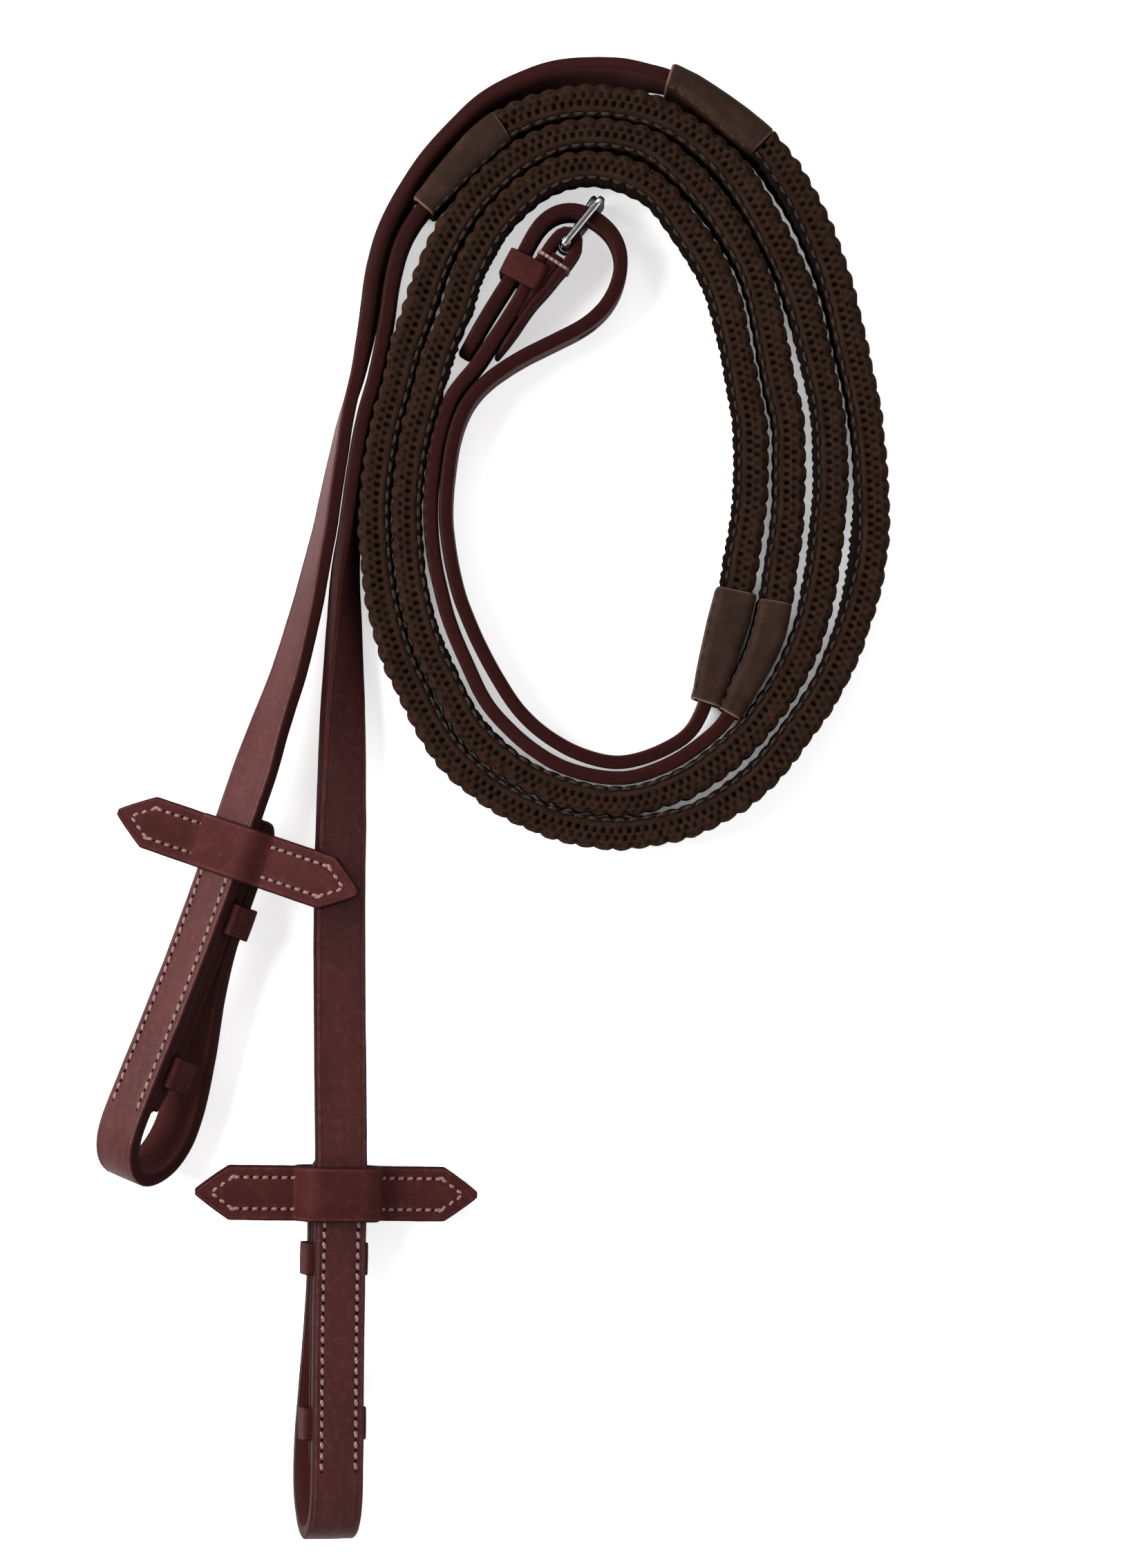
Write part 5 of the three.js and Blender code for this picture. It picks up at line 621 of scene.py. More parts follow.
    -40.500, 114.559, 11.000, 0.0000, -0.0000, -1.0000, 4.20, 470.51,
    -39.380, 119.430, 11.000, 0.0000, -0.0000, -1.0000, 4.20, 475.51,
    -38.035, 124.243, 11.000, 0.0000, -0.0000, -1.0000, 4.20, 480.51,
    -36.667, 129.051, 11.000, 0.0000, -0.0000, -1.0000, 4.20, 485.51,
    -35.497, 133.910, 11.000, 0.0000, -0.0000, -1.0000, 4.20, 490.50,
    -34.503, 138.808, 11.000, 0.0000, -0.0000, -1.0000, 4.20, 495.50,
    -33.577, 143.720, 11.000, 0.0000, -0.0000, -1.0000, 4.20, 500.50,
    -32.761, 148.650, 11.000, 0.0000, -0.0000, -1.0000, 4.20, 505.50,
    -32.089, 153.603, 11.000, 0.0000, -0.0000, -1.0000, 4.20, 510.50,
    -31.348, 158.546, 11.000, 0.0000, -0.0000, -1.0000, 4.20, 515.49,
    -30.369, 163.447, 11.000, 0.0000, -0.0000, -1.0000, 4.20, 520.49,
    -29.110, 168.283, 11.000, 0.0000, -0.0000, -1.0000, 4.20, 525.49,
    -28.140, 171.120, 11.000, 0.0000, -0.0000, -1.0000, 4.20, 528.49,
    -27.367, 172.964, 11.000, 0.0000, -0.0000, -1.0000, 4.20, 530.49,
    -25.996, 175.629, 11.000, 0.0000, -0.0000, -1.0000, 4.20, 533.49,
    -24.952, 177.334, 11.000, 0.0000, -0.0000, -1.0000, 4.20, 535.49,
    -23.230, 179.789, 11.000, 0.0000, -0.0000, -1.0000, 4.20, 538.49,
    -20.092, 183.678, 11.000, 0.0000, -0.0000, -1.0000, 4.20, 543.48,
    -16.799, 187.439, 11.000, 0.0000, -0.0000, -1.0000, 4.20, 548.48,
    -13.448, 191.147, 11.000, 0.0000, -0.0000, -1.0000, 4.20, 553.48,
    -10.069, 194.830, 11.000, 0.0000, -0.0000, -1.0000, 4.20, 558.48,
    -6.619, 198.447, 11.000, 0.0000, -0.0000, -1.0000, 4.20, 563.48,
    -3.042, 201.937, 11.000, 0.0000, -0.0000, -1.0000, 4.20, 568.48,
    -0.030, 204.567, 11.000, 0.0000, -0.0000, -1.0000, 4.20, 572.47,
    2.375, 206.356, 11.000, 0.0000, -0.0000, -1.0000, 4.20, 575.47,
    4.923, 207.935, 11.000, 0.0000, -0.0000, -1.0000, 4.20, 578.47,
    7.603, 209.279, 11.000, 0.0000, -0.0000, -1.0000, 4.20, 581.47,
    11.296, 210.811, 11.000, 0.0000, -0.0000, -1.0000, 4.20, 585.47,
    15.075, 212.116, 11.000, 0.0000, -0.0000, -1.0000, 4.20, 589.47,
    18.934, 213.161, 11.000, 0.0000, -0.0000, -1.0000, 4.20, 593.47,
    22.862, 213.904, 11.000, 0.0000, -0.0000, -1.0000, 4.20, 597.46,
    26.833, 214.361, 11.000, 0.0000, -0.0000, -1.0000, 4.20, 601.46,
    30.827, 214.521, 11.000, 0.0000, -0.0000, -1.0000, 4.20, 605.46,
    33.824, 214.427, 11.000, -0.0000, -0.0000, -1.0000, 4.20, 608.46,
    37.803, 214.038, 11.000, -0.0000, -0.0000, -1.0000, 4.20, 612.46,
    42.734, 213.226, 11.000, -0.0000, -0.0000, -1.0000, 4.20, 617.46,
    46.622, 212.297, 11.000, -0.0000, -0.0000, -1.0000, 4.20, 621.46,
    49.484, 211.402, 11.000, -0.0000, -0.0000, -1.0000, 4.20, 624.46,
    52.278, 210.314, 11.000, -0.0000, -0.0000, -1.0000, 4.20, 627.45,
    54.988, 209.031, 11.000, -0.0000, -0.0000, -1.0000, 4.20, 630.45,
    57.608, 207.572, 11.000, -0.0000, -0.0000, -1.0000, 4.20, 633.45,
    60.959, 205.393, 11.000, -0.0000, -0.0000, -1.0000, 4.20, 637.45,
    64.149, 202.983, 11.000, -0.0000, -0.0000, -1.0000, 4.20, 641.45,
    67.924, 199.709, 11.000, -0.0000, -0.0000, -1.0000, 4.20, 646.45,
    71.461, 196.179, 11.000, -0.0000, -0.0000, -1.0000, 4.20, 651.45,
    74.081, 193.159, 11.000, -0.0000, -0.0000, -1.0000, 4.20, 655.44,
    76.487, 189.967, 11.000, -0.0000, -0.0000, -1.0000, 4.20, 659.44,
    79.233, 185.791, 11.000, -0.0000, -0.0000, -1.0000, 4.20, 664.44,
    81.809, 181.508, 11.000, -0.0000, -0.0000, -1.0000, 4.20, 669.44,
    84.294, 177.172, 11.000, -0.0000, -0.0000, -1.0000, 4.20, 674.44,
    86.685, 172.782, 11.000, -0.0000, -0.0000, -1.0000, 4.20, 679.44,
    88.958, 168.331, 11.000, -0.0000, -0.0000, -1.0000, 4.20, 684.43,
    91.084, 163.808, 11.000, -0.0000, -0.0000, -1.0000, 4.20, 689.43,
    93.009, 159.195, 11.000, -0.0000, -0.0000, -1.0000, 4.20, 694.43,
    94.702, 154.493, 11.000, -0.0000, -0.0000, -1.0000, 4.20, 699.43,
    96.196, 149.724, 11.000, -0.0000, -0.0000, -1.0000, 4.20, 704.43,
    97.564, 144.916, 11.000, -0.0000, -0.0000, -1.0000, 4.20, 709.42,
    98.864, 140.090, 11.000, -0.0000, -0.0000, -1.0000, 4.20, 714.42,
    100.094, 135.246, 11.000, -0.0000, -0.0000, -1.0000, 4.20, 719.42,
    101.234, 130.379, 11.000, -0.0000, -0.0000, -1.0000, 4.20, 724.42,
    102.297, 125.495, 11.000, -0.0000, -0.0000, -1.0000, 4.20, 729.42,
    103.195, 120.579, 11.000, -0.0000, -0.0000, -1.0000, 4.20, 734.42,
    103.771, 115.615, 11.000, -0.0000, -0.0000, -1.0000, 4.20, 739.41,
    104.068, 110.626, 11.000, -0.0000, -0.0000, -1.0000, 4.20, 744.41,
    104.282, 105.632, 11.000, -0.0000, -0.0000, -1.0000, 4.20, 749.41,
    104.430, 100.637, 11.000, -0.0000, -0.0000, -1.0000, 4.20, 754.41,
    104.359, 95.640, 11.000, -0.0000, 0.0000, -1.0000, 4.20, 759.41,
    104.011, 90.654, 11.000, -0.0000, 0.0000, -1.0000, 4.20, 764.40,
    103.542, 85.678, 11.000, -0.0000, 0.0000, -1.0000, 4.20, 769.40,
    103.068, 80.702, 11.000, -0.0000, 0.0000, -1.0000, 4.20, 774.40,
    102.543, 75.731, 11.000, -0.0000, 0.0000, -1.0000, 4.20, 779.40,
    101.880, 70.778, 11.000, -0.0000, 0.0000, -1.0000, 4.20, 784.40,
    101.034, 65.852, 11.000, -0.0000, 0.0000, -1.0000, 4.20, 789.40,
    100.019, 60.958, 11.000, -0.0000, 0.0000, -1.0000, 4.20, 794.39,
    98.820, 56.106, 11.000, -0.0000, 0.0000, -1.0000, 4.20, 799.39,
    97.358, 51.327, 11.000, -0.0000, 0.0000, -1.0000, 4.20, 804.39,
    95.604, 46.648, 11.000, -0.0000, 0.0000, -1.0000, 4.20, 809.39,
    93.591, 42.074, 11.000, -0.0000, 0.0000, -1.0000, 4.20, 814.39,
    91.344, 37.609, 11.000, -0.0000, 0.0000, -1.0000, 4.20, 819.39,
    88.849, 33.279, 11.000, -0.0000, 0.0000, -1.0000, 4.20, 824.38,
    86.107, 29.101, 11.000, -0.0000, 0.0000, -1.0000, 4.20, 829.38,
    83.185, 25.046, 11.000, -0.0000, 0.0000, -1.0000, 4.20, 834.38,
    80.733, 21.890, 11.000, -0.0000, 0.0000, -1.0000, 4.20, 838.38,
    78.650, 19.734, 11.000, -0.0000, 0.0000, -1.0000, 4.20, 841.38,
    75.061, 16.256, 11.000, -0.0000, 0.0000, -1.0000, 4.20, 846.38,
    71.299, 12.965, 11.000, -0.0000, 0.0000, -1.0000, 4.20, 851.37,
    67.359, 9.891, 11.000, -0.0000, 0.0000, -1.0000, 4.20, 856.37,
    63.245, 7.054, 11.000, -0.0000, 0.0000, -1.0000, 4.20, 861.37,
    59.788, 5.046, 11.000, -0.0000, 0.0000, -1.0000, 4.20, 865.37,
    56.197, 3.290, 11.000, -0.0000, 0.0000, -1.0000, 4.20, 869.37,
    52.500, 1.767, 11.000, -0.0000, 0.0000, -1.0000, 4.20, 873.37,
    48.710, 0.495, 11.000, -0.0000, 0.0000, -1.0000, 4.20, 877.36,
    45.804, -0.244, 11.000, -0.0000, 0.0000, -1.0000, 4.20, 880.36,
    42.850, -0.752, 11.000, -0.0000, 0.0000, -1.0000, 4.20, 883.36,
    39.862, -1.000, 11.000, -0.0000, 0.0000, -1.0000, 4.20, 886.36,
    36.864, -0.990, 11.000, 0.0000, 0.0000, -1.0000, 4.20, 889.36,
    33.875, -0.748, 11.000, 0.0000, 0.0000, -1.0000, 4.20, 892.36,
    29.924, -0.140, 11.000, 0.0000, 0.0000, -1.0000, 4.20, 896.36,
    26.020, 0.723, 11.000, 0.0000, 0.0000, -1.0000, 4.20, 900.36,
    22.181, 1.837, 11.000, 0.0000, 0.0000, -1.0000, 4.20, 904.35,
    18.427, 3.213, 11.000, 0.0000, 0.0000, -1.0000, 4.20, 908.35,
    13.864, 5.251, 11.000, 0.0000, 0.0000, -1.0000, 4.20, 913.35,
    10.325, 7.111, 11.000, 0.0000, 0.0000, -1.0000, 4.20, 917.35,
    6.915, 9.196, 11.000, 0.0000, 0.0000, -1.0000, 4.20, 921.35,
    3.669, 11.530, 11.000, 0.0000, 0.0000, -1.0000, 4.20, 925.35,
    -0.196, 14.698, 11.000, 0.0000, 0.0000, -1.0000, 4.20, 930.34,
    -3.871, 18.084, 11.000, 0.0000, 0.0000, -1.0000, 4.20, 935.34,
    -5.903, 20.288, 11.000, 0.0000, 0.0000, -1.0000, 4.20, 938.34,
    -7.132, 21.864, 11.000, 0.0000, 0.0000, -1.0000, 4.20, 940.34,
    -8.792, 24.361, 11.000, 0.0000, 0.0000, -1.0000, 4.20, 943.34,
    -10.700, 27.874, 11.000, 0.0000, 0.0000, -1.0000, 4.20, 947.34,
    -12.920, 32.352, 11.000, 0.0000, 0.0000, -1.0000, 4.20, 952.34,
    -15.210, 36.795, 11.000, 0.0000, 0.0000, -1.0000, 4.20, 957.33,
    -17.487, 41.244, 11.000, 0.0000, 0.0000, -1.0000, 4.20, 962.33,
    -19.549, 45.796, 11.000, 0.0000, 0.0000, -1.0000, 4.20, 967.33,
    -20.929, 49.548, 11.000, 0.0000, 0.0000, -1.0000, 4.20, 971.33,
    -22.374, 54.332, 11.000, 0.0000, 0.0000, -1.0000, 4.20, 976.33,
    -23.590, 59.180, 11.000, 0.0000, 0.0000, -1.0000, 4.20, 981.33,
    -24.553, 64.084, 11.000, 0.0000, 0.0000, -1.0000, 4.20, 986.32,
    -25.310, 69.024, 11.000, 0.0000, 0.0000, -1.0000, 4.20, 991.32,
    -25.889, 73.989, 11.000, 0.0000, 0.0000, -1.0000, 4.20, 996.32,
    -26.294, 78.970, 11.000, 0.0000, 0.0000, -1.0000, 4.20, 1001.32,
    -26.525, 83.963, 11.000, 0.0000, 0.0000, -1.0000, 4.20, 1006.32,
    -26.543, 88.961, 11.000, 0.0000, -0.0000, -1.0000, 4.20, 1011.32,
    -26.329, 93.954, 11.000, 0.0000, -0.0000, -1.0000, 4.20, 1016.31,
    -25.899, 98.933, 11.000, 0.0000, -0.0000, -1.0000, 4.20, 1021.31,
    -25.300, 103.895, 11.000, 0.0000, -0.0000, -1.0000, 4.20, 1026.31,
    -24.524, 108.832, 11.000, 0.0000, -0.0000, -1.0000, 4.20, 1031.31,
    -23.470, 113.717, 11.000, 0.0000, -0.0000, -1.0000, 4.20, 1036.31,
    -22.151, 118.538, 11.000, 0.0000, -0.0000, -1.0000, 4.20, 1041.30,
    -20.707, 123.323, 11.000, 0.0000, -0.0000, -1.0000, 4.20, 1046.30,
    -19.442, 128.158, 11.000, 0.0000, -0.0000, -1.0000, 4.20, 1051.30,
    -18.249, 133.012, 11.000, 0.0000, -0.0000, -1.0000, 4.20, 1056.30,
    -17.382, 135.882, 11.000, 0.0000, -0.0000, -1.0000, 4.20, 1059.30,
    -15.964, 139.620, 11.000, 0.0000, -0.0000, -1.0000, 4.20, 1063.30,
    -13.973, 144.204, 11.000, 0.0000, -0.0000, -1.0000, 4.20, 1068.29,
    -12.061, 148.822, 11.000, 0.0000, -0.0000, -1.0000, 4.20, 1073.29,
    -10.796, 152.614, 11.000, 0.0000, -0.0000, -1.0000, 4.20, 1077.29,
    -9.470, 157.433, 11.000, 0.0000, -0.0000, -1.0000, 4.20, 1082.29,
    -8.226, 161.231, 11.000, 0.0000, -0.0000, -1.0000, 4.20, 1086.29,
    -7.023, 163.978, 11.000, 0.0000, -0.0000, -1.0000, 4.20, 1089.29,
    -4.715, 168.410, 11.000, 0.0000, -0.0000, -1.0000, 4.20, 1094.29,
    -2.281, 172.776, 11.000, 0.0000, -0.0000, -1.0000, 4.20, 1099.28,
    -0.161, 176.164, 11.000, 0.0000, -0.0000, -1.0000, 4.20, 1103.28,
    1.622, 178.575, 11.000, 0.0000, -0.0000, -1.0000, 4.20, 1106.28,
    3.570, 180.854, 11.000, 0.0000, -0.0000, -1.0000, 4.20, 1109.28,
    6.358, 183.719, 11.000, 0.0000, -0.0000, -1.0000, 4.20, 1113.28,
    9.321, 186.404, 11.000, 0.0000, -0.0000, -1.0000, 4.20, 1117.28,
    11.667, 188.272, 11.000, 0.0000, -0.0000, -1.0000, 4.20, 1120.28,
    14.132, 189.977, 11.000, 0.0000, -0.0000, -1.0000, 4.20, 1123.27,
    16.725, 191.483, 11.000, 0.0000, -0.0000, -1.0000, 4.20, 1126.27,
    18.530, 192.341, 11.000, 0.0000, -0.0000, -1.0000, 4.20, 1128.27,
    20.388, 193.077, 11.000, 0.0000, -0.0000, -1.0000, 4.20, 1130.27,
    22.293, 193.684, 11.000, 0.0000, -0.0000, -1.0000, 4.20, 1132.27,
    24.234, 194.161, 11.000, 0.0000, -0.0000, -1.0000, 4.20, 1134.27,
    26.203, 194.506, 11.000, 0.0000, -0.0000, -1.0000, 4.20, 1136.27,
    28.191, 194.715, 11.000, 0.0000, -0.0000, -1.0000, 4.20, 1138.27,
    30.189, 194.778, 11.000, -0.0000, -0.0000, -1.0000, 4.20, 1140.27,
    32.186, 194.700, 11.000, -0.0000, -0.0000, -1.0000, 4.20, 1142.27,
    34.172, 194.478, 11.000, -0.0000, -0.0000, -1.0000, 4.20, 1144.27,
    36.140, 194.124, 11.000, -0.0000, -0.0000, -1.0000, 4.20, 1146.26,
    38.082, 193.649, 11.000, -0.0000, -0.0000, -1.0000, 4.20, 1148.26,
    40.938, 192.740, 11.000, -0.0000, -0.0000, -1.0000, 4.20, 1151.26,
    43.721, 191.622, 11.000, -0.0000, -0.0000, -1.0000, 4.20, 1154.26,
    46.414, 190.304, 11.000, -0.0000, -0.0000, -1.0000, 4.20, 1157.26,
    48.130, 189.279, 11.000, -0.0000, -0.0000, -1.0000, 4.20, 1159.26,
    49.766, 188.132, 11.000, -0.0000, -0.0000, -1.0000, 4.20, 1161.26,
    51.292, 186.842, 11.000, -0.0000, -0.0000, -1.0000, 4.20, 1163.26,
    52.690, 185.414, 11.000, -0.0000, -0.0000, -1.0000, 4.20, 1165.26,
    53.993, 183.898, 11.000, -0.0000, -0.0000, -1.0000, 4.20, 1167.26,
    56.946, 179.865, 11.000, -0.0000, -0.0000, -1.0000, 4.20, 1172.25,
    59.820, 175.776, 11.000, -0.0000, -0.0000, -1.0000, 4.20, 1177.25,
    62.653, 171.658, 11.000, -0.0000, -0.0000, -1.0000, 4.20, 1182.25,
    65.346, 167.448, 11.000, -0.0000, -0.0000, -1.0000, 4.20, 1187.25,
    67.810, 163.101, 11.000, -0.0000, -0.0000, -1.0000, 4.20, 1192.25,
    69.524, 159.489, 11.000, -0.0000, -0.0000, -1.0000, 4.20, 1196.25,
    70.967, 155.761, 11.000, -0.0000, -0.0000, -1.0000, 4.20, 1200.24,
    72.431, 150.983, 11.000, -0.0000, -0.0000, -1.0000, 4.20, 1205.24,
    73.661, 146.139, 11.000, -0.0000, -0.0000, -1.0000, 4.20, 1210.24,
    74.799, 141.272, 11.000, -0.0000, -0.0000, -1.0000, 4.20, 1215.24,
    75.874, 136.391, 11.000, -0.0000, -0.0000, -1.0000, 4.20, 1220.24,
    76.821, 131.483, 11.000, -0.0000, -0.0000, -1.0000, 4.20, 1225.23,
    77.696, 126.562, 11.000, -0.0000, -0.0000, -1.0000, 4.20, 1230.23,
    78.618, 121.650, 11.000, -0.0000, -0.0000, -1.0000, 4.20, 1235.23,
    79.386, 116.712, 11.000, -0.0000, -0.0000, -1.0000, 4.20, 1240.23,
    79.709, 112.728, 11.000, -0.0000, -0.0000, -1.0000, 4.20, 1244.23,
    79.848, 107.731, 11.000, -0.0000, -0.0000, -1.0000, 4.20, 1249.23,
    79.875, 102.733, 11.000, -0.0000, 0.0000, -1.0000, 4.20, 1254.22,
    79.778, 97.736, 11.000, -0.0000, 0.0000, -1.0000, 4.20, 1259.22,
    79.519, 92.745, 11.000, -0.0000, 0.0000, -1.0000, 4.20, 1264.22,
    79.078, 87.767, 11.000, -0.0000, 0.0000, -1.0000, 4.20, 1269.22,
    78.421, 82.812, 11.000, -0.0000, 0.0000, -1.0000, 4.20, 1274.22,
    77.608, 77.880, 11.000, -0.0000, 0.0000, -1.0000, 4.20, 1279.22,
    76.796, 72.949, 11.000, -0.0000, 0.0000, -1.0000, 4.20, 1284.21,
    76.009, 68.013, 11.000, -0.0000, 0.0000, -1.0000, 4.20, 1289.21,
    75.019, 63.114, 11.000, -0.0000, 0.0000, -1.0000, 4.20, 1294.21,
    73.746, 58.281, 11.000, -0.0000, 0.0000, -1.0000, 4.20, 1299.21,
    72.428, 53.460, 11.000, -0.0000, 0.0000, -1.0000, 4.20, 1304.21,
    71.138, 48.631, 11.000, -0.0000, 0.0000, -1.0000, 4.20, 1309.21,
    69.770, 43.824, 11.000, -0.0000, 0.0000, -1.0000, 4.20, 1314.20,
    68.422, 39.011, 11.000, -0.0000, 0.0000, -1.0000, 4.20, 1319.20,
    67.147, 34.178, 11.000, -0.0000, 0.0000, -1.0000, 4.20, 1324.20,
    65.723, 29.388, 11.000, -0.0000, 0.0000, -1.0000, 4.20, 1329.20,
    64.298, 25.653, 11.000, -0.0000, 0.0000, -1.0000, 4.20, 1333.20,
    63.415, 23.860, 11.000, -0.0000, 0.0000, -1.0000, 4.20, 1335.20,
    62.400, 22.138, 11.000, -0.0000, 0.0000, -1.0000, 4.20, 1337.19,
    61.172, 20.564, 11.000, -0.0000, 0.0000, -1.0000, 4.20, 1339.19,
    59.741, 19.169, 11.000, -0.0000, 0.0000, -1.0000, 4.20, 1341.19,
    58.174, 17.928, 11.000, -0.0000, 0.0000, -1.0000, 4.20, 1343.19,
    56.492, 16.849, 11.000, -0.0000, 0.0000, -1.0000, 4.20, 1345.19,
    53.864, 15.406, 11.000, -0.0000, 0.0000, -1.0000, 4.20, 1348.19,
    50.223, 13.756, 11.000, -0.0000, 0.0000, -1.0000, 4.20, 1352.19,
    46.473, 12.368, 11.000, -0.0000, 0.0000, -1.0000, 4.20, 1356.19,
    44.555, 11.805, 11.000, -0.0000, 0.0000, -1.0000, 4.20, 1358.19,
    42.605, 11.368, 11.000, -0.0000, 0.0000, -1.0000, 4.20, 1360.18,
    40.626, 11.091, 11.000, -0.0000, 0.0000, -1.0000, 4.20, 1362.18,
    38.629, 11.015, 11.000, 0.0000, 0.0000, -1.0000, 4.20, 1364.18,
    36.632, 11.116, 11.000, 0.0000, 0.0000, -1.0000, 4.20, 1366.18,
    34.654, 11.397, 11.000, 0.0000, 0.0000, -1.0000, 4.20, 1368.18,
    31.729, 12.057, 11.000, 0.0000, 0.0000, -1.0000, 4.20, 1371.18,
    28.865, 12.945, 11.000, 0.0000, 0.0000, -1.0000, 4.20, 1374.18,
    26.060, 14.003, 11.000, 0.0000, 0.0000, -1.0000, 4.20, 1377.18,
    23.329, 15.241, 11.000, 0.0000, 0.0000, -1.0000, 4.20, 1380.18,
    20.687, 16.658, 11.000, 0.0000, 0.0000, -1.0000, 4.20, 1383.18,
    18.146, 18.250, 11.000, 0.0000, 0.0000, -1.0000, 4.20, 1386.17,
    15.709, 19.998, 11.000, 0.0000, 0.0000, -1.0000, 4.20, 1389.17,
    12.626, 22.542, 11.000, 0.0000, 0.0000, -1.0000, 4.20, 1393.17,
    10.453, 24.609, 11.000, 0.0000, 0.0000, -1.0000, 4.20, 1396.17,
    8.422, 26.814, 11.000, 0.0000, 0.0000, -1.0000, 4.20, 1399.17,
    6.544, 29.152, 11.000, 0.0000, 0.0000, -1.0000, 4.20, 1402.17,
    4.268, 32.438, 11.000, 0.0000, 0.0000, -1.0000, 4.20, 1406.17,
    1.675, 36.711, 11.000, 0.0000, 0.0000, -1.0000, 4.20, 1411.16,
    -0.776, 41.066, 11.000, 0.0000, 0.0000, -1.0000, 4.20, 1416.16,
    -3.120, 45.481, 11.000, 0.0000, 0.0000, -1.0000, 4.20, 1421.16,
    -5.297, 49.980, 11.000, 0.0000, 0.0000, -1.0000, 4.20, 1426.16,
    -7.304, 54.557, 11.000, 0.0000, 0.0000, -1.0000, 4.20, 1431.16,
    -9.130, 59.209, 11.000, 0.0000, 0.0000, -1.0000, 4.20, 1436.16,
    -10.676, 63.962, 11.000, 0.0000, 0.0000, -1.0000, 4.20, 1441.15,
    -11.925, 68.800, 11.000, 0.0000, 0.0000, -1.0000, 4.20, 1446.15,
    -12.937, 73.695, 11.000, 0.0000, 0.0000, -1.0000, 4.20, 1451.15,
    -13.727, 78.630, 11.000, 0.0000, 0.0000, -1.0000, 4.20, 1456.15,
    -14.274, 83.597, 11.000, 0.0000, 0.0000, -1.0000, 4.20, 1461.15,
    -14.498, 88.589, 11.000, 0.0000, 0.0000, -1.0000, 4.20, 1466.15,
    -14.354, 93.585, 11.000, 0.0000, -0.0000, -1.0000, 4.20, 1471.14,
    -13.924, 98.564, 11.000, 0.0000, -0.0000, -1.0000, 4.20, 1476.14,
    -13.330, 103.527, 11.000, 0.0000, -0.0000, -1.0000, 4.20, 1481.14,
    -12.511, 108.456, 11.000, 0.0000, -0.0000, -1.0000, 4.20, 1486.14,
    -11.593, 112.348, 11.000, 0.0000, -0.0000, -1.0000, 4.20, 1490.14,
    -10.739, 115.222, 11.000, 0.0000, -0.0000, -1.0000, 4.20, 1493.14,
    -9.668, 118.022, 11.000, 0.0000, -0.0000, -1.0000, 4.20, 1496.13,
    -8.818, 119.831, 11.000, 0.0000, -0.0000, -1.0000, 4.20, 1498.13,
    -7.852, 121.581, 11.000, 0.0000, -0.0000, -1.0000, 4.20, 1500.13,
    -6.763, 123.257, 11.000, 0.0000, -0.0000, -1.0000, 4.20, 1502.13,
    -5.544, 124.841, 11.000, 0.0000, -0.0000, -1.0000, 4.20, 1504.13,
    -4.214, 126.334, 11.000, 0.0000, -0.0000, -1.0000, 4.20, 1506.13,
    -2.779, 127.725, 11.000, 0.0000, -0.0000, -1.0000, 4.20, 1508.13,
    -0.497, 129.669, 11.000, 0.0000, -0.0000, -1.0000, 4.20, 1511.13,
    2.715, 132.050, 11.000, 0.0000, -0.0000, -1.0000, 4.20, 1515.13,
    6.905, 134.774, 11.000, 0.0000, -0.0000, -1.0000, 4.20, 1520.12,
    11.272, 137.203, 11.000, 0.0000, -0.0000, -1.0000, 4.20, 1525.12,
    15.757, 139.409, 11.000, 0.0000, -0.0000, -1.0000, 4.20, 1530.12,
    20.254, 141.590, 11.000, 0.0000, -0.0000, -1.0000, 4.20, 1535.12,
    24.710, 143.855, 11.000, 0.0000, -0.0000, -1.0000, 4.20, 1540.12,
    28.165, 145.864, 11.000, 0.0000, -0.0000, -1.0000, 4.20, 1544.12,
    29.811, 146.999, 11.000, 0.0000, -0.0000, -1.0000, 4.20, 1546.12,
    31.374, 148.245, 11.000, 0.0000, -0.0000, -1.0000, 4.20, 1548.11,
    32.841, 149.602, 11.000, 0.0000, -0.0000, -1.0000, 4.20, 1550.11,
    34.201, 151.067, 11.000, 0.0000, -0.0000, -1.0000, 4.20, 1552.11,
    35.436, 152.638, 11.000, 0.0000, -0.0000, -1.0000, 4.20, 1554.11,
    36.528, 154.312, 11.000, 0.0000, -0.0000, -1.0000, 4.20, 1556.11,
    37.465, 156.077, 11.000, 0.0000, -0.0000, -1.0000, 4.20, 1558.11,
    38.231, 157.923, 11.000, 0.0000, -0.0000, -1.0000, 4.20, 1560.11,
    38.833, 159.829, 11.000, 0.0000, -0.0000, -1.0000, 4.20, 1562.11,
    39.275, 161.778, 11.000, 0.0000, -0.0000, -1.0000, 4.20, 1564.11,
    39.537, 163.759, 11.000, 0.0000, -0.0000, -1.0000, 4.20, 1566.11,
    39.613, 165.756, 11.000, 0.0000, 0.0000, -1.0000, 4.20, 1568.10,
    39.462, 167.748, 11.000, 0.0000, 0.0000, -1.0000, 4.20, 1570.10,
    39.053, 169.703, 11.000, 0.0000, 0.0000, -1.0000, 4.20, 1572.10,
    38.384, 171.585, 11.000, 0.0000, 0.0000, -1.0000, 4.20, 1574.10,
    37.442, 173.347, 11.000, 0.0000, 0.0000, -1.0000, 4.20, 1576.10,
    36.280, 174.972, 11.000, 0.0000, 0.0000, -1.0000, 4.20, 1578.10,
    34.920, 176.435, 11.000, 0.0000, 0.0000, -1.0000, 4.20, 1580.10,
    33.404, 177.738, 11.000, 0.0000, 0.0000, -1.0000, 4.20, 1582.10,
    31.766, 178.881, 11.000, 0.0000, 0.0000, -1.0000, 4.20, 1584.10,
    30.012, 179.839, 11.000, 0.0000, 0.0000, -1.0000, 4.20, 1586.09,
    28.163, 180.597, 11.000, 0.0000, 0.0000, -1.0000, 4.20, 1588.09,
    26.233, 181.111, 11.000, 0.0000, 0.0000, -1.0000, 4.20, 1590.09,
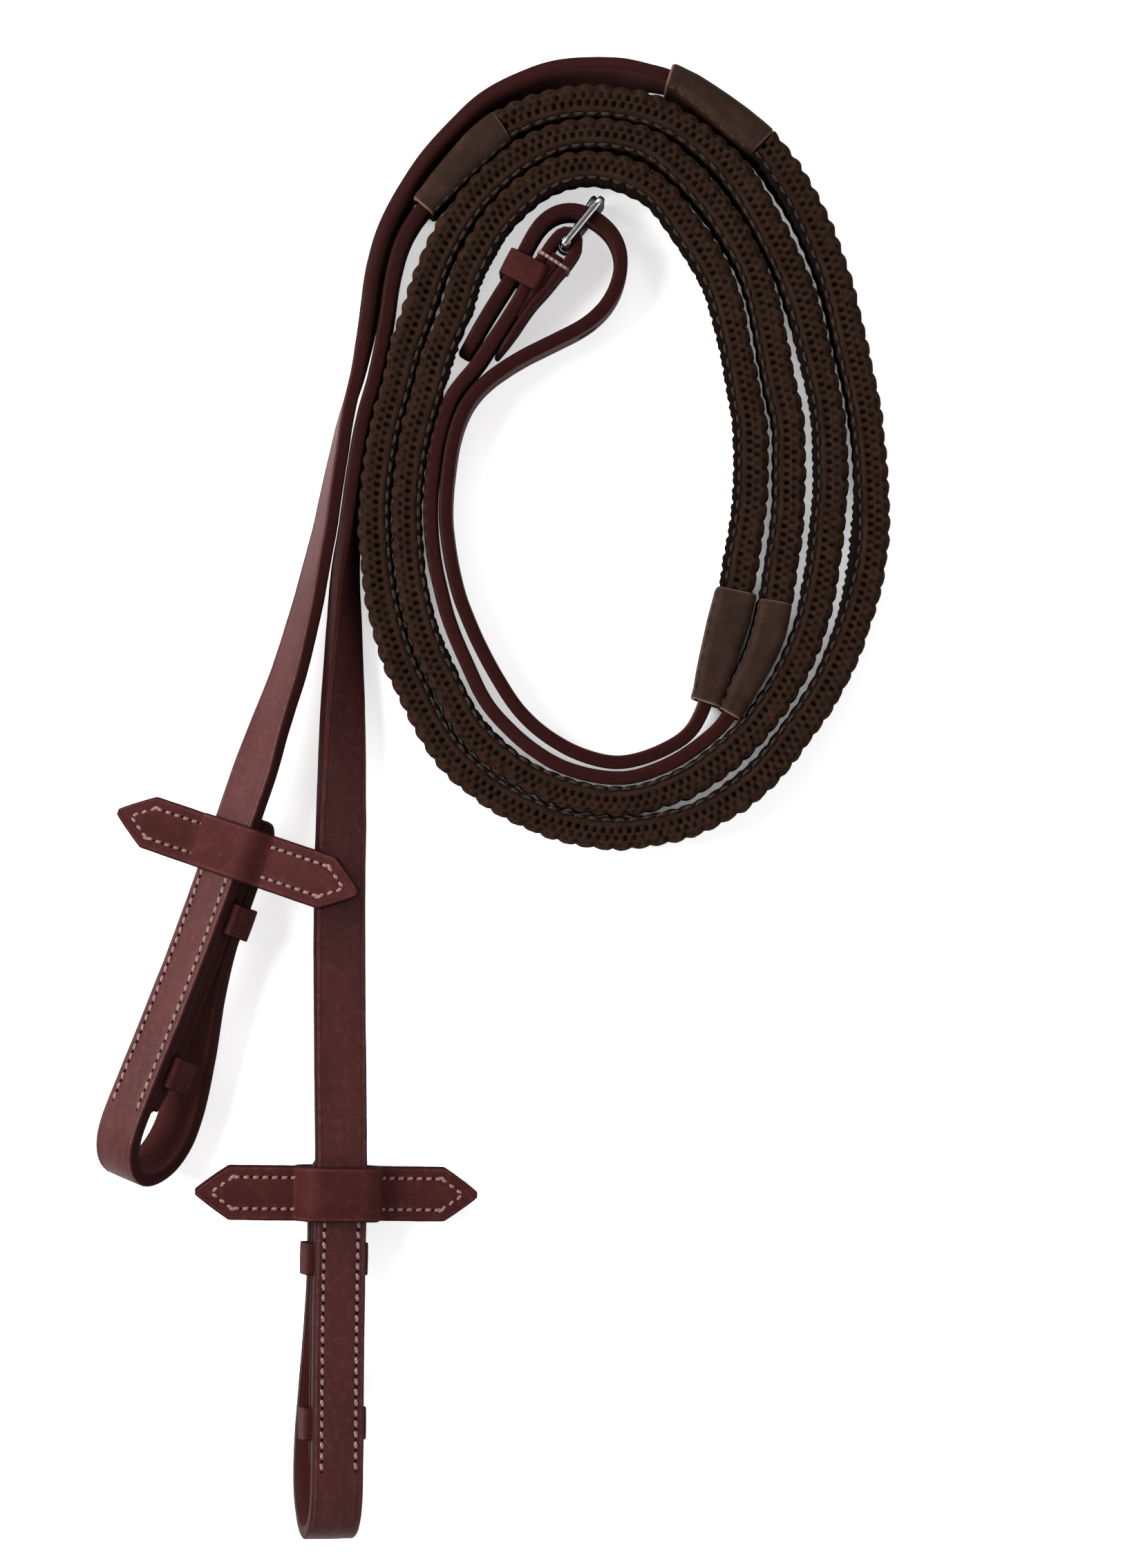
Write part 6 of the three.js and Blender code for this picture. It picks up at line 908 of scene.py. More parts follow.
    24.248, 181.332, 11.000, 0.0000, 0.0000, -1.0000, 4.20, 1592.09,
    22.253, 181.237, 11.000, -0.0000, 0.0000, -1.0000, 4.20, 1594.09,
    20.311, 180.772, 11.000, -0.0000, 0.0000, -1.0000, 4.20, 1596.09,
    18.478, 179.982, 11.000, -0.0000, 0.0000, -1.0000, 4.20, 1598.09,
    16.821, 178.868, 11.000, -0.0000, 0.0000, -1.0000, 4.20, 1600.09,
    15.344, 177.522, 11.000, -0.0000, 0.0000, -1.0000, 4.20, 1602.08,
    14.061, 175.991, 11.000, -0.0000, 0.0000, -1.0000, 4.20, 1604.08,
    12.931, 174.342, 11.000, -0.0000, 0.0000, -1.0000, 4.20, 1606.08,
    11.919, 172.618, 11.000, -0.0000, 0.0000, -1.0000, 4.20, 1608.08,
    9.639, 168.171, 11.000, -0.0000, 0.0000, -1.0000, 4.20, 1613.08,
    7.346, 163.730, 11.000, -0.0000, 0.0000, -1.0000, 4.20, 1618.08,
    4.878, 159.384, 11.000, -0.0000, 0.0000, -1.0000, 4.20, 1623.08,
    2.227, 155.147, 11.000, -0.0000, 0.0000, -1.0000, 4.20, 1628.07,
    -0.424, 150.910, 11.000, -0.0000, 0.0000, -1.0000, 4.20, 1633.07,
    -2.954, 146.600, 11.000, -0.0000, 0.0000, -1.0000, 4.20, 1638.07,
    -5.458, 142.273, 11.000, -0.0000, 0.0000, -1.0000, 4.20, 1643.07,
    -7.984, 137.961, 11.000, -0.0000, 0.0000, -1.0000, 4.20, 1648.07,
    -8.997, 136.237, 11.000, -0.0000, 0.0000, -1.0000, 4.20, 1650.07,
]).reshape(-1, 8)
LEFT_AT = {"stud": 233.41, "sleeve1": 540.01, "grip1": 575.40, "grip2": 1290.88, "sleeve2": 1328.89, "total": 1628.94, "heel": 1578.95}
RIGHT_AT = {"stud": 233.41, "sleeve1": 541.49, "grip1": 576.47, "grip2": 1293.21, "sleeve2": 1329.20, "total": 1650.07, "cross": 1588.09}
HEEL = np.array([22.918, 171.343])
FAR = np.array([33.131, 183.897])
KEEPER_MID = np.array([9.301, 163.046])
KEEPER_DIR = np.array([0.4572, 0.8894])
KEEPER_E = (-4.65, 5.55)
UP = np.array([0.0, 0.0, 1.0])


# ------------------------------------------------------------------ curve and sweep helpers
def unit(v):
    v = np.asarray(v, float)
    return v / np.linalg.norm(v, axis=-1, keepdims=True)


class Rein:
    def __init__(self, rows):
        self.s, self.P, self.W, self.t = rows[:, 7], rows[:, :3], rows[:, 3:6], rows[:, 6]
        self.dP = np.gradient(self.P, self.s, axis=0)
        self.dW = np.gradient(self.W, self.s, axis=0)

    def at(self, s):
        s = np.atleast_1d(np.asarray(s, float))
        i = np.clip(np.searchsorted(self.s, s, side="right") - 1, 0, len(self.s) - 2)
        h = (self.s[i + 1] - self.s[i])[:, None]
        k = (s - self.s[i])[:, None] / h
        a, b = 2 * k**3 - 3 * k**2 + 1, k**3 - 2 * k**2 + k
        c, d = -2 * k**3 + 3 * k**2, k**3 - k**2
        P = a * self.P[i] + b * h * self.dP[i] + c * self.P[i + 1] + d * h * self.dP[i + 1]
        W = a * self.W[i] + b * h * self.dW[i] + c * self.W[i + 1] + d * h * self.dW[i + 1]
        a1, b1, d1 = (6 * k**2 - 6 * k) / h, 3 * k**2 - 4 * k + 1, 3 * k**2 - 2 * k
        T = a1 * self.P[i] + b1 * self.dP[i] - a1 * self.P[i + 1] + d1 * self.dP[i + 1]
        T = unit(T)
        N = unit(np.cross(W, T))
        W = np.cross(T, N)
        return P, T, W, N, np.interp(s, self.s, self.t)


LEFT, RIGHT = Rein(LEFT_ROWS), Rein(RIGHT_ROWS)


def wobble(x, scale, seed):
    """Smooth repeatable noise of about -1 to 1 along x, with features of about that scale."""
    r = np.random.default_rng(seed)
    x = np.asarray(x, float)
    out = np.zeros_like(x)
    for f, g in ((1, 0.5), (1.9, 0.3), (3.7, 0.2)):
        out += g * np.sin(x * f * 2 * math.pi / (scale * 2.1) + r.uniform(0, 6.28))
    return out


class Geo:
    """Collects vertices, faces and per-vertex values of one piece."""

    def __init__(self):
        self.v, self.f, self.m, self.a, self.n = [], [], [], {}, 0

    def add(self, verts, faces, mat=0, **attrs):
        verts = np.asarray(verts, float).reshape(-1, 3)
        base, count = self.n, len(verts)
        self.v.append(verts)
        self.f.extend([tuple(int(i) + base for i in f) for f in faces])
        self.m.extend([mat] * len(faces))
        for k in set(list(attrs) + list(self.a)):
            old = self.a.setdefault(k, [np.zeros((base, 3) if k == "swn" else base)] if base else [])
            val = attrs.get(k, 0.0)
            if k == "swn":
                val = np.broadcast_to(np.asarray(val, float), (count, 3)) if np.ndim(val) else np.zeros((count, 3))
            else:
                val = np.broadcast_to(np.asarray(val, float).reshape(-1) if np.ndim(val) else val, (count,))
            old.append(np.array(val))
        self.n += count
        return base

    def build(self, name, mats, body, replaces=(), smooth_angle=50.0):
        me = bpy.data.meshes.new(name)
        v = np.concatenate(self.v) * MM
        me.from_pydata(v.tolist(), [], self.f)
        me.update()
        for m in mats:
            me.materials.append(m)
        if len(mats) > 1:
            me.polygons.foreach_set("material_index", np.array(self.m, np.int32))
        for k, parts in self.a.items():
            data = np.concatenate(parts)
            if k == "swn":
                at = me.attributes.new(k, "FLOAT_VECTOR", "POINT")
                at.data.foreach_set("vector", data.astype(np.float32).ravel())
            else:
                at = me.attributes.new(k, "FLOAT", "POINT")
                at.data.foreach_set("value", data.astype(np.float32))
        me.shade_smooth()
        if smooth_angle:
            me.set_sharp_from_angle(angle=math.radians(smooth_angle))
        ob = bpy.data.objects.new(name, me)
        bpy.context.scene.collection.objects.link(ob)
        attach(ob, body)
        if replaces:
            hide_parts(*replaces)
        return ob


def grid_faces(rings, count, base=0, closed_rings=False, flip=False):
    i = np.arange(rings - (0 if closed_rings else 1))[:, None]
    k = np.arange(count)[None, :]
    i2, k2 = (i + 1) % rings, (k + 1) % count
    q = np.stack([i * count + k, i2 * count + k, i2 * count + k2, i * count + k2], -1).reshape(-1, 4) + base
    if flip:
        q = q[:, ::-1]
    return q.tolist()


def place(fr, outline):
    """Points of an outline (rings, corners, 2) or (corners, 2) on the frames."""
    P, W, N = fr[0], fr[2], fr[3]
    o = outline if outline.ndim == 3 else np.repeat(outline[None], len(P), 0)
    return P[:, None] + o[..., :1] * W[:, None] + o[..., 1:2] * N[:, None]


def arc_pts(cx, cy, r, a0, a1, n):
    a = np.radians(np.linspace(a0, a1, n))
    return np.c_[cx + r * np.cos(a), cy + r * np.sin(a)]


def rounded(x, y, r, n=5, mid_x=1, mid_y=1):
    """A rounded rectangle with half sides x, y, anticlockwise from the bottom left."""
    r = min(r, x * 0.98, y * 0.98)
    out = []
    bottom = np.linspace(-(x - r), x - r, mid_x + 2)[1:-1]
    right = np.linspace(-(y - r), y - r, mid_y + 2)[1:-1]
    out += [(w, -y) for w in bottom]
    out += arc_pts(x - r, -y + r, r, -90, 0, n).tolist()
    out += [(x, h) for h in right]
    out += arc_pts(x - r, y - r, r, 0, 90, n).tolist()
    out += [(w, y) for w in bottom[::-1]]
    out += arc_pts(-x + r, y - r, r, 90, 180, n).tolist()
    out += [(-x, h) for h in right[::-1]]
    out += arc_pts(-x + r, -y + r, r, 180, 270, n).tolist()
    return np.array(out)


# ------------------------------------------------------------------ materials
def srgb(r, g, b):
    def f(c):
        c /= 255.0
        return c / 12.92 if c <= 0.04045 else ((c + 0.055) / 1.055) ** 2.4
    return (f(r), f(g), f(b), 1.0)


class Mat:
    def __init__(self, name):
        self.m = bpy.data.materials.new(name)
        self.m.use_nodes = True
        self.nt = self.m.node_tree
        self.nt.nodes.clear()
        self.out = self.nt.nodes.new("ShaderNodeOutputMaterial")
        self.bsdf = self.nt.nodes.new("ShaderNodeBsdfPrincipled")
        self.nt.links.new(self.bsdf.outputs[0], self.out.inputs[0])

    def put(self, socket, value):
        if hasattr(value, "links"):
            self.nt.links.new(value, socket)
        elif value is not None:
            socket.default_value = value

    def node(self, kind, ins=None, **props):
        n = self.nt.nodes.new(kind)
        for k, v in props.items():
            setattr(n, k, v)
        for k, v in (ins or {}).items():
            self.put(n.inputs[k], v)
        return n

    def attr(self, name, vector=False):
        n = self.node("ShaderNodeAttribute", attribute_name=name)
        return n.outputs["Vector"] if vector else n.outputs["Fac"]

    def scaled(self, vec, sx, sy, sz):
        return self.node("ShaderNodeMapping", {"Vector": vec, "Scale": (sx, sy, sz)}).outputs[0]

    def noise(self, vec, scale, detail=3.0, rough=0.5, dist=0.0):
        return self.node("ShaderNodeTexNoise", {"Vector": vec, "Scale": scale, "Detail": detail, "Roughness": rough, "Distortion": dist}).outputs["Fac"]

    def math(self, op, a, b=None, clamp=False):
        n = self.nt.nodes.new("ShaderNodeMath")
        n.operation, n.use_clamp = op, clamp
        self.put(n.inputs[0], a)
        if b is not None:
            self.put(n.inputs[1], b)
        return n.outputs[0]

    def ramp(self, fac, lo, hi, a=0.0, b=1.0):
        n = self.node("ShaderNodeMapRange", {"Value": fac, "From Min": lo, "From Max": hi, "To Min": a, "To Max": b})
        n.interpolation_type = "SMOOTHSTEP"
        return n.outputs[0]

    def mix(self, fac, a, b, blend="MIX"):
        n = self.nt.nodes.new("ShaderNodeMix")
        n.data_type, n.blend_type = "RGBA", blend
        self.put(n.inputs[0], fac)
        self.put(n.inputs[6], a)
        self.put(n.inputs[7], b)
        return n.outputs[2]

    def bump(self, height, dist, strength=1.0, normal=None):
        n = self.node("ShaderNodeBump", {"Height": height, "Distance": dist * MM, "Strength": strength})
        if normal is not None:
            self.put(n.inputs["Normal"], normal)
        return n.outputs[0]

    def set(self, **kw):
        for k, v in kw.items():
            self.put(self.bsdf.inputs[k.replace("_", " ")], v)
        return self.m


def leather(name, base, light, dark, edge_col, flesh_col, rough=0.40, grain=1.0, spec=0.20):
    m = Mat(name)
    swn = m.attr("swn", True)
    edge, flesh, groove = m.attr("edge"), m.attr("flesh"), m.attr("groove")
    streak = m.noise(m.scaled(swn, 0.045, 0.13, 0.13), 1.0, 4.0, 0.6, 0.3)
    mottle = m.noise(swn, 0.42, 5.0, 0.62)
    fine = m.noise(swn, 5.5, 2.0, 0.6)
    cells = m.node("ShaderNodeTexVoronoi", {"Vector": swn, "Scale": 1.9, "Randomness": 1.0}, feature="DISTANCE_TO_EDGE").outputs["Distance"]
    pebble = m.ramp(cells, 0.0, 0.22)
    fibre = m.noise(m.scaled(swn, 1.6, 3.0, 3.0), 1.0, 4.0, 0.7)
    col = m.mix(m.math("MULTIPLY", m.ramp(streak, 0.66, 0.34), 0.42), base, dark)
    col = m.mix(m.math("MULTIPLY", m.ramp(mottle, 0.45, 0.80), 0.55), col, light)
    col = m.mix(m.math("MULTIPLY", m.math("SUBTRACT", 1.0, pebble), 0.22), col, dark)
    worn = m.math("MULTIPLY", m.ramp(m.attr("rim"), 0.2, 1.0), m.ramp(mottle, 0.40, 0.66, 0.25, 0.85))
    col = m.mix(worn, col, light)
    col = m.mix(m.math("MULTIPLY", edge, 0.88), col, edge_col)
    suede = m.mix(m.ramp(fibre, 0.35, 0.70), flesh_col, base)
    col = m.mix(flesh, col, suede)
    # painted shade: darker in the creases and the stitch channel
    col = m.mix(m.math("MULTIPLY", groove, 0.85), col, dark)
    # painted shade: where tone is set (the right rein) the leather is darkened, as it lies flatter and further from
    # the key lamp
    col = m.mix(m.attr("tone"), col, (0.74, 0.68, 0.68, 1.0), "MULTIPLY")
    r = m.math("ADD", rough, m.math("MULTIPLY", m.math("SUBTRACT", mottle, 0.5), 0.30))
    r = m.math("ADD", r, m.math("MULTIPLY", flesh, 0.45), clamp=True)
    h = m.math("ADD", m.math("MULTIPLY", pebble, 0.6), m.math("MULTIPLY", fine, 0.5))
    h = m.math("ADD", m.math("MULTIPLY", h, m.math("SUBTRACT", 1.0, m.math("MULTIPLY", edge, 0.6))), m.math("MULTIPLY", flesh, m.math("MULTIPLY", fibre, 2.6)))
    n1 = m.bump(h, 0.055 * grain, 0.9)
    n2 = m.bump(mottle, 0.22, 0.5, n1)
    return m.set(Base_Color=col, Roughness=r, Normal=n2, Specular_IOR_Level=m.math("SUBTRACT", spec, m.math("MULTIPLY", m.math("MAXIMUM", edge, flesh), spec * 0.65)), Coat_Weight=0.01, Coat_Roughness=0.36, Sheen_Weight=m.math("MULTIPLY", flesh, 0.03))


def rubber(name):
    m = Mat(name)
    swn = m.attr("swn", True)
    pit, lump = m.attr("pit"), m.attr("lump")
    mottle = m.noise(swn, 0.30, 5.0, 0.65)
    fine = m.noise(swn, 4.5, 4.0, 0.7)
    smear = m.noise(m.scaled(swn, 0.10, 0.9, 0.9), 1.0, 3.0, 0.6)
    col = m.mix(m.ramp(smear, 0.33, 0.70), srgb(46, 30, 22), srgb(60, 42, 32))
    col = m.mix(m.math("MULTIPLY", m.ramp(mottle, 0.48, 0.75), 0.45), col, srgb(70, 50, 40))
    # lighter on the raised lumps: dust and a painted highlight
    col = m.mix(m.math("MULTIPLY", m.ramp(lump, 0.45, 1.0), 0.30), col, srgb(76, 56, 45))
    # near black in the pits: painted shade with some dirt
    col = m.mix(m.math("MULTIPLY", m.ramp(pit, 0.20, 1.05), 0.95), col, srgb(9, 5, 4))
    # painted shade: dark along the seam, over the cut edge below it and inside the bore
    col = m.mix(m.math("MULTIPLY", m.attr("groove"), 0.92), col, srgb(15, 9, 8))
    r = m.math("ADD", 0.62, m.math("MULTIPLY", fine, 0.26), clamp=True)
    n1 = m.bump(fine, 0.07, 0.8)
    n2 = m.bump(mottle, 0.25, 0.5, n1)
    return m.set(Base_Color=col, Roughness=r, Normal=n2, Specular_IOR_Level=0.08, Sheen_Weight=0.0)


def sleeve_leather(name):
    m = Mat(name)
    swn = m.attr("swn", True)
    mottle = m.noise(swn, 0.16, 5.0, 0.6, 0.4)
    fine = m.noise(swn, 5.0, 3.0, 0.65)
    cells = m.node("ShaderNodeTexVoronoi", {"Vector": swn, "Scale": 1.7}, feature="DISTANCE_TO_EDGE").outputs["Distance"]
    pebble = m.ramp(cells, 0.0, 0.25)
    scuff = m.noise(m.scaled(swn, 0.9, 0.12, 0.12), 1.0, 4.0, 0.7)
    col = m.mix(m.ramp(mottle, 0.32, 0.70), srgb(54, 37, 28), srgb(73, 52, 41))
    col = m.mix(m.math("MULTIPLY", m.ramp(scuff, 0.55, 0.8), 0.4), col, srgb(88, 68, 57))
    col = m.mix(m.math("MULTIPLY", m.attr("edge"), 0.6), col, srgb(46, 32, 28))
    col = m.mix(m.attr("cut"), col, srgb(140, 112, 98))
    # painted shade: dark inside the bore where it closes on the strap
    col = m.mix(m.math("MULTIPLY", m.attr("groove"), 0.8), col, srgb(24, 16, 14))
    r = m.math("ADD", 0.50, m.math("MULTIPLY", mottle, 0.16), clamp=True)
    h = m.math("ADD", m.math("MULTIPLY", pebble, 0.5), m.math("MULTIPLY", fine, 0.6))
    n1 = m.bump(h, 0.05, 0.9)
    n2 = m.bump(mottle, 0.35, 0.5, n1)
    return m.set(Base_Color=col, Roughness=r, Normal=n2, Specular_IOR_Level=0.13)


def thread(name, base, dark):
    m = Mat(name)
    swn = m.attr("swn", True)
    twist = m.node("ShaderNodeTexWave", {"Vector": m.scaled(swn, 1.0, 1.0, 1.0), "Scale": 0.62, "Distortion": 1.2, "Detail": 2.0, "Detail Scale": 1.4}, bands_direction="DIAGONAL").outputs["Fac"]
    hair = m.noise(m.scaled(swn, 2.0, 9.0, 9.0), 1.0, 3.0, 0.6)
    dirt = m.noise(swn, 0.21, 3.0, 0.5)
    col = m.mix(m.math("MULTIPLY", m.ramp(twist, 0.2, 0.75), 0.8), dark, base)
    col = m.mix(m.math("MULTIPLY", m.ramp(dirt, 0.35, 0.75), 0.4), col, dark)
    n1 = m.bump(twist, 0.10, 0.9)
    n2 = m.bump(hair, 0.05, 0.7, n1)
    return m.set(Base_Color=col, Roughness=m.math("ADD", 0.62, m.math("MULTIPLY", hair, 0.2)), Normal=n2, Specular_IOR_Level=0.3, Sheen_Weight=0.15)


def steel(name, tone=(0.78, 0.79, 0.80, 1.0), rough=0.16):
    m = Mat(name)
    obj = m.node("ShaderNodeTexCoord").outputs["Object"]
    brushed = m.noise(m.scaled(obj, 900.0, 900.0, 9000.0), 1.0, 3.0, 0.6)
    spots = m.noise(obj, 900.0, 4.0, 0.6)
    col = m.mix(m.math("MULTIPLY", m.ramp(spots, 0.5, 0.8), 0.35), tone, (0.52, 0.52, 0.53, 1.0))
    r = m.math("ADD", rough, m.math("MULTIPLY", brushed, 0.16))
    return m.set(Base_Color=col, Metallic=1.0, Roughness=r, Normal=m.bump(brushed, 0.01, 0.5))


BRIDLE = leather("bridle_leather_brown", srgb(93, 51, 50), srgb(118, 73, 69), srgb(66, 32, 32), srgb(50, 22, 21), srgb(88, 47, 44))
STOP = leather("stop_leather_brown", srgb(84, 44, 43), srgb(105, 62, 59), srgb(60, 29, 29), srgb(50, 23, 23), srgb(108, 74, 68), rough=0.55, spec=0.06)
BACKING = leather("backing_leather_brown", srgb(88, 48, 46), srgb(108, 66, 62), srgb(62, 32, 31), srgb(50, 23, 22), srgb(134, 92, 86), rough=0.5)
KEEPER = leather("keeper_leather_brown", srgb(80, 42, 40), srgb(101, 60, 57), srgb(57, 27, 26), srgb(50, 23, 22), srgb(104, 70, 64), rough=0.5, spec=0.06)
RUBBER = rubber("grip_rubber_brown")
SLEEVE = sleeve_leather("sleeve_leather_brown")
THREAD = thread("thread_pale", srgb(190, 158, 152), srgb(128, 94, 90))
GRIP_THREAD = thread("thread_grip_brown", srgb(74, 55, 46), srgb(44, 31, 26))
STEEL = steel("buckle_steel")
STUD_STEEL = steel("stud_steel", (0.70, 0.70, 0.70, 1.0), 0.22)


# dark dots set in the stitch holes: painted shade
def hole_shade_material():
    m = Mat("stitch_hole_painted_shade")
    obj = m.node("ShaderNodeTexCoord").outputs["Object"]
    n = m.noise(obj, 2200.0, 3.0, 0.6)
    return m.set(Base_Color=m.mix(n, srgb(14, 6, 7), srgb(34, 17, 17)), Roughness=m.math("ADD", 0.75, m.math("MULTIPLY", n, 0.2)), Normal=m.bump(n, 0.05, 0.6), Specular_IOR_Level=0.1)


HOLE_SHADE = hole_shade_material()


# ------------------------------------------------------------------ stitches
def capsule(length, width, height, rows=9, sides=8):
    """A thread lying along x: rounded ends dip below z = 0 as they enter their holes."""
    v, f = [], []
    for i in range(rows):
        k = -1 + 2 * i / (rows - 1)
        r = math.sqrt(max(0.0, 1 - abs(k) ** 2.6)) * (1 - 0.10 * abs(k)) + 0.02
        drop = -0.55 * height * max(0.0, abs(k) - 0.45) ** 1.5 / 0.41
        for j in range(sides):
            a = 2 * math.pi * j / sides
            v.append((k * length / 2, width / 2 * r * math.cos(a), height / 2 * r * math.sin(a) + drop))
    f = grid_faces(rows, sides, flip=True)
    f.append(tuple(range(sides))[::-1][::-1])
    f.append(tuple(range((rows - 1) * sides, rows * sides))[::-1])
    return np.array(v), f


CAP_V, CAP_F = capsule(1.0, 1.0, 1.0)
DOT_V, DOT_F = capsule(1.0, 1.0, 1.0, 7, 8)


def put_stitch(geo, P, X, Z, length, width, height, lift=0.0, slant=0.0, mat=0, phase=0.0, dot=False):
    """Lays one stitch at P, along X, on a surface with normal Z."""
    X = unit(X - np.dot(X, Z) * Z)
    Y = np.cross(Z, X)
    if slant:
        c, s = math.cos(slant), math.sin(slant)
        X, Y = X * c + Y * s, Y * c - X * s
    base = DOT_V if dot else CAP_V
    q = base * np.array([length, width, height])
    v = P + q[:, :1] * X + q[:, 1:2] * Y + (q[:, 2:3] + lift) * Z
    swn = q + np.array([phase, 0, 0])
    geo.add(v, DOT_F if dot else CAP_F, mat, swn=swn)


# ------------------------------------------------------------------ the long straps
STITCH_W = 5.35  # stitch columns of the bit ends, from the middle of the strap


def strap_outline(width, t, crease=0.11, channel=0.0, r=1.0):
    """Section of a strap: grain side up (n > 0) with a crease near each edge. Returns points and values."""
    x, y = width / 2, t / 2
    r = min(r, y * 0.92, x * 0.5)
    k = x / 8.0
    pts, edge, flesh, groove, rim = [], [], [], [], []

    def put(p, e, fl=0.0, g=0.0, ri=0.0):
        pts.append(p); edge.append(e); flesh.append(fl); groove.append(g); rim.append(ri)

    for w in np.linspace(-(x - r), x - r, 7)[1:-1]:
        put((w, -y), 0.0, 1.0)
    for i, p in enumerate(arc_pts(x - r, -y + r, r, -90, 0, 5)):
        put(tuple(p), (0.35, 0.8, 1, 1, 1)[i], (0.8, 0.3, 0, 0, 0)[i])
    for i, p in enumerate(arc_pts(x - r, y - r, r, 0, 90, 5)):
        put(tuple(p), (1, 1, 0.75, 0.4, 0.1)[i], 0, 0, (0, 0.1, 0.5, 1.0, 0.9)[i])
    cw = (x - 1.75 * k)
    sw = STITCH_W * k
    # crease points: across, depth, painted shade in the crease, wear
    top = [(cw + 0.45, 0, 0, 0.3), (cw + 0.16, 0.5, 0.3, 0), (cw, 1.0, 0.75, 0), (cw - 0.16, 0.5, 0.3, 0), (cw - 0.5, 0, 0, 0.15)]
    top += [(sw + 0.42, 0, 0, 0)] if sw + 0.42 < cw - 0.5 else []
    for w, d, g, ri in top:
        put((w, y - crease * d), 0, 0, g, ri)
    if not top[-1][0] == sw + 0.42:
        put((sw + 0.40, y), 0)
    # the stitch channel, with painted shade in it
    put((sw, y - 0.30 * channel), 0, 0, 0.35 * channel)
    put((sw - 0.75, y), 0)
    for w in (2.6 * k, 0.9 * k, -0.9 * k, -2.6 * k):
        put((w, y + 0.05 * (1 - (w / x) ** 2)), 0)
    put((-sw + 0.75, y), 0)
    put((-sw, y - 0.30 * channel), 0, 0, 0.35 * channel)
    put((-sw - 0.40, y), 0)
    for w, d, g, ri in top[:5][::-1]:
        put((-w, y - crease * d), 0, 0, g, ri)
    for i, p in enumerate(arc_pts(-x + r, y - r, r, 90, 180, 5)):
        put(tuple(p), (0.1, 0.4, 0.75, 1, 1)[i], 0, 0, (0.9, 1.0, 0.5, 0.1, 0)[i])
    for i, p in enumerate(arc_pts(-x + r, -y + r, r, 180, 270, 5)):
        put(tuple(p), (1, 1, 1, 0.8, 0.35)[i], (0, 0, 0, 0.3, 0.8)[i])
    return np.array(pts), np.array(edge), np.array(flesh), np.array(groove), np.array(rim)


def ease(k):
    return math.sqrt(max(0.0, 1 - (1 - min(1.0, k)) ** 2))


def strap_piece(rein, total, stud, start_len, end_len, tip, seed):
    s = [0.0, 0.15, 0.4, 0.8, 1.4, 2.2]
    s += list(np.arange(3.2, total - 3.2, 1.7))
    s += [total - 2.2, total - 1.4, total - 0.8, total - 0.4, total - 0.15, total]
    s = np.array(s)
    fr = rein.at(s)
    rows, E, FL, G, RI = [], [], [], [], []
    for i, si in enumerate(s):
        w = 16.0 * (tip + (1 - tip) * min(ease(si / start_len), ease((total - si) / end_len)))
        w += 0.10 * float(wobble(si, 17.0, seed))
        t = fr[4][i]
        nip = min(si, total - si)
        soft = 1 - 0.30 * max(0.0, 1 - nip / 0.8) ** 2
        sewn = 1.0 if stud - 84 < si < stud - 2 else 0.0
        p, e, fl, g, ri = strap_outline(w * (1 - (1 - soft) * 0.1), t * soft, channel=sewn)
        if nip < 1.0:
            e = np.maximum(e, 1 - nip)
        rows.append(p); E.append(e); FL.append(fl); G.append(g); RI.append(ri)
    o = np.array(rows)
    o[..., 1] += 0.05 * wobble(s, 11.0, seed + 1)[:, None]
    v = place(fr, o)
    R, C = v.shape[:2]
    swn = np.stack([np.repeat(s[:, None], C, 1), o[..., 0], o[..., 1]], -1)
    faces = grid_faces(R, C)
    faces.append(tuple(range(C)))
    faces.append(tuple(range((R - 1) * C, R * C))[::-1])
    return v, faces, dict(swn=swn.reshape(-1, 3), edge=np.array(E), flesh=np.array(FL), groove=np.array(G), rim=np.array(RI))


def slot_cutter(P, X, Y, Z, length, width, depth, name):
    """A round-ended slot along X, cut along Z."""
    r, h = width / 2, length / 2 - width / 2
    pts = np.r_[arc_pts(h, 0, r, -90, 90, 9), arc_pts(-h, 0, r, 90, 270, 9)]
    g = Geo()
    v = [P + x * X + y * Y + z * Z for z in (-depth / 2, depth / 2) for x, y in pts]
    n = len(pts)
    f = grid_faces(2, n, flip=True) + [tuple(range(n))[::-1], tuple(range(n, 2 * n))]
    if np.dot(np.cross(X, Y), Z) < 0:
        f = [t[::-1] for t in f]
    me = bpy.data.meshes.new(name)
    me.from_pydata((np.array(v) * MM).tolist(), [], f)
    at = me.attributes.new("edge", "FLOAT", "POINT")
    at.data.foreach_set("value", np.ones(len(v), np.float32))
    return bpy.data.objects.new(name, me)


def cylinder_cutter(P, Z, radius, depth, name, sides=28):
    a = np.array([1.0, 0, 0]) if abs(Z[0]) < 0.9 else np.array([0, 1.0, 0])
    X = unit(np.cross(a, Z)); Y = np.cross(Z, X)
    return slot_like(P, X, Y, Z, [(radius * math.cos(q), radius * math.sin(q)) for q in np.linspace(0, 2 * math.pi, sides, endpoint=False)], depth, name)


def slot_like(P, X, Y, Z, pts, depth, name):
    n = len(pts)
    v = [P + x * X + y * Y + z * Z for z in (-depth / 2, depth / 2) for x, y in pts]
    f = grid_faces(2, n, flip=True) + [tuple(range(n))[::-1], tuple(range(n, 2 * n))]
    me = bpy.data.meshes.new(name)
    me.from_pydata((np.array(v) * MM).tolist(), [], f)
    at = me.attributes.new("edge", "FLOAT", "POINT")
    at.data.foreach_set("value", np.ones(len(v), np.float32))
    return bpy.data.objects.new(name, me)


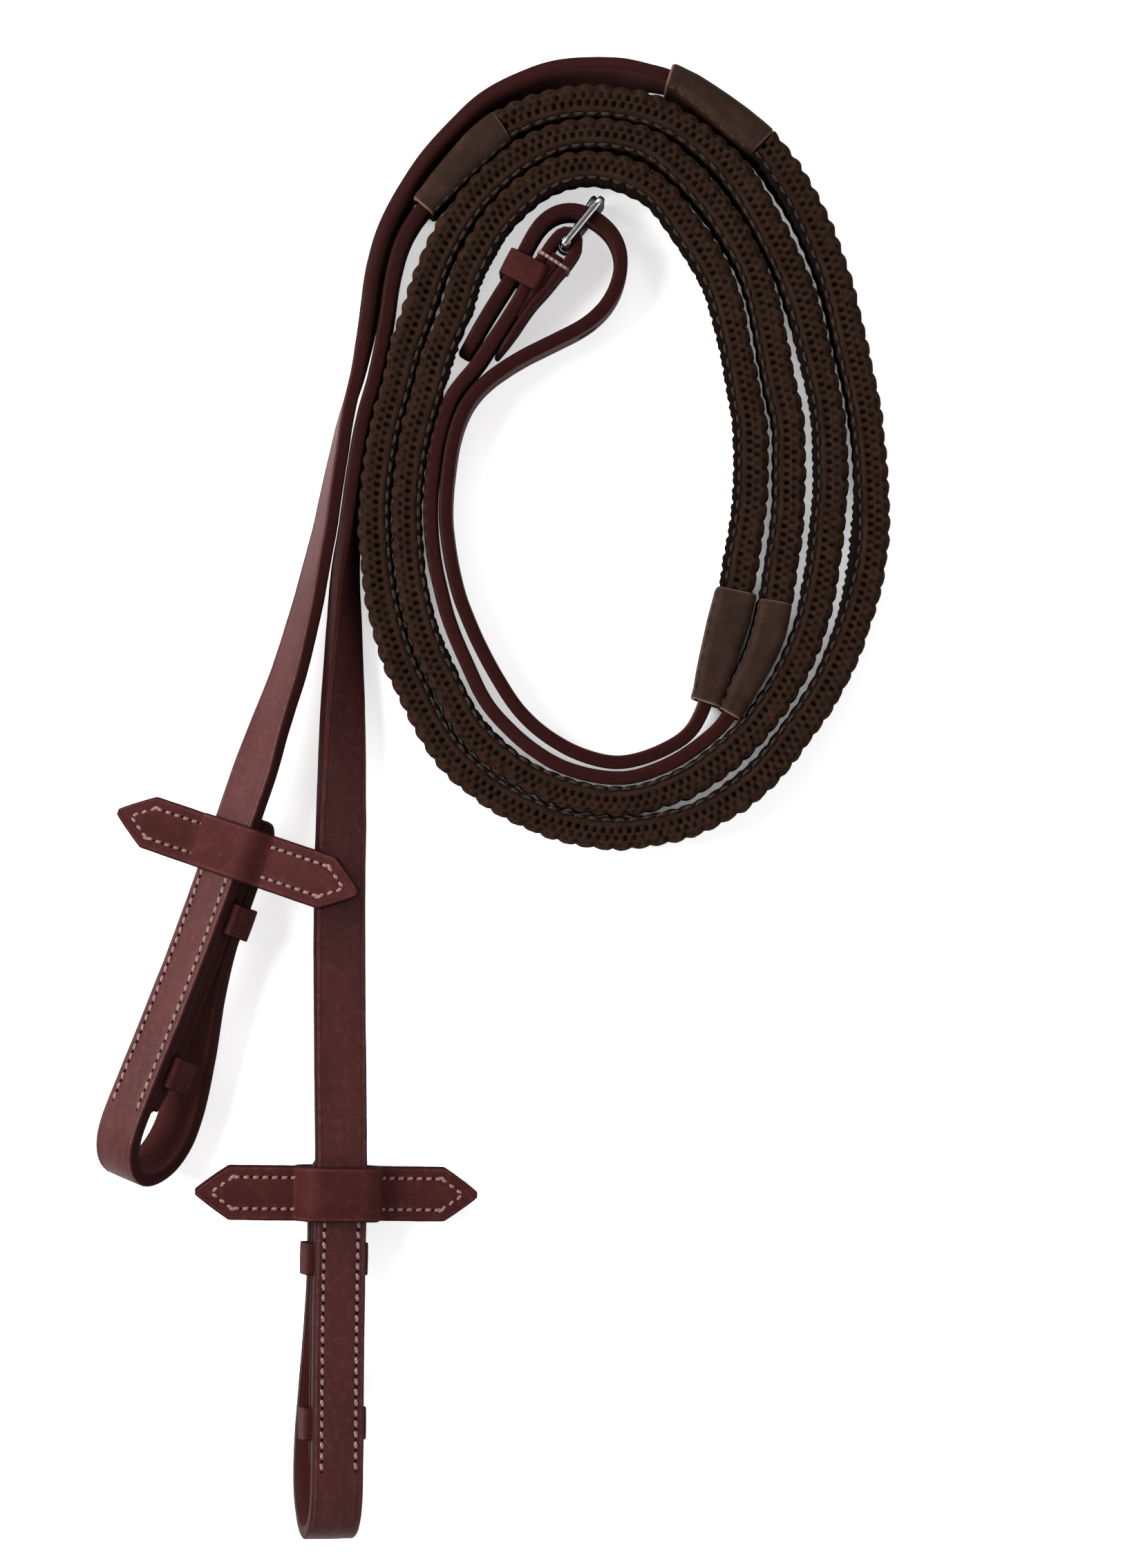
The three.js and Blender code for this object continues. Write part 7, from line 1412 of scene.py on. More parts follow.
def cut(ob, cutters, operation="DIFFERENCE", solver="MANIFOLD"):
    """Applies booleans and leaves a plain mesh."""
    for c in cutters:
        bpy.context.scene.collection.objects.link(c)
        mod = ob.modifiers.new("cut", "BOOLEAN")
        mod.operation, mod.solver, mod.object = operation, solver, c
    bpy.context.view_layer.update()
    dg = bpy.context.evaluated_depsgraph_get()
    me = bpy.data.meshes.new_from_object(ob.evaluated_get(dg), preserve_all_data_layers=True, depsgraph=dg)
    before = len(ob.data.polygons)
    ob.modifiers.clear()
    old, ob.data = ob.data, me
    me.name = ob.name
    me.shade_smooth()
    me.set_sharp_from_angle(angle=math.radians(50))
    bpy.data.meshes.remove(old)
    for c in cutters:
        bpy.data.objects.remove(c)
    print("cut", ob.name, before, "->", len(me.polygons))
    return ob


frame_dir = unit(np.r_[FAR - HEEL, 0.0])
frame_side = np.cross(UP, frame_dir)
LEAN = math.atan2(2.2 / 2 + 0.3 + 2.3 / 2, 16.2)
cl, sl = math.cos(LEAN), math.sin(LEAN)
tongue_dir = frame_dir * cl + frame_side * sl
tongue_side = np.cross(UP, tongue_dir)
heel3 = np.r_[HEEL, 11.0]


def build_straps():
    g = Geo()
    v, f, a = strap_piece(LEFT, LEFT_AT["total"], LEFT_AT["stud"], 8, 8, 0.45, 11)
    g.add(v, f, 0, **a)
    left = g.build("left_rein_leather", [BRIDLE], "reins", ["left_rein_strap"])
    P, T, W, N, _ = LEFT.at([11.0])
    cuts = [slot_cutter(P[0] - 1.6 * T[0], T[0], -W[0], N[0], 9.5, 4.2, 9, "c0")]
    band = 2.8 + 1.2 + 1.0
    cuts.append(cylinder_cutter(heel3, UP, 3.1 + 0.5, band, "c1"))
    cuts.append(slot_like(heel3 + 4 * frame_dir, frame_dir, frame_side, UP, [(-4, -4.5), (4, -4.5), (4, 4.5), (-4, 4.5)], band, "c2"))
    cut(left, cuts)
    g = Geo()
    v, f, a = strap_piece(RIGHT, RIGHT_AT["total"], RIGHT_AT["stud"], 8, 11, 0.3, 23)
    g.add(v, f, 0, **a)
    right = g.build("right_rein_leather", [BRIDLE], "reins", ["right_rein_strap"])
    P, T, W, N, _ = RIGHT.at([11.0])
    cuts = [slot_cutter(P[0] - 1.6 * T[0], T[0], -W[0], N[0], 9.5, 4.2, 9, "d0")]
    for k in (-2, -1, 1, 2, 3):
        P, T, W, N, _ = RIGHT.at([RIGHT_AT["cross"] + 22.0 * k])
        cuts.append(slot_cutter(P[0], T[0], -W[0], N[0], 6.6, 3.7, 9, "d%d" % (k + 3)))
    P = RIGHT.at([RIGHT_AT["cross"]])[0][0]
    at = heel3 + tongue_dir * np.dot(P - heel3, tongue_dir) + 0.8 * tongue_side
    cuts.append(slot_cutter(at, tongue_side, UP, tongue_dir, 6.6, 3.7, 11, "d9"))
    cut(right, cuts)
    # painted shade: tone 0.55 darkens the whole right rein, as it lies flatter and further from the key lamp
    tone = right.data.attributes.new("tone", "FLOAT", "POINT")
    tone.data.foreach_set("value", np.full(len(right.data.vertices), 0.55, np.float32))


# ------------------------------------------------------------------ rubber grips
GRIP_STEP, GRIP_PTS = 0.67, 92


def coil_points():
    """Middle line and half thickness of everything that lies in the coil."""
    P, H = [], []
    for rein, at in ((LEFT, LEFT_AT), (RIGHT, RIGHT_AT)):
        s = np.arange(at["stud"] + 60, at["total"] - 2, 1.5)
        q = rein.at(s)
        P.append(q[0][:, :2])
        H.append(np.where((s > at["sleeve1"]) & (s < at["sleeve2"]), 5.45, q[4] / 2))
    return np.concatenate(P), np.concatenate(H)


COIL_P, COIL_H = coil_points()


def seam_room(rein, s, sign):
    """Free space beside a grip on the side towards the middle of the coil."""
    P, T, W, N, _ = rein.at(s)
    d = unit((-sign * N)[:, :2])
    out = np.full(len(s), 9.0)
    for i in range(len(s)):
        r = COIL_P - P[i, :2]
        a = r @ d[i]
        ok = (np.abs(r[:, 0] * d[i, 1] - r[:, 1] * d[i, 0]) < 2.0) & (a > 3.0) & (a < 16.0)
        if ok.any():
            out[i] = np.min(a[ok] - COIL_H[ok]) - 4.5
    k = np.ones(9) / 9
    return np.convolve(np.r_[np.full(4, out[0]), out, np.full(4, out[-1])], k, "valid")


def grip_piece(name, rein, at, sign, node, seed):
    s0, s1 = at["grip1"], at["grip2"]
    n = int(round((s1 - s0) / GRIP_STEP))
    s = np.linspace(s0, s1, n + 1)
    fr = rein.at(s)
    base = rounded(10 - 0.22, 4.5 - 0.05, 2.7, 9, 4, 14)  # across (a) by outwards (b)
    # resample the section evenly, starting in the middle of the corner between the inner face and the top edge
    d = np.r_[base, base[:1]]
    L = np.r_[0, np.cumsum(np.linalg.norm(np.diff(d, axis=0), axis=1))]
    start = None
    for i in range(len(base)):
        if start is None and base[i, 0] > 8.8 and base[i, 1] < -3.0 and base[i, 0] - 9.78 >= (-base[i, 1]) - 4.45:
            start = L[i]
    q = (start + np.arange(GRIP_PTS) * L[-1] / GRIP_PTS) % L[-1]
    sec = np.c_[np.interp(q, L, d[:, 0]), np.interp(q, L, d[:, 1])]
    tan = unit(np.roll(sec, -1, 0) - np.roll(sec, 1, 0))
    nor = np.c_[tan[:, 1], -tan[:, 0]]
    j = np.arange(GRIP_PTS)
    a, b = sec[:, 0], sec[:, 1]
    r = np.random.default_rng(seed)
    i = np.arange(n + 1)
    # pits: rows every four points round the section, every four rings along it, staggered
    row = (j - 4) // 4
    in_row = ((j - 4) % 4 == 1) | ((j - 4) % 4 == 2) | (((j - 4) % 4 == 3) & (row <= 1))
    has_pits = (j >= 4) & (j <= 83)
    shift = (row % 2) * 2
    along = (i[:, None] + shift[None, :]) % 4
    pit = ((along == 1) | (along == 2)) & in_row[None, :] & has_pits[None, :]
    cell = ((i[:, None] + shift[None, :]) // 4) % 4096
    key = r.uniform(0.55, 1.15, (4200, 32))
    depth = key[cell, np.clip(row, 0, 31)[None, :]]
    first = np.where(row == 0, 1.3, np.where(row == 1, 0.95, 0.62))[None, :]
    pit = pit * depth * first
    # lumps: one per two pits, over the faces and the outer edge
    lump_amp = np.where(b > 0, np.clip((b + 0.6) / 3.2, 0, 1), np.clip((-b - 2.6) / 1.6, 0, 1) * 0.62)
    wave = np.abs(np.cos(math.pi * (i[:, None] - 1.5) / 8 + (row[None, :] // 2 % 2) * 0.45)) ** 0.9
    across = 0.72 + 0.28 * np.cos(2 * math.pi * (a[None, :] - 8.4) / 4.65)
    size = 1 + 0.22 * wobble(s, 9.0, seed + 3)[:, None]
    lump = wave * across * lump_amp[None, :] * size
    h = -0.42 + 1.02 * lump - 0.95 * pit + 0.10 * wobble(s, 23.0, seed + 5)[:, None] + r.uniform(-0.03, 0.03, (n + 1, GRIP_PTS))
    # seam where the sheet's two edges meet, under the stitches
    seam = np.exp(-((j - 0.0) / 1.1) ** 2) + np.exp(-((j - GRIP_PTS) / 1.1) ** 2)
    h -= 0.28 * seam[None, :]
    # cut edge of the sheet below the stitches, where the next turn of the coil leaves room for it
    gap = seam_room(rein, s, sign)
    room = np.clip(gap - 0.55 - np.clip(gap - 0.7, 0, 0.65), 0, 3.0 if sign > 0 else 1.5)
    lip = np.where(b < -3.0, np.clip((9.3 - a) / 1.3, 0, 1) * np.clip((a - 2.6) / 3.6, 0, 1), 0.0)
    lip = lip * lip * (3 - 2 * lip)
    free = np.clip(seam_room(rein, s, -sign) - 0.7, 0, 0.65)
    h += free[:, None] * np.clip((b + 1.5) / 4.5, 0, 1)[None, :]
    h += (room * (0.86 + 0.14 * np.cos(2 * math.pi * s / 2.68)))[:, None] * lip[None, :]
    o = sec[None] + h[..., None] * nor[None]
    w, nn = sign * o[..., 0], sign * o[..., 1]
    o2 = np.stack([w, nn], -1)
    v = place(fr, o2)
    faces = grid_faces(n + 1, GRIP_PTS)
    swn = np.stack([np.repeat(s[:, None], GRIP_PTS, 1), w, nn], -1).reshape(-1, 3)
    # colour mask of the pits: painted shade with some dirt in them
    pit_c = np.clip(pit, 0, 1)
    g = Geo()
    C = GRIP_PTS
    # painted shade along the seam and over the cut edge below the stitches
    g.add(v, faces, 0, swn=swn, pit=pit_c, lump=lump, groove=np.clip(np.repeat(0.8 * seam[None], n + 1, 0) + np.clip(lip * 1.4, 0, 0.9)[None, :] * np.clip(room * 2, 0, 1)[:, None], 0, 1))
    # the bore the strap lies in, its walls painted dark as shade
    inner = rounded(8.3, 2.4, 0.5, 2, 0, 0) * sign
    k = np.unique(np.r_[np.arange(0, n, 6), n])
    fi = tuple(x[k] for x in fr)
    vi = place(fi, inner)
    ci = len(inner)
    bi = g.add(vi, grid_faces(len(k), ci, flip=True), 0, swn=np.repeat(np.stack([s[k]] * 3, -1)[:, None], ci, 1).reshape(-1, 3) * [1, 0, 0], groove=1.0)
    for ring, inner_base, flip in ((0, bi, False), (n, bi + (len(k) - 1) * ci, True)):
        near = [int(np.argmin(np.linalg.norm(inner - o2[ring, p], axis=1))) for p in range(C)]
        for p in range(C):
            p2 = (p + 1) % C
            A, B, c1, c2 = ring * C + p, ring * C + p2, inner_base + near[p], inner_base + near[p2]
            if c1 == c2:
                t = (A, B, c1)
                g.f.append(t[::-1] if flip else t); g.m.append(0)
            else:
                step = (near[p2] - near[p]) % ci
                chain = [inner_base + (near[p] + q2) % ci for q2 in range(step + 1)] if step <= ci // 2 else [c1, c2]
                t = (A, B) + tuple(chain[::-1])
                g.f.append(t[::-1] if flip else t); g.m.append(0)
    g.build(name, [RUBBER], "reins", [node], smooth_angle=0)
    # stitches along the seam
    st = Geo()
    pitch = 4.5
    pos = np.arange(s0 + 2.0, s1 - 1.5, pitch)
    P, T, W, N, _ = rein.at(pos)
    for q2 in range(len(pos)):
        A, B = sign * W[q2], sign * N[q2]
        Z = unit(0.80 * A - 0.60 * B)
        c = P[q2] + A * (9.10) - B * (3.70)
        c = c + Z * 0.16
        put_stitch(st, c, T[q2], Z, 3.2 + 0.2 * math.sin(q2 * 2.1), 0.95, 1.05, 0.0, 0.05 * math.sin(q2), phase=q2 * 3.7)
    st.build(name + "_stitches", [GRIP_THREAD], "reins", smooth_angle=0)


# ------------------------------------------------------------------ sleeves over the ends of the grips
SLEEVE_HALF = {("left", "bit"): ((3.7, 5.0), (3.9, 5.3)), ("left", "buckle"): ((4.1, 5.3), (3.7, 5.2)),
               ("right", "bit"): ((4.0, 5.2), (4.2, 5.6)), ("right", "buckle"): ((4.5, 6.1), (4.9, 6.6))}


def sleeve_piece(name, rein, s0, s1, grip_at_end, sign, node, seed, inner, outer):
    n = int(round((s1 - s0) / 0.8))
    s = np.linspace(s0, s1, n + 1)
    k = (s - s0) / (s1 - s0)
    to_grip = k if grip_at_end else 1 - k
    d_strap, d_grip = to_grip * (s1 - s0), (1 - to_grip) * (s1 - s0)
    fr = rein.at(s)
    # half thickness towards the middle of the coil and away from it, at the strap end and at the grip end
    swell = np.clip(to_grip / 0.72, 0, 1) ** 0.9
    t_in, t_out = inner[0] + (inner[1] - inner[0]) * swell, outer[0] + (outer[1] - outer[0]) * swell
    half_t, shift = (t_in + t_out) / 2, (t_out - t_in) / 2
    half_t = half_t - 0.18 * np.exp(-((d_strap - 4.0) / 2.4) ** 2)
    half_h = 11.0 - 0.12 * np.exp(-((d_strap - 4.0) / 3.0) ** 2) + 0.05 * wobble(s, 9.0, seed)
    lip = 0.38 * np.maximum(np.clip(1 - d_strap / 0.5, 0, 1), np.clip(1 - d_grip / 0.5, 0, 1)) ** 2
    rows = []
    for i in range(n + 1):
        rows.append(rounded(half_h[i] - lip[i], half_t[i] - lip[i], 2.8, 7, 2, 9))
    o = np.array(rows)
    C = o.shape[1]
    a, b = o[..., 0].copy(), o[..., 1].copy()
    o[..., 1] += shift[:, None]
    # soft dents where the sleeve is drawn down over the strap and the rubber
    dent = 0.16 * np.sin(a * 0.55 + 0.12 * s[:, None] + seed) * np.sin(s[:, None] * 0.21 + seed * 1.7)
    on_face = np.clip((9.2 - np.abs(a)) / 2.5, 0, 1)
    o[..., 1] += np.sign(b) * dent * on_face - 0.22 * np.sign(b) * on_face * np.cos(a * 0.17)[:] * np.exp(-((d_strap[:, None] - 7) / 8) ** 2)
    w, nn = sign * o[..., 0], sign * o[..., 1]
    o2 = np.stack([w, nn], -1)
    v = place(fr, o2)
    ends = np.maximum(np.clip(1 - d_strap / 0.55, 0, 1), np.clip(1 - d_grip / 0.45, 0, 1) * 0.55)
    edge = np.clip(np.abs(a) - 9.6, 0, 1) * 0.7
    g = Geo()
    swn = np.stack([np.repeat(s[:, None], C, 1), w, nn], -1).reshape(-1, 3)
    # order of rings: outside from s0 to s1; then the bore back again
    g.add(v, grid_faces(n + 1, C), 0, swn=swn, edge=edge, cut=np.repeat((ends ** 1.5)[:, None], C, 1), groove=0.0)
    wall = 0.95
    strap_first = grip_at_end

    def ring(sv, inset, height=None, thick=None):
        i = int(np.clip(round((sv - s0) / 0.8), 0, n))
        hh, ht = (half_h[i] - inset, half_t[i] - inset) if height is None else (height, thick)
        return rounded(hh, ht, max(0.4, 2.8 - inset) if height is None else 0.5, 7, 2, 9) + (np.array([0, shift[i]]) if height is None else 0)

    stations = []
    lo, hi = s0, s1
    if grip_at_end:
        stations = [(lo, 'open', 0.9), (lo + 0.3, 'open', 0.5), (lo + 2.6, 'open', 0.3), (lo + 3.4, 'strap', 0), (hi - 1.0, 'strap', 0), (hi, 'strap', 0)]
    else:
        stations = [(lo, 'strap', 0), (lo + 1.0, 'strap', 0), (hi - 3.4, 'strap', 0), (hi - 2.6, 'open', 0.3), (hi - 0.3, 'open', 0.5), (hi, 'open', 0.9)]
    mid = [(x, 'strap', 0) for x in np.linspace(stations[3 if grip_at_end else 1][0], stations[4 if grip_at_end else 2][0], 8)[1:-1]]
    stations = sorted(stations + mid, key=lambda t: t[0])
    ss = np.array([t[0] for t in stations])
    fi = rein.at(ss)
    oi = np.array([ring(t[0], wall) if t[1] == 'open' else ring(t[0], 0, 8.32, fi[4][q] / 2 + 0.32) for q, t in enumerate(stations)]) * sign
    vi = place(fi, oi)
    cutv = np.array([t[2] for t in stations])
    # painted shade on the bore walls that close on the strap
    bore_painted_shade = np.array([0.0 if t[1] == 'open' else 0.9 for t in stations])
    bi = g.add(vi, grid_faces(len(ss), C, flip=True), 0, swn=np.stack([np.repeat(ss[:, None], C, 1), oi[..., 0], oi[..., 1]], -1).reshape(-1, 3), cut=np.repeat(cutv[:, None], C, 1), groove=np.repeat(bore_painted_shade[:, None], C, 1))
    for p in range(C):
        p2 = (p + 1) % C
        g.f.append((p, p2, bi + p2, bi + p)); g.m.append(0)
        e, q = n * C, bi + (len(ss) - 1) * C
        g.f.append((e + p2, e + p, q + p, q + p2)); g.m.append(0)
    g.build(name, [SLEEVE], "reins", [node], smooth_angle=60)
    st = Geo()
    pos = np.arange(s0 + 2.6, s1 - 1.8, 4.1)
    P, T, W, N, t = rein.at(pos)
    for q in range(len(pos)):
        i = int(np.clip(round((pos[q] - s0) / 0.8), 0, n))
        A, B = sign * W[q], sign * N[q]
        Z = unit(0.55 * A - 0.83 * B)
        c = P[q] + A * (half_h[i] - 1.45) - B * (t_in[i] - 0.42) + Z * 0.10
        put_stitch(st, c, T[q], Z, 2.8, 0.85, 0.85, 0.0, 0.06, phase=q * 2.9)
    st.build(name + "_stitches", [GRIP_THREAD], "reins", smooth_angle=0)


# ------------------------------------------------------------------ bit ends
def strip_rings(fr, s, width, n0, n1, r=0.5):
    """A plain strip with rounded edges between depths n0 and n1 on the frames."""
    rows = []
    for i in range(len(s)):
        x, y, m = width[i] / 2, (n1[i] - n0[i]) / 2, (n1[i] + n0[i]) / 2
        q = rounded(x, y, min(r, y * 0.9), 4, 5, 0)
        q[:, 1] += m
        rows.append(q)
    return np.array(rows)


def bevel(ob, width, segments=3, angle=32):
    m = ob.modifiers.new("bevel", "BEVEL")
    m.width, m.segments, m.limit_method, m.angle_limit = width * MM, segments, "ANGLE", math.radians(angle)
    m.harden_normals = False
    w = ob.modifiers.new("normals", "WEIGHTED_NORMAL")
    w.keep_sharp = False
    return ob


FRONT_BACK = -2.1
BACK_N1, BACK_N0 = -3.6, -6.2


def backing_piece(side, rein, stud):
    s0, s1 = stud - 83, stud + 9
    s = np.r_[s0, s0 + 0.2, s0 + 0.6, np.arange(s0 + 1.6, s1 - 6, 1.6), np.arange(s1 - 5.5, s1 - 0.4, 0.7), s1 - 0.25, s1]
    fr = rein.at(s)
    thin = np.minimum(1, 0.45 + (s - s0) / 11)
    width = 15.5 * np.where(s > s1 - 5.0, 1 - 0.25 * (s - (s1 - 5)) / 5, 1.0)
    nip = np.minimum(s - s0, s1 - s)
    soft = 1 - 0.35 * np.clip(1 - nip / 0.7, 0, 1) ** 2
    width = width * (1 - (1 - soft) * 0.06) + 0.12 * wobble(s, 13.0, 31)
    n1 = np.full(len(s), BACK_N1) - (1 - soft) * 0.6
    n0 = BACK_N1 - 2.6 * thin + (1 - soft) * 0.6
    o = strip_rings(fr, s, width, n0, n1, 0.8)
    C = o.shape[1]
    v = place(fr, o)
    f = grid_faces(len(s), C) + [tuple(range(C)), tuple(range((len(s) - 1) * C, len(s) * C))[::-1]]
    swn = np.stack([np.repeat(s[:, None], C, 1), o[..., 0], o[..., 1]], -1).reshape(-1, 3)
    edge = np.clip((np.abs(o[..., 0]) - width[:, None] / 2 + 0.9) / 0.6, 0, 1)
    flesh = ((o[..., 1] > (n0 + n1)[:, None] / 2) & (edge < 0.5)) * 0.8
    g = Geo()
    g.add(v, f, 0, swn=swn, edge=edge, flesh=flesh, groove=0.0, rim=0.0)
    ob = g.build(side + "_bit_backing_leather", [BACKING], "reins", [side + "_bit_backing"])
    P, T, W, N, _ = rein.at([stud])
    cutters = [cylinder_cutter(P[0] + N[0] * (BACK_N0 + 1.3), N[0], 1.9, 8, "h0", 20), cylinder_cutter(P[0] + N[0] * BACK_N1, N[0], 4.5, 0.5, "h1", 24)]
    cut(ob, cutters)


def bit_stitches(side, rein, stud):
    """Two columns through the front strap and its backing, seen on both outer faces."""
    g = Geo()
    pitch = 3.2
    pos = stud - 9.2 - pitch * np.arange(24)
    pos = pos[pos > stud - 83.5]
    P, T, W, N, t = rein.at(pos)
    for i in range(len(pos)):
        for sgn in (-1, 1):
            c = P[i] + W[i] * sgn * STITCH_W
            top = t[i] / 2
            lean = 0.20 + 0.05 * math.sin(i * 1.7 + sgn)
            put_stitch(g, c + N[i] * top, T[i], N[i], 2.55, 1.15, 0.86, -0.04, lean, phase=i * 2.3 + sgn)
            bk = c + N[i] * (BACK_N0 + (2.6 * (1 - min(1, 0.45 + (pos[i] - stud + 83) / 11))))
            put_stitch(g, bk, T[i], -N[i], 2.3, 0.95, 0.62, -0.02, lean, phase=i * 2.9)
            for e in (-1, 1):
                if e == 1 and i:
                    continue
                hp = c + T[i] * e * pitch / 2
                # dark dot in the stitch hole: painted shade
                put_stitch(g, hp + N[i] * top, T[i], N[i], 1.25, 0.95, 0.34, -0.13, 0.0, mat=1, dot=True)
    g.build(side + "_bit_stitches", [THREAD, HOLE_SHADE], "reins", smooth_angle=0)


def keeper_piece(side, which, rein, stud, T_at, depth):
    P, T, W, N, _ = [x[0] for x in rein.at([stud + T_at])]
    wi, wall, lip = 8.3, 1.6, 3.6
    wo = wi + wall
    n1 = FRONT_BACK - 0.3
    n0 = n1 - 0.9
    b0, b1 = -depth, -depth + wall

    def outline(i):
        # outside corner radius and inside corner radius, inset i all round
        out = []
        out += arc_pts(-wo + 2.2, b0 + 2.2, 2.2 - i, 180, 270, 7).tolist()
        for w in np.linspace(-wo + 2.2, wo - 2.2, 9)[1:-1]:
            out.append((w, b0 + i + 0.10 * (1 - (w / 6) ** 2 if abs(w) < 6 else 0)))
        out += arc_pts(wo - 2.2, b0 + 2.2, 2.2 - i, 270, 360, 7).tolist()
        out += [(wo - i, (b0 + n1) / 2)]
        out += arc_pts(wo - 1.0, n1 - 1.0, 1.0 - i, 0, 90, 4).tolist()
        out += [(lip + 0.35, n1 - i), (lip + i * 0.8, n1 - 0.28), (lip + i * 0.8, n0 + 0.28), (lip + 0.35, n0 + i)]
        out += arc_pts(wi - 0.5, n0 - 0.5, 0.5 + i, 90, 0, 3).tolist()
        out += arc_pts(wi - 0.9, b1 + 0.9, 0.9 + i, 0, -90, 5).tolist()
        out += arc_pts(-wi + 0.9, b1 + 0.9, 0.9 + i, 270, 180, 5).tolist()
        out += arc_pts(-wi + 0.5, n0 - 0.5, 0.5 + i, 180, 90, 3).tolist()
        out += [(-lip - 0.35, n0 + i), (-lip - i * 0.8, n0 + 0.28), (-lip - i * 0.8, n1 - 0.28), (-lip - 0.35, n1 - i)]
        out += arc_pts(-wo + 1.0, n1 - 1.0, 1.0 - i, 90, 180, 4).tolist()
        out += [(-wo + i, (b0 + n1) / 2)]
        return np.array(out)

    steps = [(-5.0, 0.34), (-4.9, 0.17), (-4.7, 0.05), (-4.4, 0.0), (-4.1, 0.0), (-3.95, 0.07), (-3.8, 0.0), (-2.0, -0.02), (0, -0.04), (2.0, -0.02), (3.8, 0.0), (3.95, 0.07), (4.1, 0.0), (4.4, 0.0), (4.7, 0.05), (4.9, 0.17), (5.0, 0.34)]
    rows = np.array([outline(i) for _, i in steps])
    x = np.array([k for k, _ in steps])
    n = len(x)
    PP = P[None] + x[:, None] * T[None]
    fr = (PP, np.repeat(T[None], n, 0), np.repeat(W[None], n, 0), np.repeat(N[None], n, 0))
    v = place(fr, rows)
    C = rows.shape[1]
    f = grid_faces(n, C) + [tuple(range(C)), tuple(range((n - 1) * C, n * C))[::-1]]
    swn = np.stack([rows[..., 0] + 40, np.repeat(x[:, None], C, 1), rows[..., 1]], -1).reshape(-1, 3)
    edge = np.repeat(np.clip((np.abs(x) - 4.45) / 0.35, 0, 1)[:, None], C, 1)
    # painted shade in the crease line
    groove = np.repeat((np.abs(np.abs(x) - 3.95) < 0.05)[:, None] * 0.6, C, 1)
    rim = np.repeat(np.exp(-((np.abs(x) - 4.3) / 0.2) ** 2)[:, None], C, 1)
    inner = np.zeros(C); m0 = 7 + 7 + 7 + 1 + 4 + 2
    inner[m0 + 1:m0 + 1 + 18] = 1
    flesh = np.repeat(inner[None], n, 0) * (1 - edge)
    g = Geo()
    g.add(v, f, 0, swn=swn, edge=edge, groove=groove, rim=rim, flesh=flesh)
    g.build(f"{side}_bit_{which}_keeper_leather", [KEEPER], "reins", [f"{side}_bit_{which}_keeper"])


# ------------------------------------------------------------------ martingale stops
STOP_L, STOP_W, STOP_T, STOP_POINT = 88.0, 16.8, 2.3, 10.2
POCKET_TOP, POCKET_BOTTOM = 3.8, -14.25
WING_N = (POCKET_TOP + POCKET_BOTTOM) / 2
ROOT = 13.8


def smooth_line(pts, step=0.8):
    """A rounded curve through points in the plane, sampled evenly."""
    p = np.array(pts, float)
    L = np.r_[0, np.cumsum(np.linalg.norm(np.diff(p, axis=0), axis=1))]
    m = np.zeros_like(p)
    m[1:-1] = ((p[1:-1] - p[:-2]) / np.diff(L)[:-1, None] * np.diff(L)[1:, None] + (p[2:] - p[1:-1]) / np.diff(L)[1:, None] * np.diff(L)[:-1, None]) / (np.diff(L)[:-1] + np.diff(L)[1:])[:, None]
    m[0], m[-1] = (p[1] - p[0]) / (L[1] - L[0]), (p[-1] - p[-2]) / (L[-1] - L[-2])
    x = np.linspace(0, L[-1], int(L[-1] / 0.2) + 1)
    i = np.clip(np.searchsorted(L, x, side="right") - 1, 0, len(L) - 2)
    h = (L[i + 1] - L[i])[:, None]
    k = (x - L[i])[:, None] / h
    c = (2 * k**3 - 3 * k**2 + 1) * p[i] + (k**3 - 2 * k**2 + k) * h * m[i] + (-2 * k**3 + 3 * k**2) * p[i + 1] + (k**3 - k**2) * h * m[i + 1]
    L2 = np.r_[0, np.cumsum(np.linalg.norm(np.diff(c, axis=0), axis=1))]
    y = np.linspace(0, L2[-1], int(round(L2[-1] / step)) + 1)
    return np.c_[np.interp(y, L2, c[:, 0]), np.interp(y, L2, c[:, 1])], y


def stop_profile(front, left_bend, right_bend):
    sign = 1 if front else -1
    crest = POCKET_TOP if front else POCKET_BOTTOM

    def wing(direction, bend):
        out, w, n, a = [], ROOT, WING_N, 0.0
        off = sign * (STOP_T / 2 + 0.15)
        out.append((direction * w, n, 0.0, off))
        steps = [2, 2, 2.5, 4, 5, 5, STOP_L / 2 - ROOT - 20.5]
        for i, d in enumerate(steps):
            a = math.radians(bend) * min(1, (i + 1) / 4)
            w += d * math.cos(a)
            n += d * math.sin(a)
            out.append((direction * w, n, a, off))
        return out

    if front:
        pocket = [(-12.6, WING_N + 2.6), (-11.5, 0.2), (-10.4, 2.5), (-8.2, crest - 0.1), (-3.8, crest + 0.1), (0, crest + 0.2), (3.8, crest + 0.1), (8.2, crest - 0.1), (10.4, 2.5), (11.5, 0.2), (12.6, WING_N + 2.6)]
    else:
        pocket = [(-12.6, WING_N - 2.6), (-11.4, -10.6), (-10.2, -12.9), (-7.8, crest + 0.1), (-3.8, crest), (3.8, crest), (7.8, crest + 0.1), (10.2, -12.9), (11.4, -10.6), (12.6, WING_N - 2.6)]
    pts = [(w + o * math.sin(a), n + o * math.cos(a)) for w, n, a, o in wing(-1, left_bend)[::-1]]
    pts += pocket
    pts += [(w - o * math.sin(a), n + o * math.cos(a)) for w, n, a, o in wing(1, right_bend)]
    return pts


def stop_half(d):
    """Half width at a distance d from the tip."""
    k = np.clip(np.asarray(d, float) / STOP_POINT, 0, 1)
    return 0.5 * STOP_W * (0.11 + 0.89 * np.power(k, 0.92))


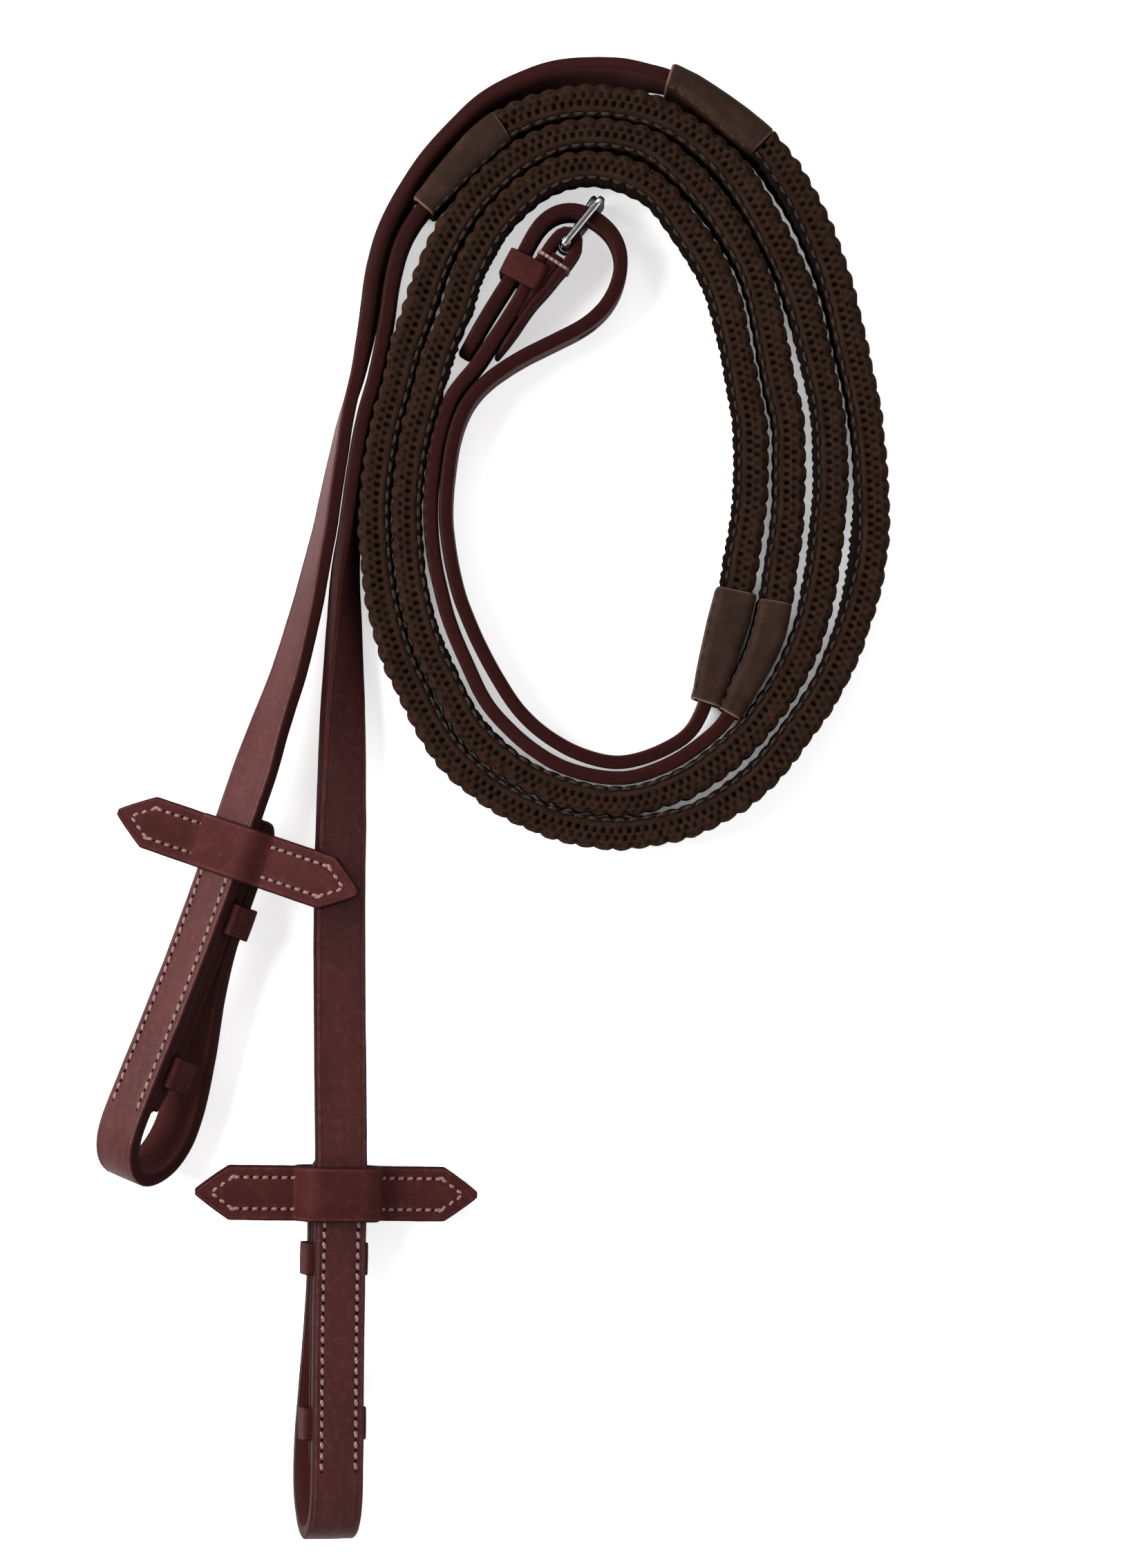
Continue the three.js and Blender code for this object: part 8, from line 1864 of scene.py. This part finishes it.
def stop_piece(side, rein, stud, front, bends, body):
    P0, T, W, N, _ = [x[0] for x in rein.at([stud])]
    line, y = smooth_line(stop_profile(front, *bends))
    # finer steps at the tips
    total = y[-1]
    yy = np.unique(np.round(np.r_[0, 0.12, 0.3, 0.6, 1.0, 1.5, 2.1, 2.8, 3.6, 4.4, 5.2, 6, 6.8, 7.6, 8.4, 9.2, 10, np.arange(10.8, total - 10.4, 0.8)], 4))
    yy = np.unique(np.round(np.r_[yy, total - yy[yy <= 10.01]], 4))
    line = np.c_[np.interp(yy, y, line[:, 0]), np.interp(yy, y, line[:, 1])]
    n = len(yy)
    P = P0 + line[:, :1] * W + line[:, 1:2] * N
    Tc = unit(np.gradient(P, yy, axis=0))
    across = -T
    Nc = unit(np.cross(across[None], Tc))
    Wc = np.cross(Tc, Nc)
    d = np.minimum(yy, total - yy)
    half = stop_half(d)
    half = half + 0.05 * wobble(yy, 9.0, 3 if front else 4) * (d > 3)
    thick = STOP_T * (1 - 0.22 * np.clip(1 - d / 0.6, 0, 1) ** 2)
    outer = 1 if front else -1  # which side of the layer faces out
    rows, E, G, RI, FL = [], [], [], [], []
    for i in range(n):
        x, t = half[i], thick[i] / 2
        r = min(0.75, x * 0.6)
        q = rounded(x, t, r, 4, 11, 0)
        q = q.copy()
        up = q[:, 1] * outer > 0
        flat = np.abs(q[:, 0]) < x - r - 1e-6
        # crease line 1.5 mm in from the edge, on the outer face
        cr = np.exp(-((np.abs(q[:, 0]) - (x - 1.55)) / 0.28) ** 2) * up * (x > 3)
        ch = np.exp(-((np.abs(q[:, 0]) - (x - 3.6)) / 0.5) ** 2) * up * (x > 4.4) * (d[i] < SEWN_TO)
        q[:, 1] -= outer * (0.10 * cr + 0.20 * ch)
        q[:, 1] += outer * 0.06 * up * (1 - (q[:, 0] / x) ** 2)
        e = np.clip((np.abs(q[:, 0]) - (x - 0.55)) / 0.4, 0, 1)
        if d[i] < 0.5:
            e = np.maximum(e, 1 - d[i] * 2)
        # the crease and the stitch channel also carry painted shade
        rows.append(q); E.append(e); G.append(np.clip(cr * 0.55 + ch * 0.3, 0, 1)); RI.append(np.exp(-((np.abs(q[:, 0]) - (x - 0.85)) / 0.3) ** 2) * up)
        FL.append(np.where(up | (e > 0.3), 0.0, 0.8))
    o = np.array(rows)
    C = o.shape[1]
    v = place((P, Tc, Wc, Nc), o)
    f = grid_faces(n, C) + [tuple(range(C)), tuple(range((n - 1) * C, n * C))[::-1]]
    swn = np.stack([np.repeat(yy[:, None], C, 1) + (0 if front else 200), o[..., 0], o[..., 1]], -1).reshape(-1, 3)
    g = Geo()
    g.add(v, f, 0, swn=swn, edge=np.array(E), groove=np.array(G), rim=np.array(RI), flesh=np.array(FL))
    layer = "front" if front else "back"
    g.build(f"{side}_stop_{layer}_leather", [STOP], body, [f"{side}_stop_{layer}"])
    # stitching: one line round each wing, 3.6 mm in from the edge
    st = Geo()
    inset, pitch = 3.6, 2.9
    xs = np.linspace(0, SEWN_TO + 0.01, 400)
    hw = stop_half(xs)
    # offset of the outline towards the middle
    dx, dh = np.gradient(xs), np.gradient(hw)
    ln = np.hypot(dx, dh)
    ox, oh = xs + inset * dh / ln, hw - inset * dx / ln
    keep = (oh > 0.0) & (ox <= SEWN_TO)
    ox, oh = ox[keep], oh[keep]
    path = np.r_[np.c_[ox, oh][::-1], np.c_[ox, -oh]]
    pl = np.r_[0, np.cumsum(np.linalg.norm(np.diff(path, axis=0), axis=1))]
    count = int(pl[-1] / pitch)
    m = (np.arange(count) + 0.5) * pl[-1] / count
    px, ph = np.interp(m, pl, path[:, 0]), np.interp(m, pl, path[:, 1])
    gx, gh = np.interp(m + 0.3, pl, path[:, 0]) - px, np.interp(m + 0.3, pl, path[:, 1]) - ph
    hx, hh = np.interp(np.arange(count + 1) * pl[-1] / count, pl, path[:, 0]), np.interp(np.arange(count + 1) * pl[-1] / count, pl, path[:, 1])

    def frame_at(yv):
        j = [np.array([np.interp(yv, yy, A[:, c]) for c in range(3)]) for A in (P, Tc, Wc, Nc)]
        return j[0], unit(j[1]), unit(j[2]), unit(j[3])

    for tip in (0, 1):
        for k in range(count):
            yv = px[k] if tip == 0 else total - px[k]
            c, t3, w3, n3 = frame_at(yv)
            X = (t3 * (gx[k] if tip == 0 else -gx[k]) + w3 * gh[k])
            c = c + w3 * ph[k] + n3 * outer * (STOP_T / 2 + 0.03)
            put_stitch(st, c, X, n3 * outer, 2.35, 1.08, 0.80, -0.07, 0.16, phase=k * 2.1 + tip)
        # dark dots in the stitch holes: painted shade
        for k in range(count + 1):
            yv = hx[k] if tip == 0 else total - hx[k]
            c, t3, w3, n3 = frame_at(yv)
            c = c + w3 * hh[k] + n3 * outer * (STOP_T / 2 + 0.03)
            put_stitch(st, c, t3, n3 * outer, 1.05, 0.85, 0.30, -0.16, 0.0, mat=1, dot=True)
    st.build(f"{side}_stop_{layer}_stitches", [THREAD, HOLE_SHADE], body, smooth_angle=0)


SEWN_TO = 31.5


# ------------------------------------------------------------------ centre buckle
def ring_mesh(path, side, section, name_geo, closed=True):
    """Sweeps a small section (in-plane, out-of-plane) round a closed path."""
    n = len(path)
    T = unit(np.roll(path, -1, 0) - np.roll(path, 1, 0))
    B = np.repeat(side[None], n, 0)
    A = unit(np.cross(B, T))
    v = path[:, None] + section[None, :, :1] * A[:, None] + section[None, :, 1:2] * B[:, None]
    return v


def buckle_pieces():
    z0 = 11.0 - 11.0
    X, Z = frame_dir, UP
    Y = np.cross(X, Z)
    origin = np.r_[HEEL, z0]
    # plate ring, middle line of the bars
    x0, x1 = -2.1 + 1.2, 17.7 - 1.5
    ax, bx, ay, by, r = x0 - 0.0, x1, 1.2, 22 - 1.2, 1.9
    pts = []
    pts += arc_pts(bx - r, ay + r, r, -90, 0, 7).tolist()
    pts += [(bx, z) for z in np.linspace(ay + r, by - r, 8)[1:-1]]
    pts += arc_pts(bx - r, by - r, r, 0, 90, 7).tolist()
    pts += [(x, by) for x in np.linspace(bx - r, ax, 8)[1:]]
    top = np.array(pts[13:])
    path = np.array([(ax, ay)] + [(x, ay) for x in np.linspace(ax, bx - r, 8)[1:-1]] + pts)
    P = origin + path[:, :1] * X + path[:, 1:2] * Z
    n = len(P)
    T = unit(np.gradient(P, axis=0))
    B = np.repeat(Y[None], n, 0)
    A = unit(np.cross(B, T))
    d_end = np.minimum(np.arange(n), np.arange(n)[::-1])
    bar = 1.2 + 0.3 * np.clip(path[:, 0] - (bx - 1.5), 0, 1)
    sec = rounded(1.0, 1.0, 0.62, 5, 0, 0)
    v = P[:, None] + bar[:, None, None] * sec[None, :, :1] * A[:, None] + 1.1 * sec[None, :, 1:2] * B[:, None]
    C = len(sec)
    # rounded ends of the two side bars
    def cap(i, j):
        c, t = P[i], unit(P[i] - P[j])
        out = []
        for k, s in ((0.5, 0.86), (0.85, 0.55), (1.0, 0.2)):
            out.append(c[None] + t[None] * k * 1.1 + (v[i] - c[None]) * s)
        return out
    head = cap(0, 1)[::-1]
    tail = cap(n - 1, n - 2)
    allv = np.concatenate([np.array(head), v, np.array(tail)])
    R = len(allv)
    f = grid_faces(R, C) + [tuple(range(C)), tuple(range((R - 1) * C, R * C))[::-1]]
    # orientation: make the faces look outwards
    g = Geo()
    g.add(allv, f, 0)
    ob = g.build("buckle_frame_steel", [STEEL], "buckle", ["buckle_frame"], smooth_angle=60)
    fix_normals(ob)
    # the heel bar
    a = np.linspace(0, 2 * math.pi, 24, endpoint=False)
    zs = [0.9, 1.0, 1.6, 3, 6, 9, 13, 16, 19, 20.4, 21.0, 21.1]
    rs = [1.0, 1.35, 1.5, 1.5, 1.5, 1.5, 1.5, 1.5, 1.5, 1.5, 1.35, 1.0]
    vb = np.array([[origin + X * rr * math.cos(q) + Y * rr * math.sin(q) + Z * zz for q in a] for zz, rr in zip(zs, rs)])
    fb = grid_faces(len(zs), 24) + [tuple(range(24)), tuple(range(11 * 24, 12 * 24))[::-1]]
    g2 = Geo()
    g2.add(vb, fb, 0)
    bar_ob = g2.build("heel_bar", [STEEL], "buckle", (), smooth_angle=60)
    fix_normals(bar_ob)
    bar_ob.parent = None
    bar_ob.matrix_world = Matrix.Identity(4)
    for c in list(bar_ob.users_collection):
        c.objects.unlink(bar_ob)
    for key in list(bar_ob.keys()):
        del bar_ob[key]
    cut(ob, [bar_ob], "UNION")
    # tongue
    eye_a = np.linspace(0, 2 * math.pi, 28, endpoint=False)
    ring = np.array([heel3 + tongue_dir * 2.5 * math.cos(q) + tongue_side * 2.5 * math.sin(q) for q in eye_a])
    sec = rounded(0.6, 2.0, 0.45, 4, 0, 1)
    T = unit(np.roll(ring, -1, 0) - np.roll(ring, 1, 0))
    Bz = np.repeat(UP[None], len(ring), 0)
    A = np.cross(Bz, T)
    v = ring[:, None] + sec[None, :, :1] * A[:, None] + sec[None, :, 1:2] * Bz[:, None]
    g3 = Geo()
    g3.add(v, grid_faces(len(ring), len(sec), closed_rings=True), 0)
    tg = g3.build("buckle_tongue_steel", [STEEL], "tongue", ["buckle_tongue"], smooth_angle=60)
    fix_normals(tg)
    xs = np.array([2.3, 3.0, 4.5, 7, 10, 13, 14.8, 16.0, 16.8, 17.3, 17.6])
    ks = np.array([1.05, 1.0, 1.0, 0.98, 0.96, 0.94, 0.93, 0.88, 0.78, 0.6, 0.3])
    sec2 = rounded(1.4, 1.15, 0.8, 5, 0, 0)
    vp = heel3 + xs[:, None, None] * tongue_dir + ks[:, None, None] * (sec2[None, :, :1] * UP + sec2[None, :, 1:2] * tongue_side)
    C = len(sec2)
    g4 = Geo()
    g4.add(vp, grid_faces(len(xs), C) + [tuple(range(C)), tuple(range((len(xs) - 1) * C, len(xs) * C))[::-1]], 0)
    pin = g4.build("tongue_pin", [STEEL], "tongue", (), smooth_angle=60)
    fix_normals(pin)
    pin.parent = None
    for c in list(pin.users_collection):
        c.objects.unlink(pin)
    cut(tg, [pin], "UNION")
    # leather keeper beside the buckle
    along = unit(np.r_[KEEPER_DIR, 0.0])
    across = np.cross(along, UP)
    e0, e1 = KEEPER_E
    mid = np.r_[KEEPER_MID, 11.0]
    hi, wall = 8.3, 1.4
    L = 8.7
    steps = [(-1, 0.30), (-0.975, 0.14), (-0.94, 0.04), (-0.88, 0), (-0.80, 0.0), (-0.765, 0.08), (-0.73, 0.0), (-0.4, -0.03), (0, -0.05), (0.4, -0.03), (0.73, 0), (0.765, 0.08), (0.80, 0), (0.88, 0), (0.94, 0.04), (0.975, 0.14), (1, 0.30)]
    xk = np.array([k for k, _ in steps])
    ins = np.array([i for _, i in steps])
    em, eh = (e0 + e1) / 2, (e1 - e0) / 2
    n = len(xk)
    rows = np.array([rounded(hi + wall - i, eh + wall - i, 2.0, 6, 4, 3) for i in ins])
    inner = np.array([rounded(hi + (0.22 if abs(k) > 0.97 else 0), eh + (0.22 if abs(k) > 0.97 else 0), 0.9, 6, 4, 3) for k in xk])
    C = rows.shape[1]
    Pm = mid[None] + xk[:, None] * along[None] * L / 2
    Wk = -UP
    Nk = np.cross(Wk, along)
    Nk = unit(Nk)
    sgn = np.sign(np.dot(Nk, across))
    off = sgn * em
    vo = Pm[:, None] + rows[..., :1] * Wk + (rows[..., 1:2] + off) * Nk
    vi = Pm[:, None] + inner[..., :1] * Wk + (inner[..., 1:2] + off) * Nk
    g5 = Geo()
    edge = np.repeat(np.clip((np.abs(xk) - 0.90) / 0.06, 0, 1)[:, None], C, 1)
    # painted shade in the crease line
    groove = np.repeat((np.abs(np.abs(xk) - 0.765) < 0.01)[:, None] * 0.6, C, 1)
    rim = np.repeat(np.exp(-((np.abs(xk) - 0.86) / 0.05) ** 2)[:, None], C, 1)
    g5.add(vo, grid_faces(n, C), 0, swn=np.stack([rows[..., 0] + 20, np.repeat(xk[:, None] * L / 2, C, 1), rows[..., 1]], -1).reshape(-1, 3), edge=edge, groove=groove, rim=rim, flesh=0.0)
    bi = g5.add(vi, grid_faces(n, C, flip=True), 0, swn=np.stack([inner[..., 0] + 60, np.repeat(xk[:, None] * L / 2, C, 1), inner[..., 1]], -1).reshape(-1, 3), edge=edge * 0.6, groove=0.0, rim=0.0, flesh=0.9)
    for p in range(C):
        p2 = (p + 1) % C
        g5.f.append((p, p2, bi + p2, bi + p)); g5.m.append(0)
        e, q = (n - 1) * C, bi + (n - 1) * C
        g5.f.append((e + p2, e + p, q + p, q + p2)); g5.m.append(0)
    kp = g5.build("buckle_keeper_leather", [KEEPER], "reins", ["buckle_keeper"])
    fix_normals(kp)


def fix_normals(ob):
    import bmesh
    bm = bmesh.new()
    bm.from_mesh(ob.data)
    bmesh.ops.recalc_face_normals(bm, faces=bm.faces)
    bm.to_mesh(ob.data)
    bm.free()


def neck_thread():
    """Thread wound round the folded chape, close behind the heel bar."""
    s1 = LEFT_AT["heel"] - 9.5
    P1, T1, W1, N1, t1 = [x[0] for x in LEFT.at([s1])]
    ss = np.arange(LEFT_AT["heel"] + 4, LEFT_AT["total"] - 5, 0.25)
    P2, T2, W2, N2, t2 = LEFT.at(ss)
    j = int(np.argmin(np.abs((P2 - P1) @ T1)))
    A = (P2[j] - P1); A[2] = 0
    gap = np.linalg.norm(A)
    A = A / gap
    lo, hi = -t1 / 2 - 0.20, gap + t2[j] / 2 + 0.20
    g = Geo()
    for turn, off in enumerate((-0.35, 0.35)):
        x, y = (hi - lo) / 2, 8.0 + 0.24
        loop = rounded(x, y, 1.1, 5, 4, 12)
        c = P1 + A * (lo + hi) / 2 + T1 * off
        pts = np.array([c + A * q[0] + UP * q[1] for q in loop])
        pts += T1 * (0.30 * np.sin(np.linspace(0, 2 * math.pi, len(pts), endpoint=False) + turn))[:, None]
        n = len(pts)
        T = unit(np.roll(pts, -1, 0) - np.roll(pts, 1, 0))
        B = np.repeat(T1[None], n, 0)
        C1 = unit(np.cross(B, T)); B = np.cross(T, C1)
        a = np.linspace(0, 2 * math.pi, 8, endpoint=False)
        v = pts[:, None] + 0.29 * np.cos(a)[None, :, None] * C1[:, None] + 0.29 * np.sin(a)[None, :, None] * B[:, None]
        L = np.arange(n) * 1.0
        g.add(v, grid_faces(n, 8, closed_rings=True), 0, swn=np.stack([np.repeat(L[:, None], 8, 1), np.zeros((n, 8)), np.zeros((n, 8))], -1).reshape(-1, 3))
    ob = g.build("chape_neck_thread", [THREAD], "reins", smooth_angle=0)
    fix_normals(ob)


def chape_filler():
    """Leather wedge sewn between the two layers of the chape behind the heel bar."""
    s1 = LEFT_AT["heel"] - np.arange(7.5, 34.0, 1.2)
    P1, T1, W1, N1, t1 = LEFT.at(s1)
    ss = np.arange(LEFT_AT["heel"] + 2, LEFT_AT["total"] - 1.5, 0.25)
    P2, T2, W2, N2, t2 = LEFT.at(ss)
    rows, along = [], []
    for i in range(len(s1)):
        d = np.abs((P2 - P1[i]) @ T1[i])
        j = int(np.argmin(d))
        if d[j] > 0.5:
            continue
        A = P2[j] - P1[i]
        A[2] = 0
        gap = float(np.linalg.norm(A))
        A = A / gap
        lo, hi = t1[i] / 2 + 0.12, gap - t2[j] / 2 - 0.12
        if hi - lo < 0.5:
            continue
        x, y = (hi - lo) / 2, 7.5 + 0.08 * math.sin(i * 1.3)
        q = rounded(y, x, min(0.5, x * 0.6), 4, 6, 1)
        c = P1[i] + A * (lo + hi) / 2
        rows.append([c + UP * w + A * n for w, n in q])
        along.append((s1[i], q))
    v = np.array(rows)
    R, C = v.shape[:2]
    swn = np.array([[(a, w, n) for w, n in q] for a, q in along]).reshape(-1, 3)
    edge = np.clip((np.abs(np.array([[w for w, n in q] for a, q in along])) - 6.7) / 0.5, 0, 1)
    g = Geo()
    g.add(v, grid_faces(R, C) + [tuple(range(C)), tuple(range((R - 1) * C, R * C))[::-1]], 0, swn=swn, edge=edge, flesh=0.0, groove=0.0, rim=0.0)
    ob = g.build("chape_filler_leather", [BACKING], "reins")
    fix_normals(ob)


# ------------------------------------------------------------------ build it all
build_straps()
for side, rein, at, sign, seed in (("left", LEFT, LEFT_AT, 1, 41), ("right", RIGHT, RIGHT_AT, -1, 57)):
    grip_piece(f"{side}_grip_rubber", rein, at, sign, f"{side}_grip", seed)
    sleeve_piece(f"{side}_sleeve_bit_end_leather", rein, at["sleeve1"], at["grip1"] - 0.05, True, sign, f"{side}_sleeve_bit_end", seed + 1, *SLEEVE_HALF[side, "bit"])
    sleeve_piece(f"{side}_sleeve_buckle_end_leather", rein, at["grip2"] + 0.05, at["sleeve2"], False, sign, f"{side}_sleeve_buckle_end", seed + 2, *SLEEVE_HALF[side, "buckle"])
    backing_piece(side, rein, at["stud"])
    bit_stitches(side, rein, at["stud"])
    keeper_piece(side, "upper", rein, at["stud"], -20, 12.9)
    keeper_piece(side, "lower", rein, at["stud"], -70, 12.6)
for side, rein, at, bends in (("left", LEFT, LEFT_AT, (33, -26)), ("right", RIGHT, RIGHT_AT, (-7, 7))):
    stop_piece(side, rein, at["stud"], True, bends, f"{side}_stop")
    stop_piece(side, rein, at["stud"], False, bends, f"{side}_stop")
buckle_pieces()
neck_thread()
chape_filler()
for side in ("left", "right"):
    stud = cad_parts[f"{side}_hook_stud"]
    stud.data.materials.clear()
    stud.data.materials.append(STUD_STEEL)
    bevel(stud, 0.18, 3, 35)

# ------------------------------------------------------------------ floor, light, camera
floor_mat = Mat("pale_floor")
obj = floor_mat.node("ShaderNodeTexCoord").outputs["Object"]
cloud = floor_mat.noise(obj, 3.0, 2.0, 0.5)
floor_col = floor_mat.mix(cloud, (0.90, 0.90, 0.90, 1), (0.94, 0.94, 0.94, 1))
# painted glow: the floor glows for camera rays only, whitening it over its shadows; the glow fades where narrow gaps
# close in
floor_ao = floor_mat.node("ShaderNodeAmbientOcclusion", {"Distance": 0.008}, samples=12)
floor_open = floor_mat.ramp(floor_ao.outputs["AO"], 0.15, 0.33)
floor_mat.set(Base_Color=floor_col, Roughness=0.9, Specular_IOR_Level=0.1, Emission_Color=(1, 1, 1, 1), Emission_Strength=floor_mat.math("MULTIPLY", floor_mat.node("ShaderNodeLightPath").outputs["Is Camera Ray"], floor_mat.math("MULTIPLY", floor_open, 0.62)))
back = floor_mat.node("ShaderNodeNewGeometry").outputs["Backfacing"]
clear = floor_mat.node("ShaderNodeBsdfTransparent")
mixs = floor_mat.nt.nodes.new("ShaderNodeMixShader")
floor_mat.nt.links.new(back, mixs.inputs[0])
floor_mat.nt.links.new(floor_mat.bsdf.outputs[0], mixs.inputs[1])
floor_mat.nt.links.new(clear.outputs[0], mixs.inputs[2])
floor_mat.nt.links.new(mixs.outputs[0], floor_mat.out.inputs[0])
me = bpy.data.meshes.new("floor")
me.from_pydata([(-4, -4, -0.0006), (4, -4, -0.0006), (4, 4, -0.0006), (-4, 4, -0.0006)], [], [(0, 1, 2, 3)])
me.materials.append(floor_mat.m)
floor = bpy.data.objects.new("floor", me)
bpy.context.scene.collection.objects.link(floor)


def area(name, loc, target, size, power, color=(1, 1, 1)):
    d = bpy.data.lights.new(name, "AREA")
    d.shape, d.size, d.size_y, d.energy, d.color = "RECTANGLE", size[0], size[1], power, color
    o = bpy.data.objects.new(name, d)
    o.location = loc
    o.rotation_mode = "QUATERNION"
    o.rotation_quaternion = (Vector(target) - Vector(loc)).to_track_quat("-Z", "Y")
    bpy.context.scene.collection.objects.link(o)
    return o


area("key_left", (-1.12, 0.32, 1.08), (0, 0, 0), (0.8, 1.1), 31)
area("fill_right", (1.2, -0.25, 1.15), (0, 0, 0), (0.8, 1.1), 4)
area("back_soft", (0.1, 1.25, 1.1), (0, 0, 0), (1.1, 0.7), 5)
area("front_soft", (0.1, -1.25, 1.1), (0, 0, 0), (1.1, 0.7), 4)
world = bpy.data.worlds.new("studio")
world.use_nodes = True
wt = world.node_tree
bg = wt.nodes["Background"]
bg.inputs[0].default_value = (1, 1, 1, 1)
coord = wt.nodes.new("ShaderNodeTexCoord")
split = wt.nodes.new("ShaderNodeSeparateXYZ")
dome = wt.nodes.new("ShaderNodeMapRange")
dome.interpolation_type = "SMOOTHSTEP"
for key, val in (("From Min", 0.55), ("From Max", 0.96), ("To Min", 0.42), ("To Max", 0.10)):
    dome.inputs[key].default_value = val
wt.links.new(coord.outputs["Generated"], split.inputs[0])
wt.links.new(split.outputs["Z"], dome.inputs["Value"])
wt.links.new(dome.outputs[0], bg.inputs[1])
bpy.context.scene.world = world
bpy.context.scene.view_settings.view_transform = "Standard"
bpy.context.scene.view_settings.gamma = 0.86

cam_data = bpy.data.cameras.new("photo_camera")
cam_data.sensor_width = 36.0
cam_data.lens = 36.0 * 1180.0 / (2268.0 / 4.7)
cam_data.clip_start, cam_data.clip_end = 0.01, 20
cam = bpy.data.objects.new("photo_camera", cam_data)
cam.location = (0.022705, 0.004322, 1.200)
cam.rotation_euler = (0, 0, 0)
bpy.context.scene.collection.objects.link(cam)
bpy.context.scene.camera = cam
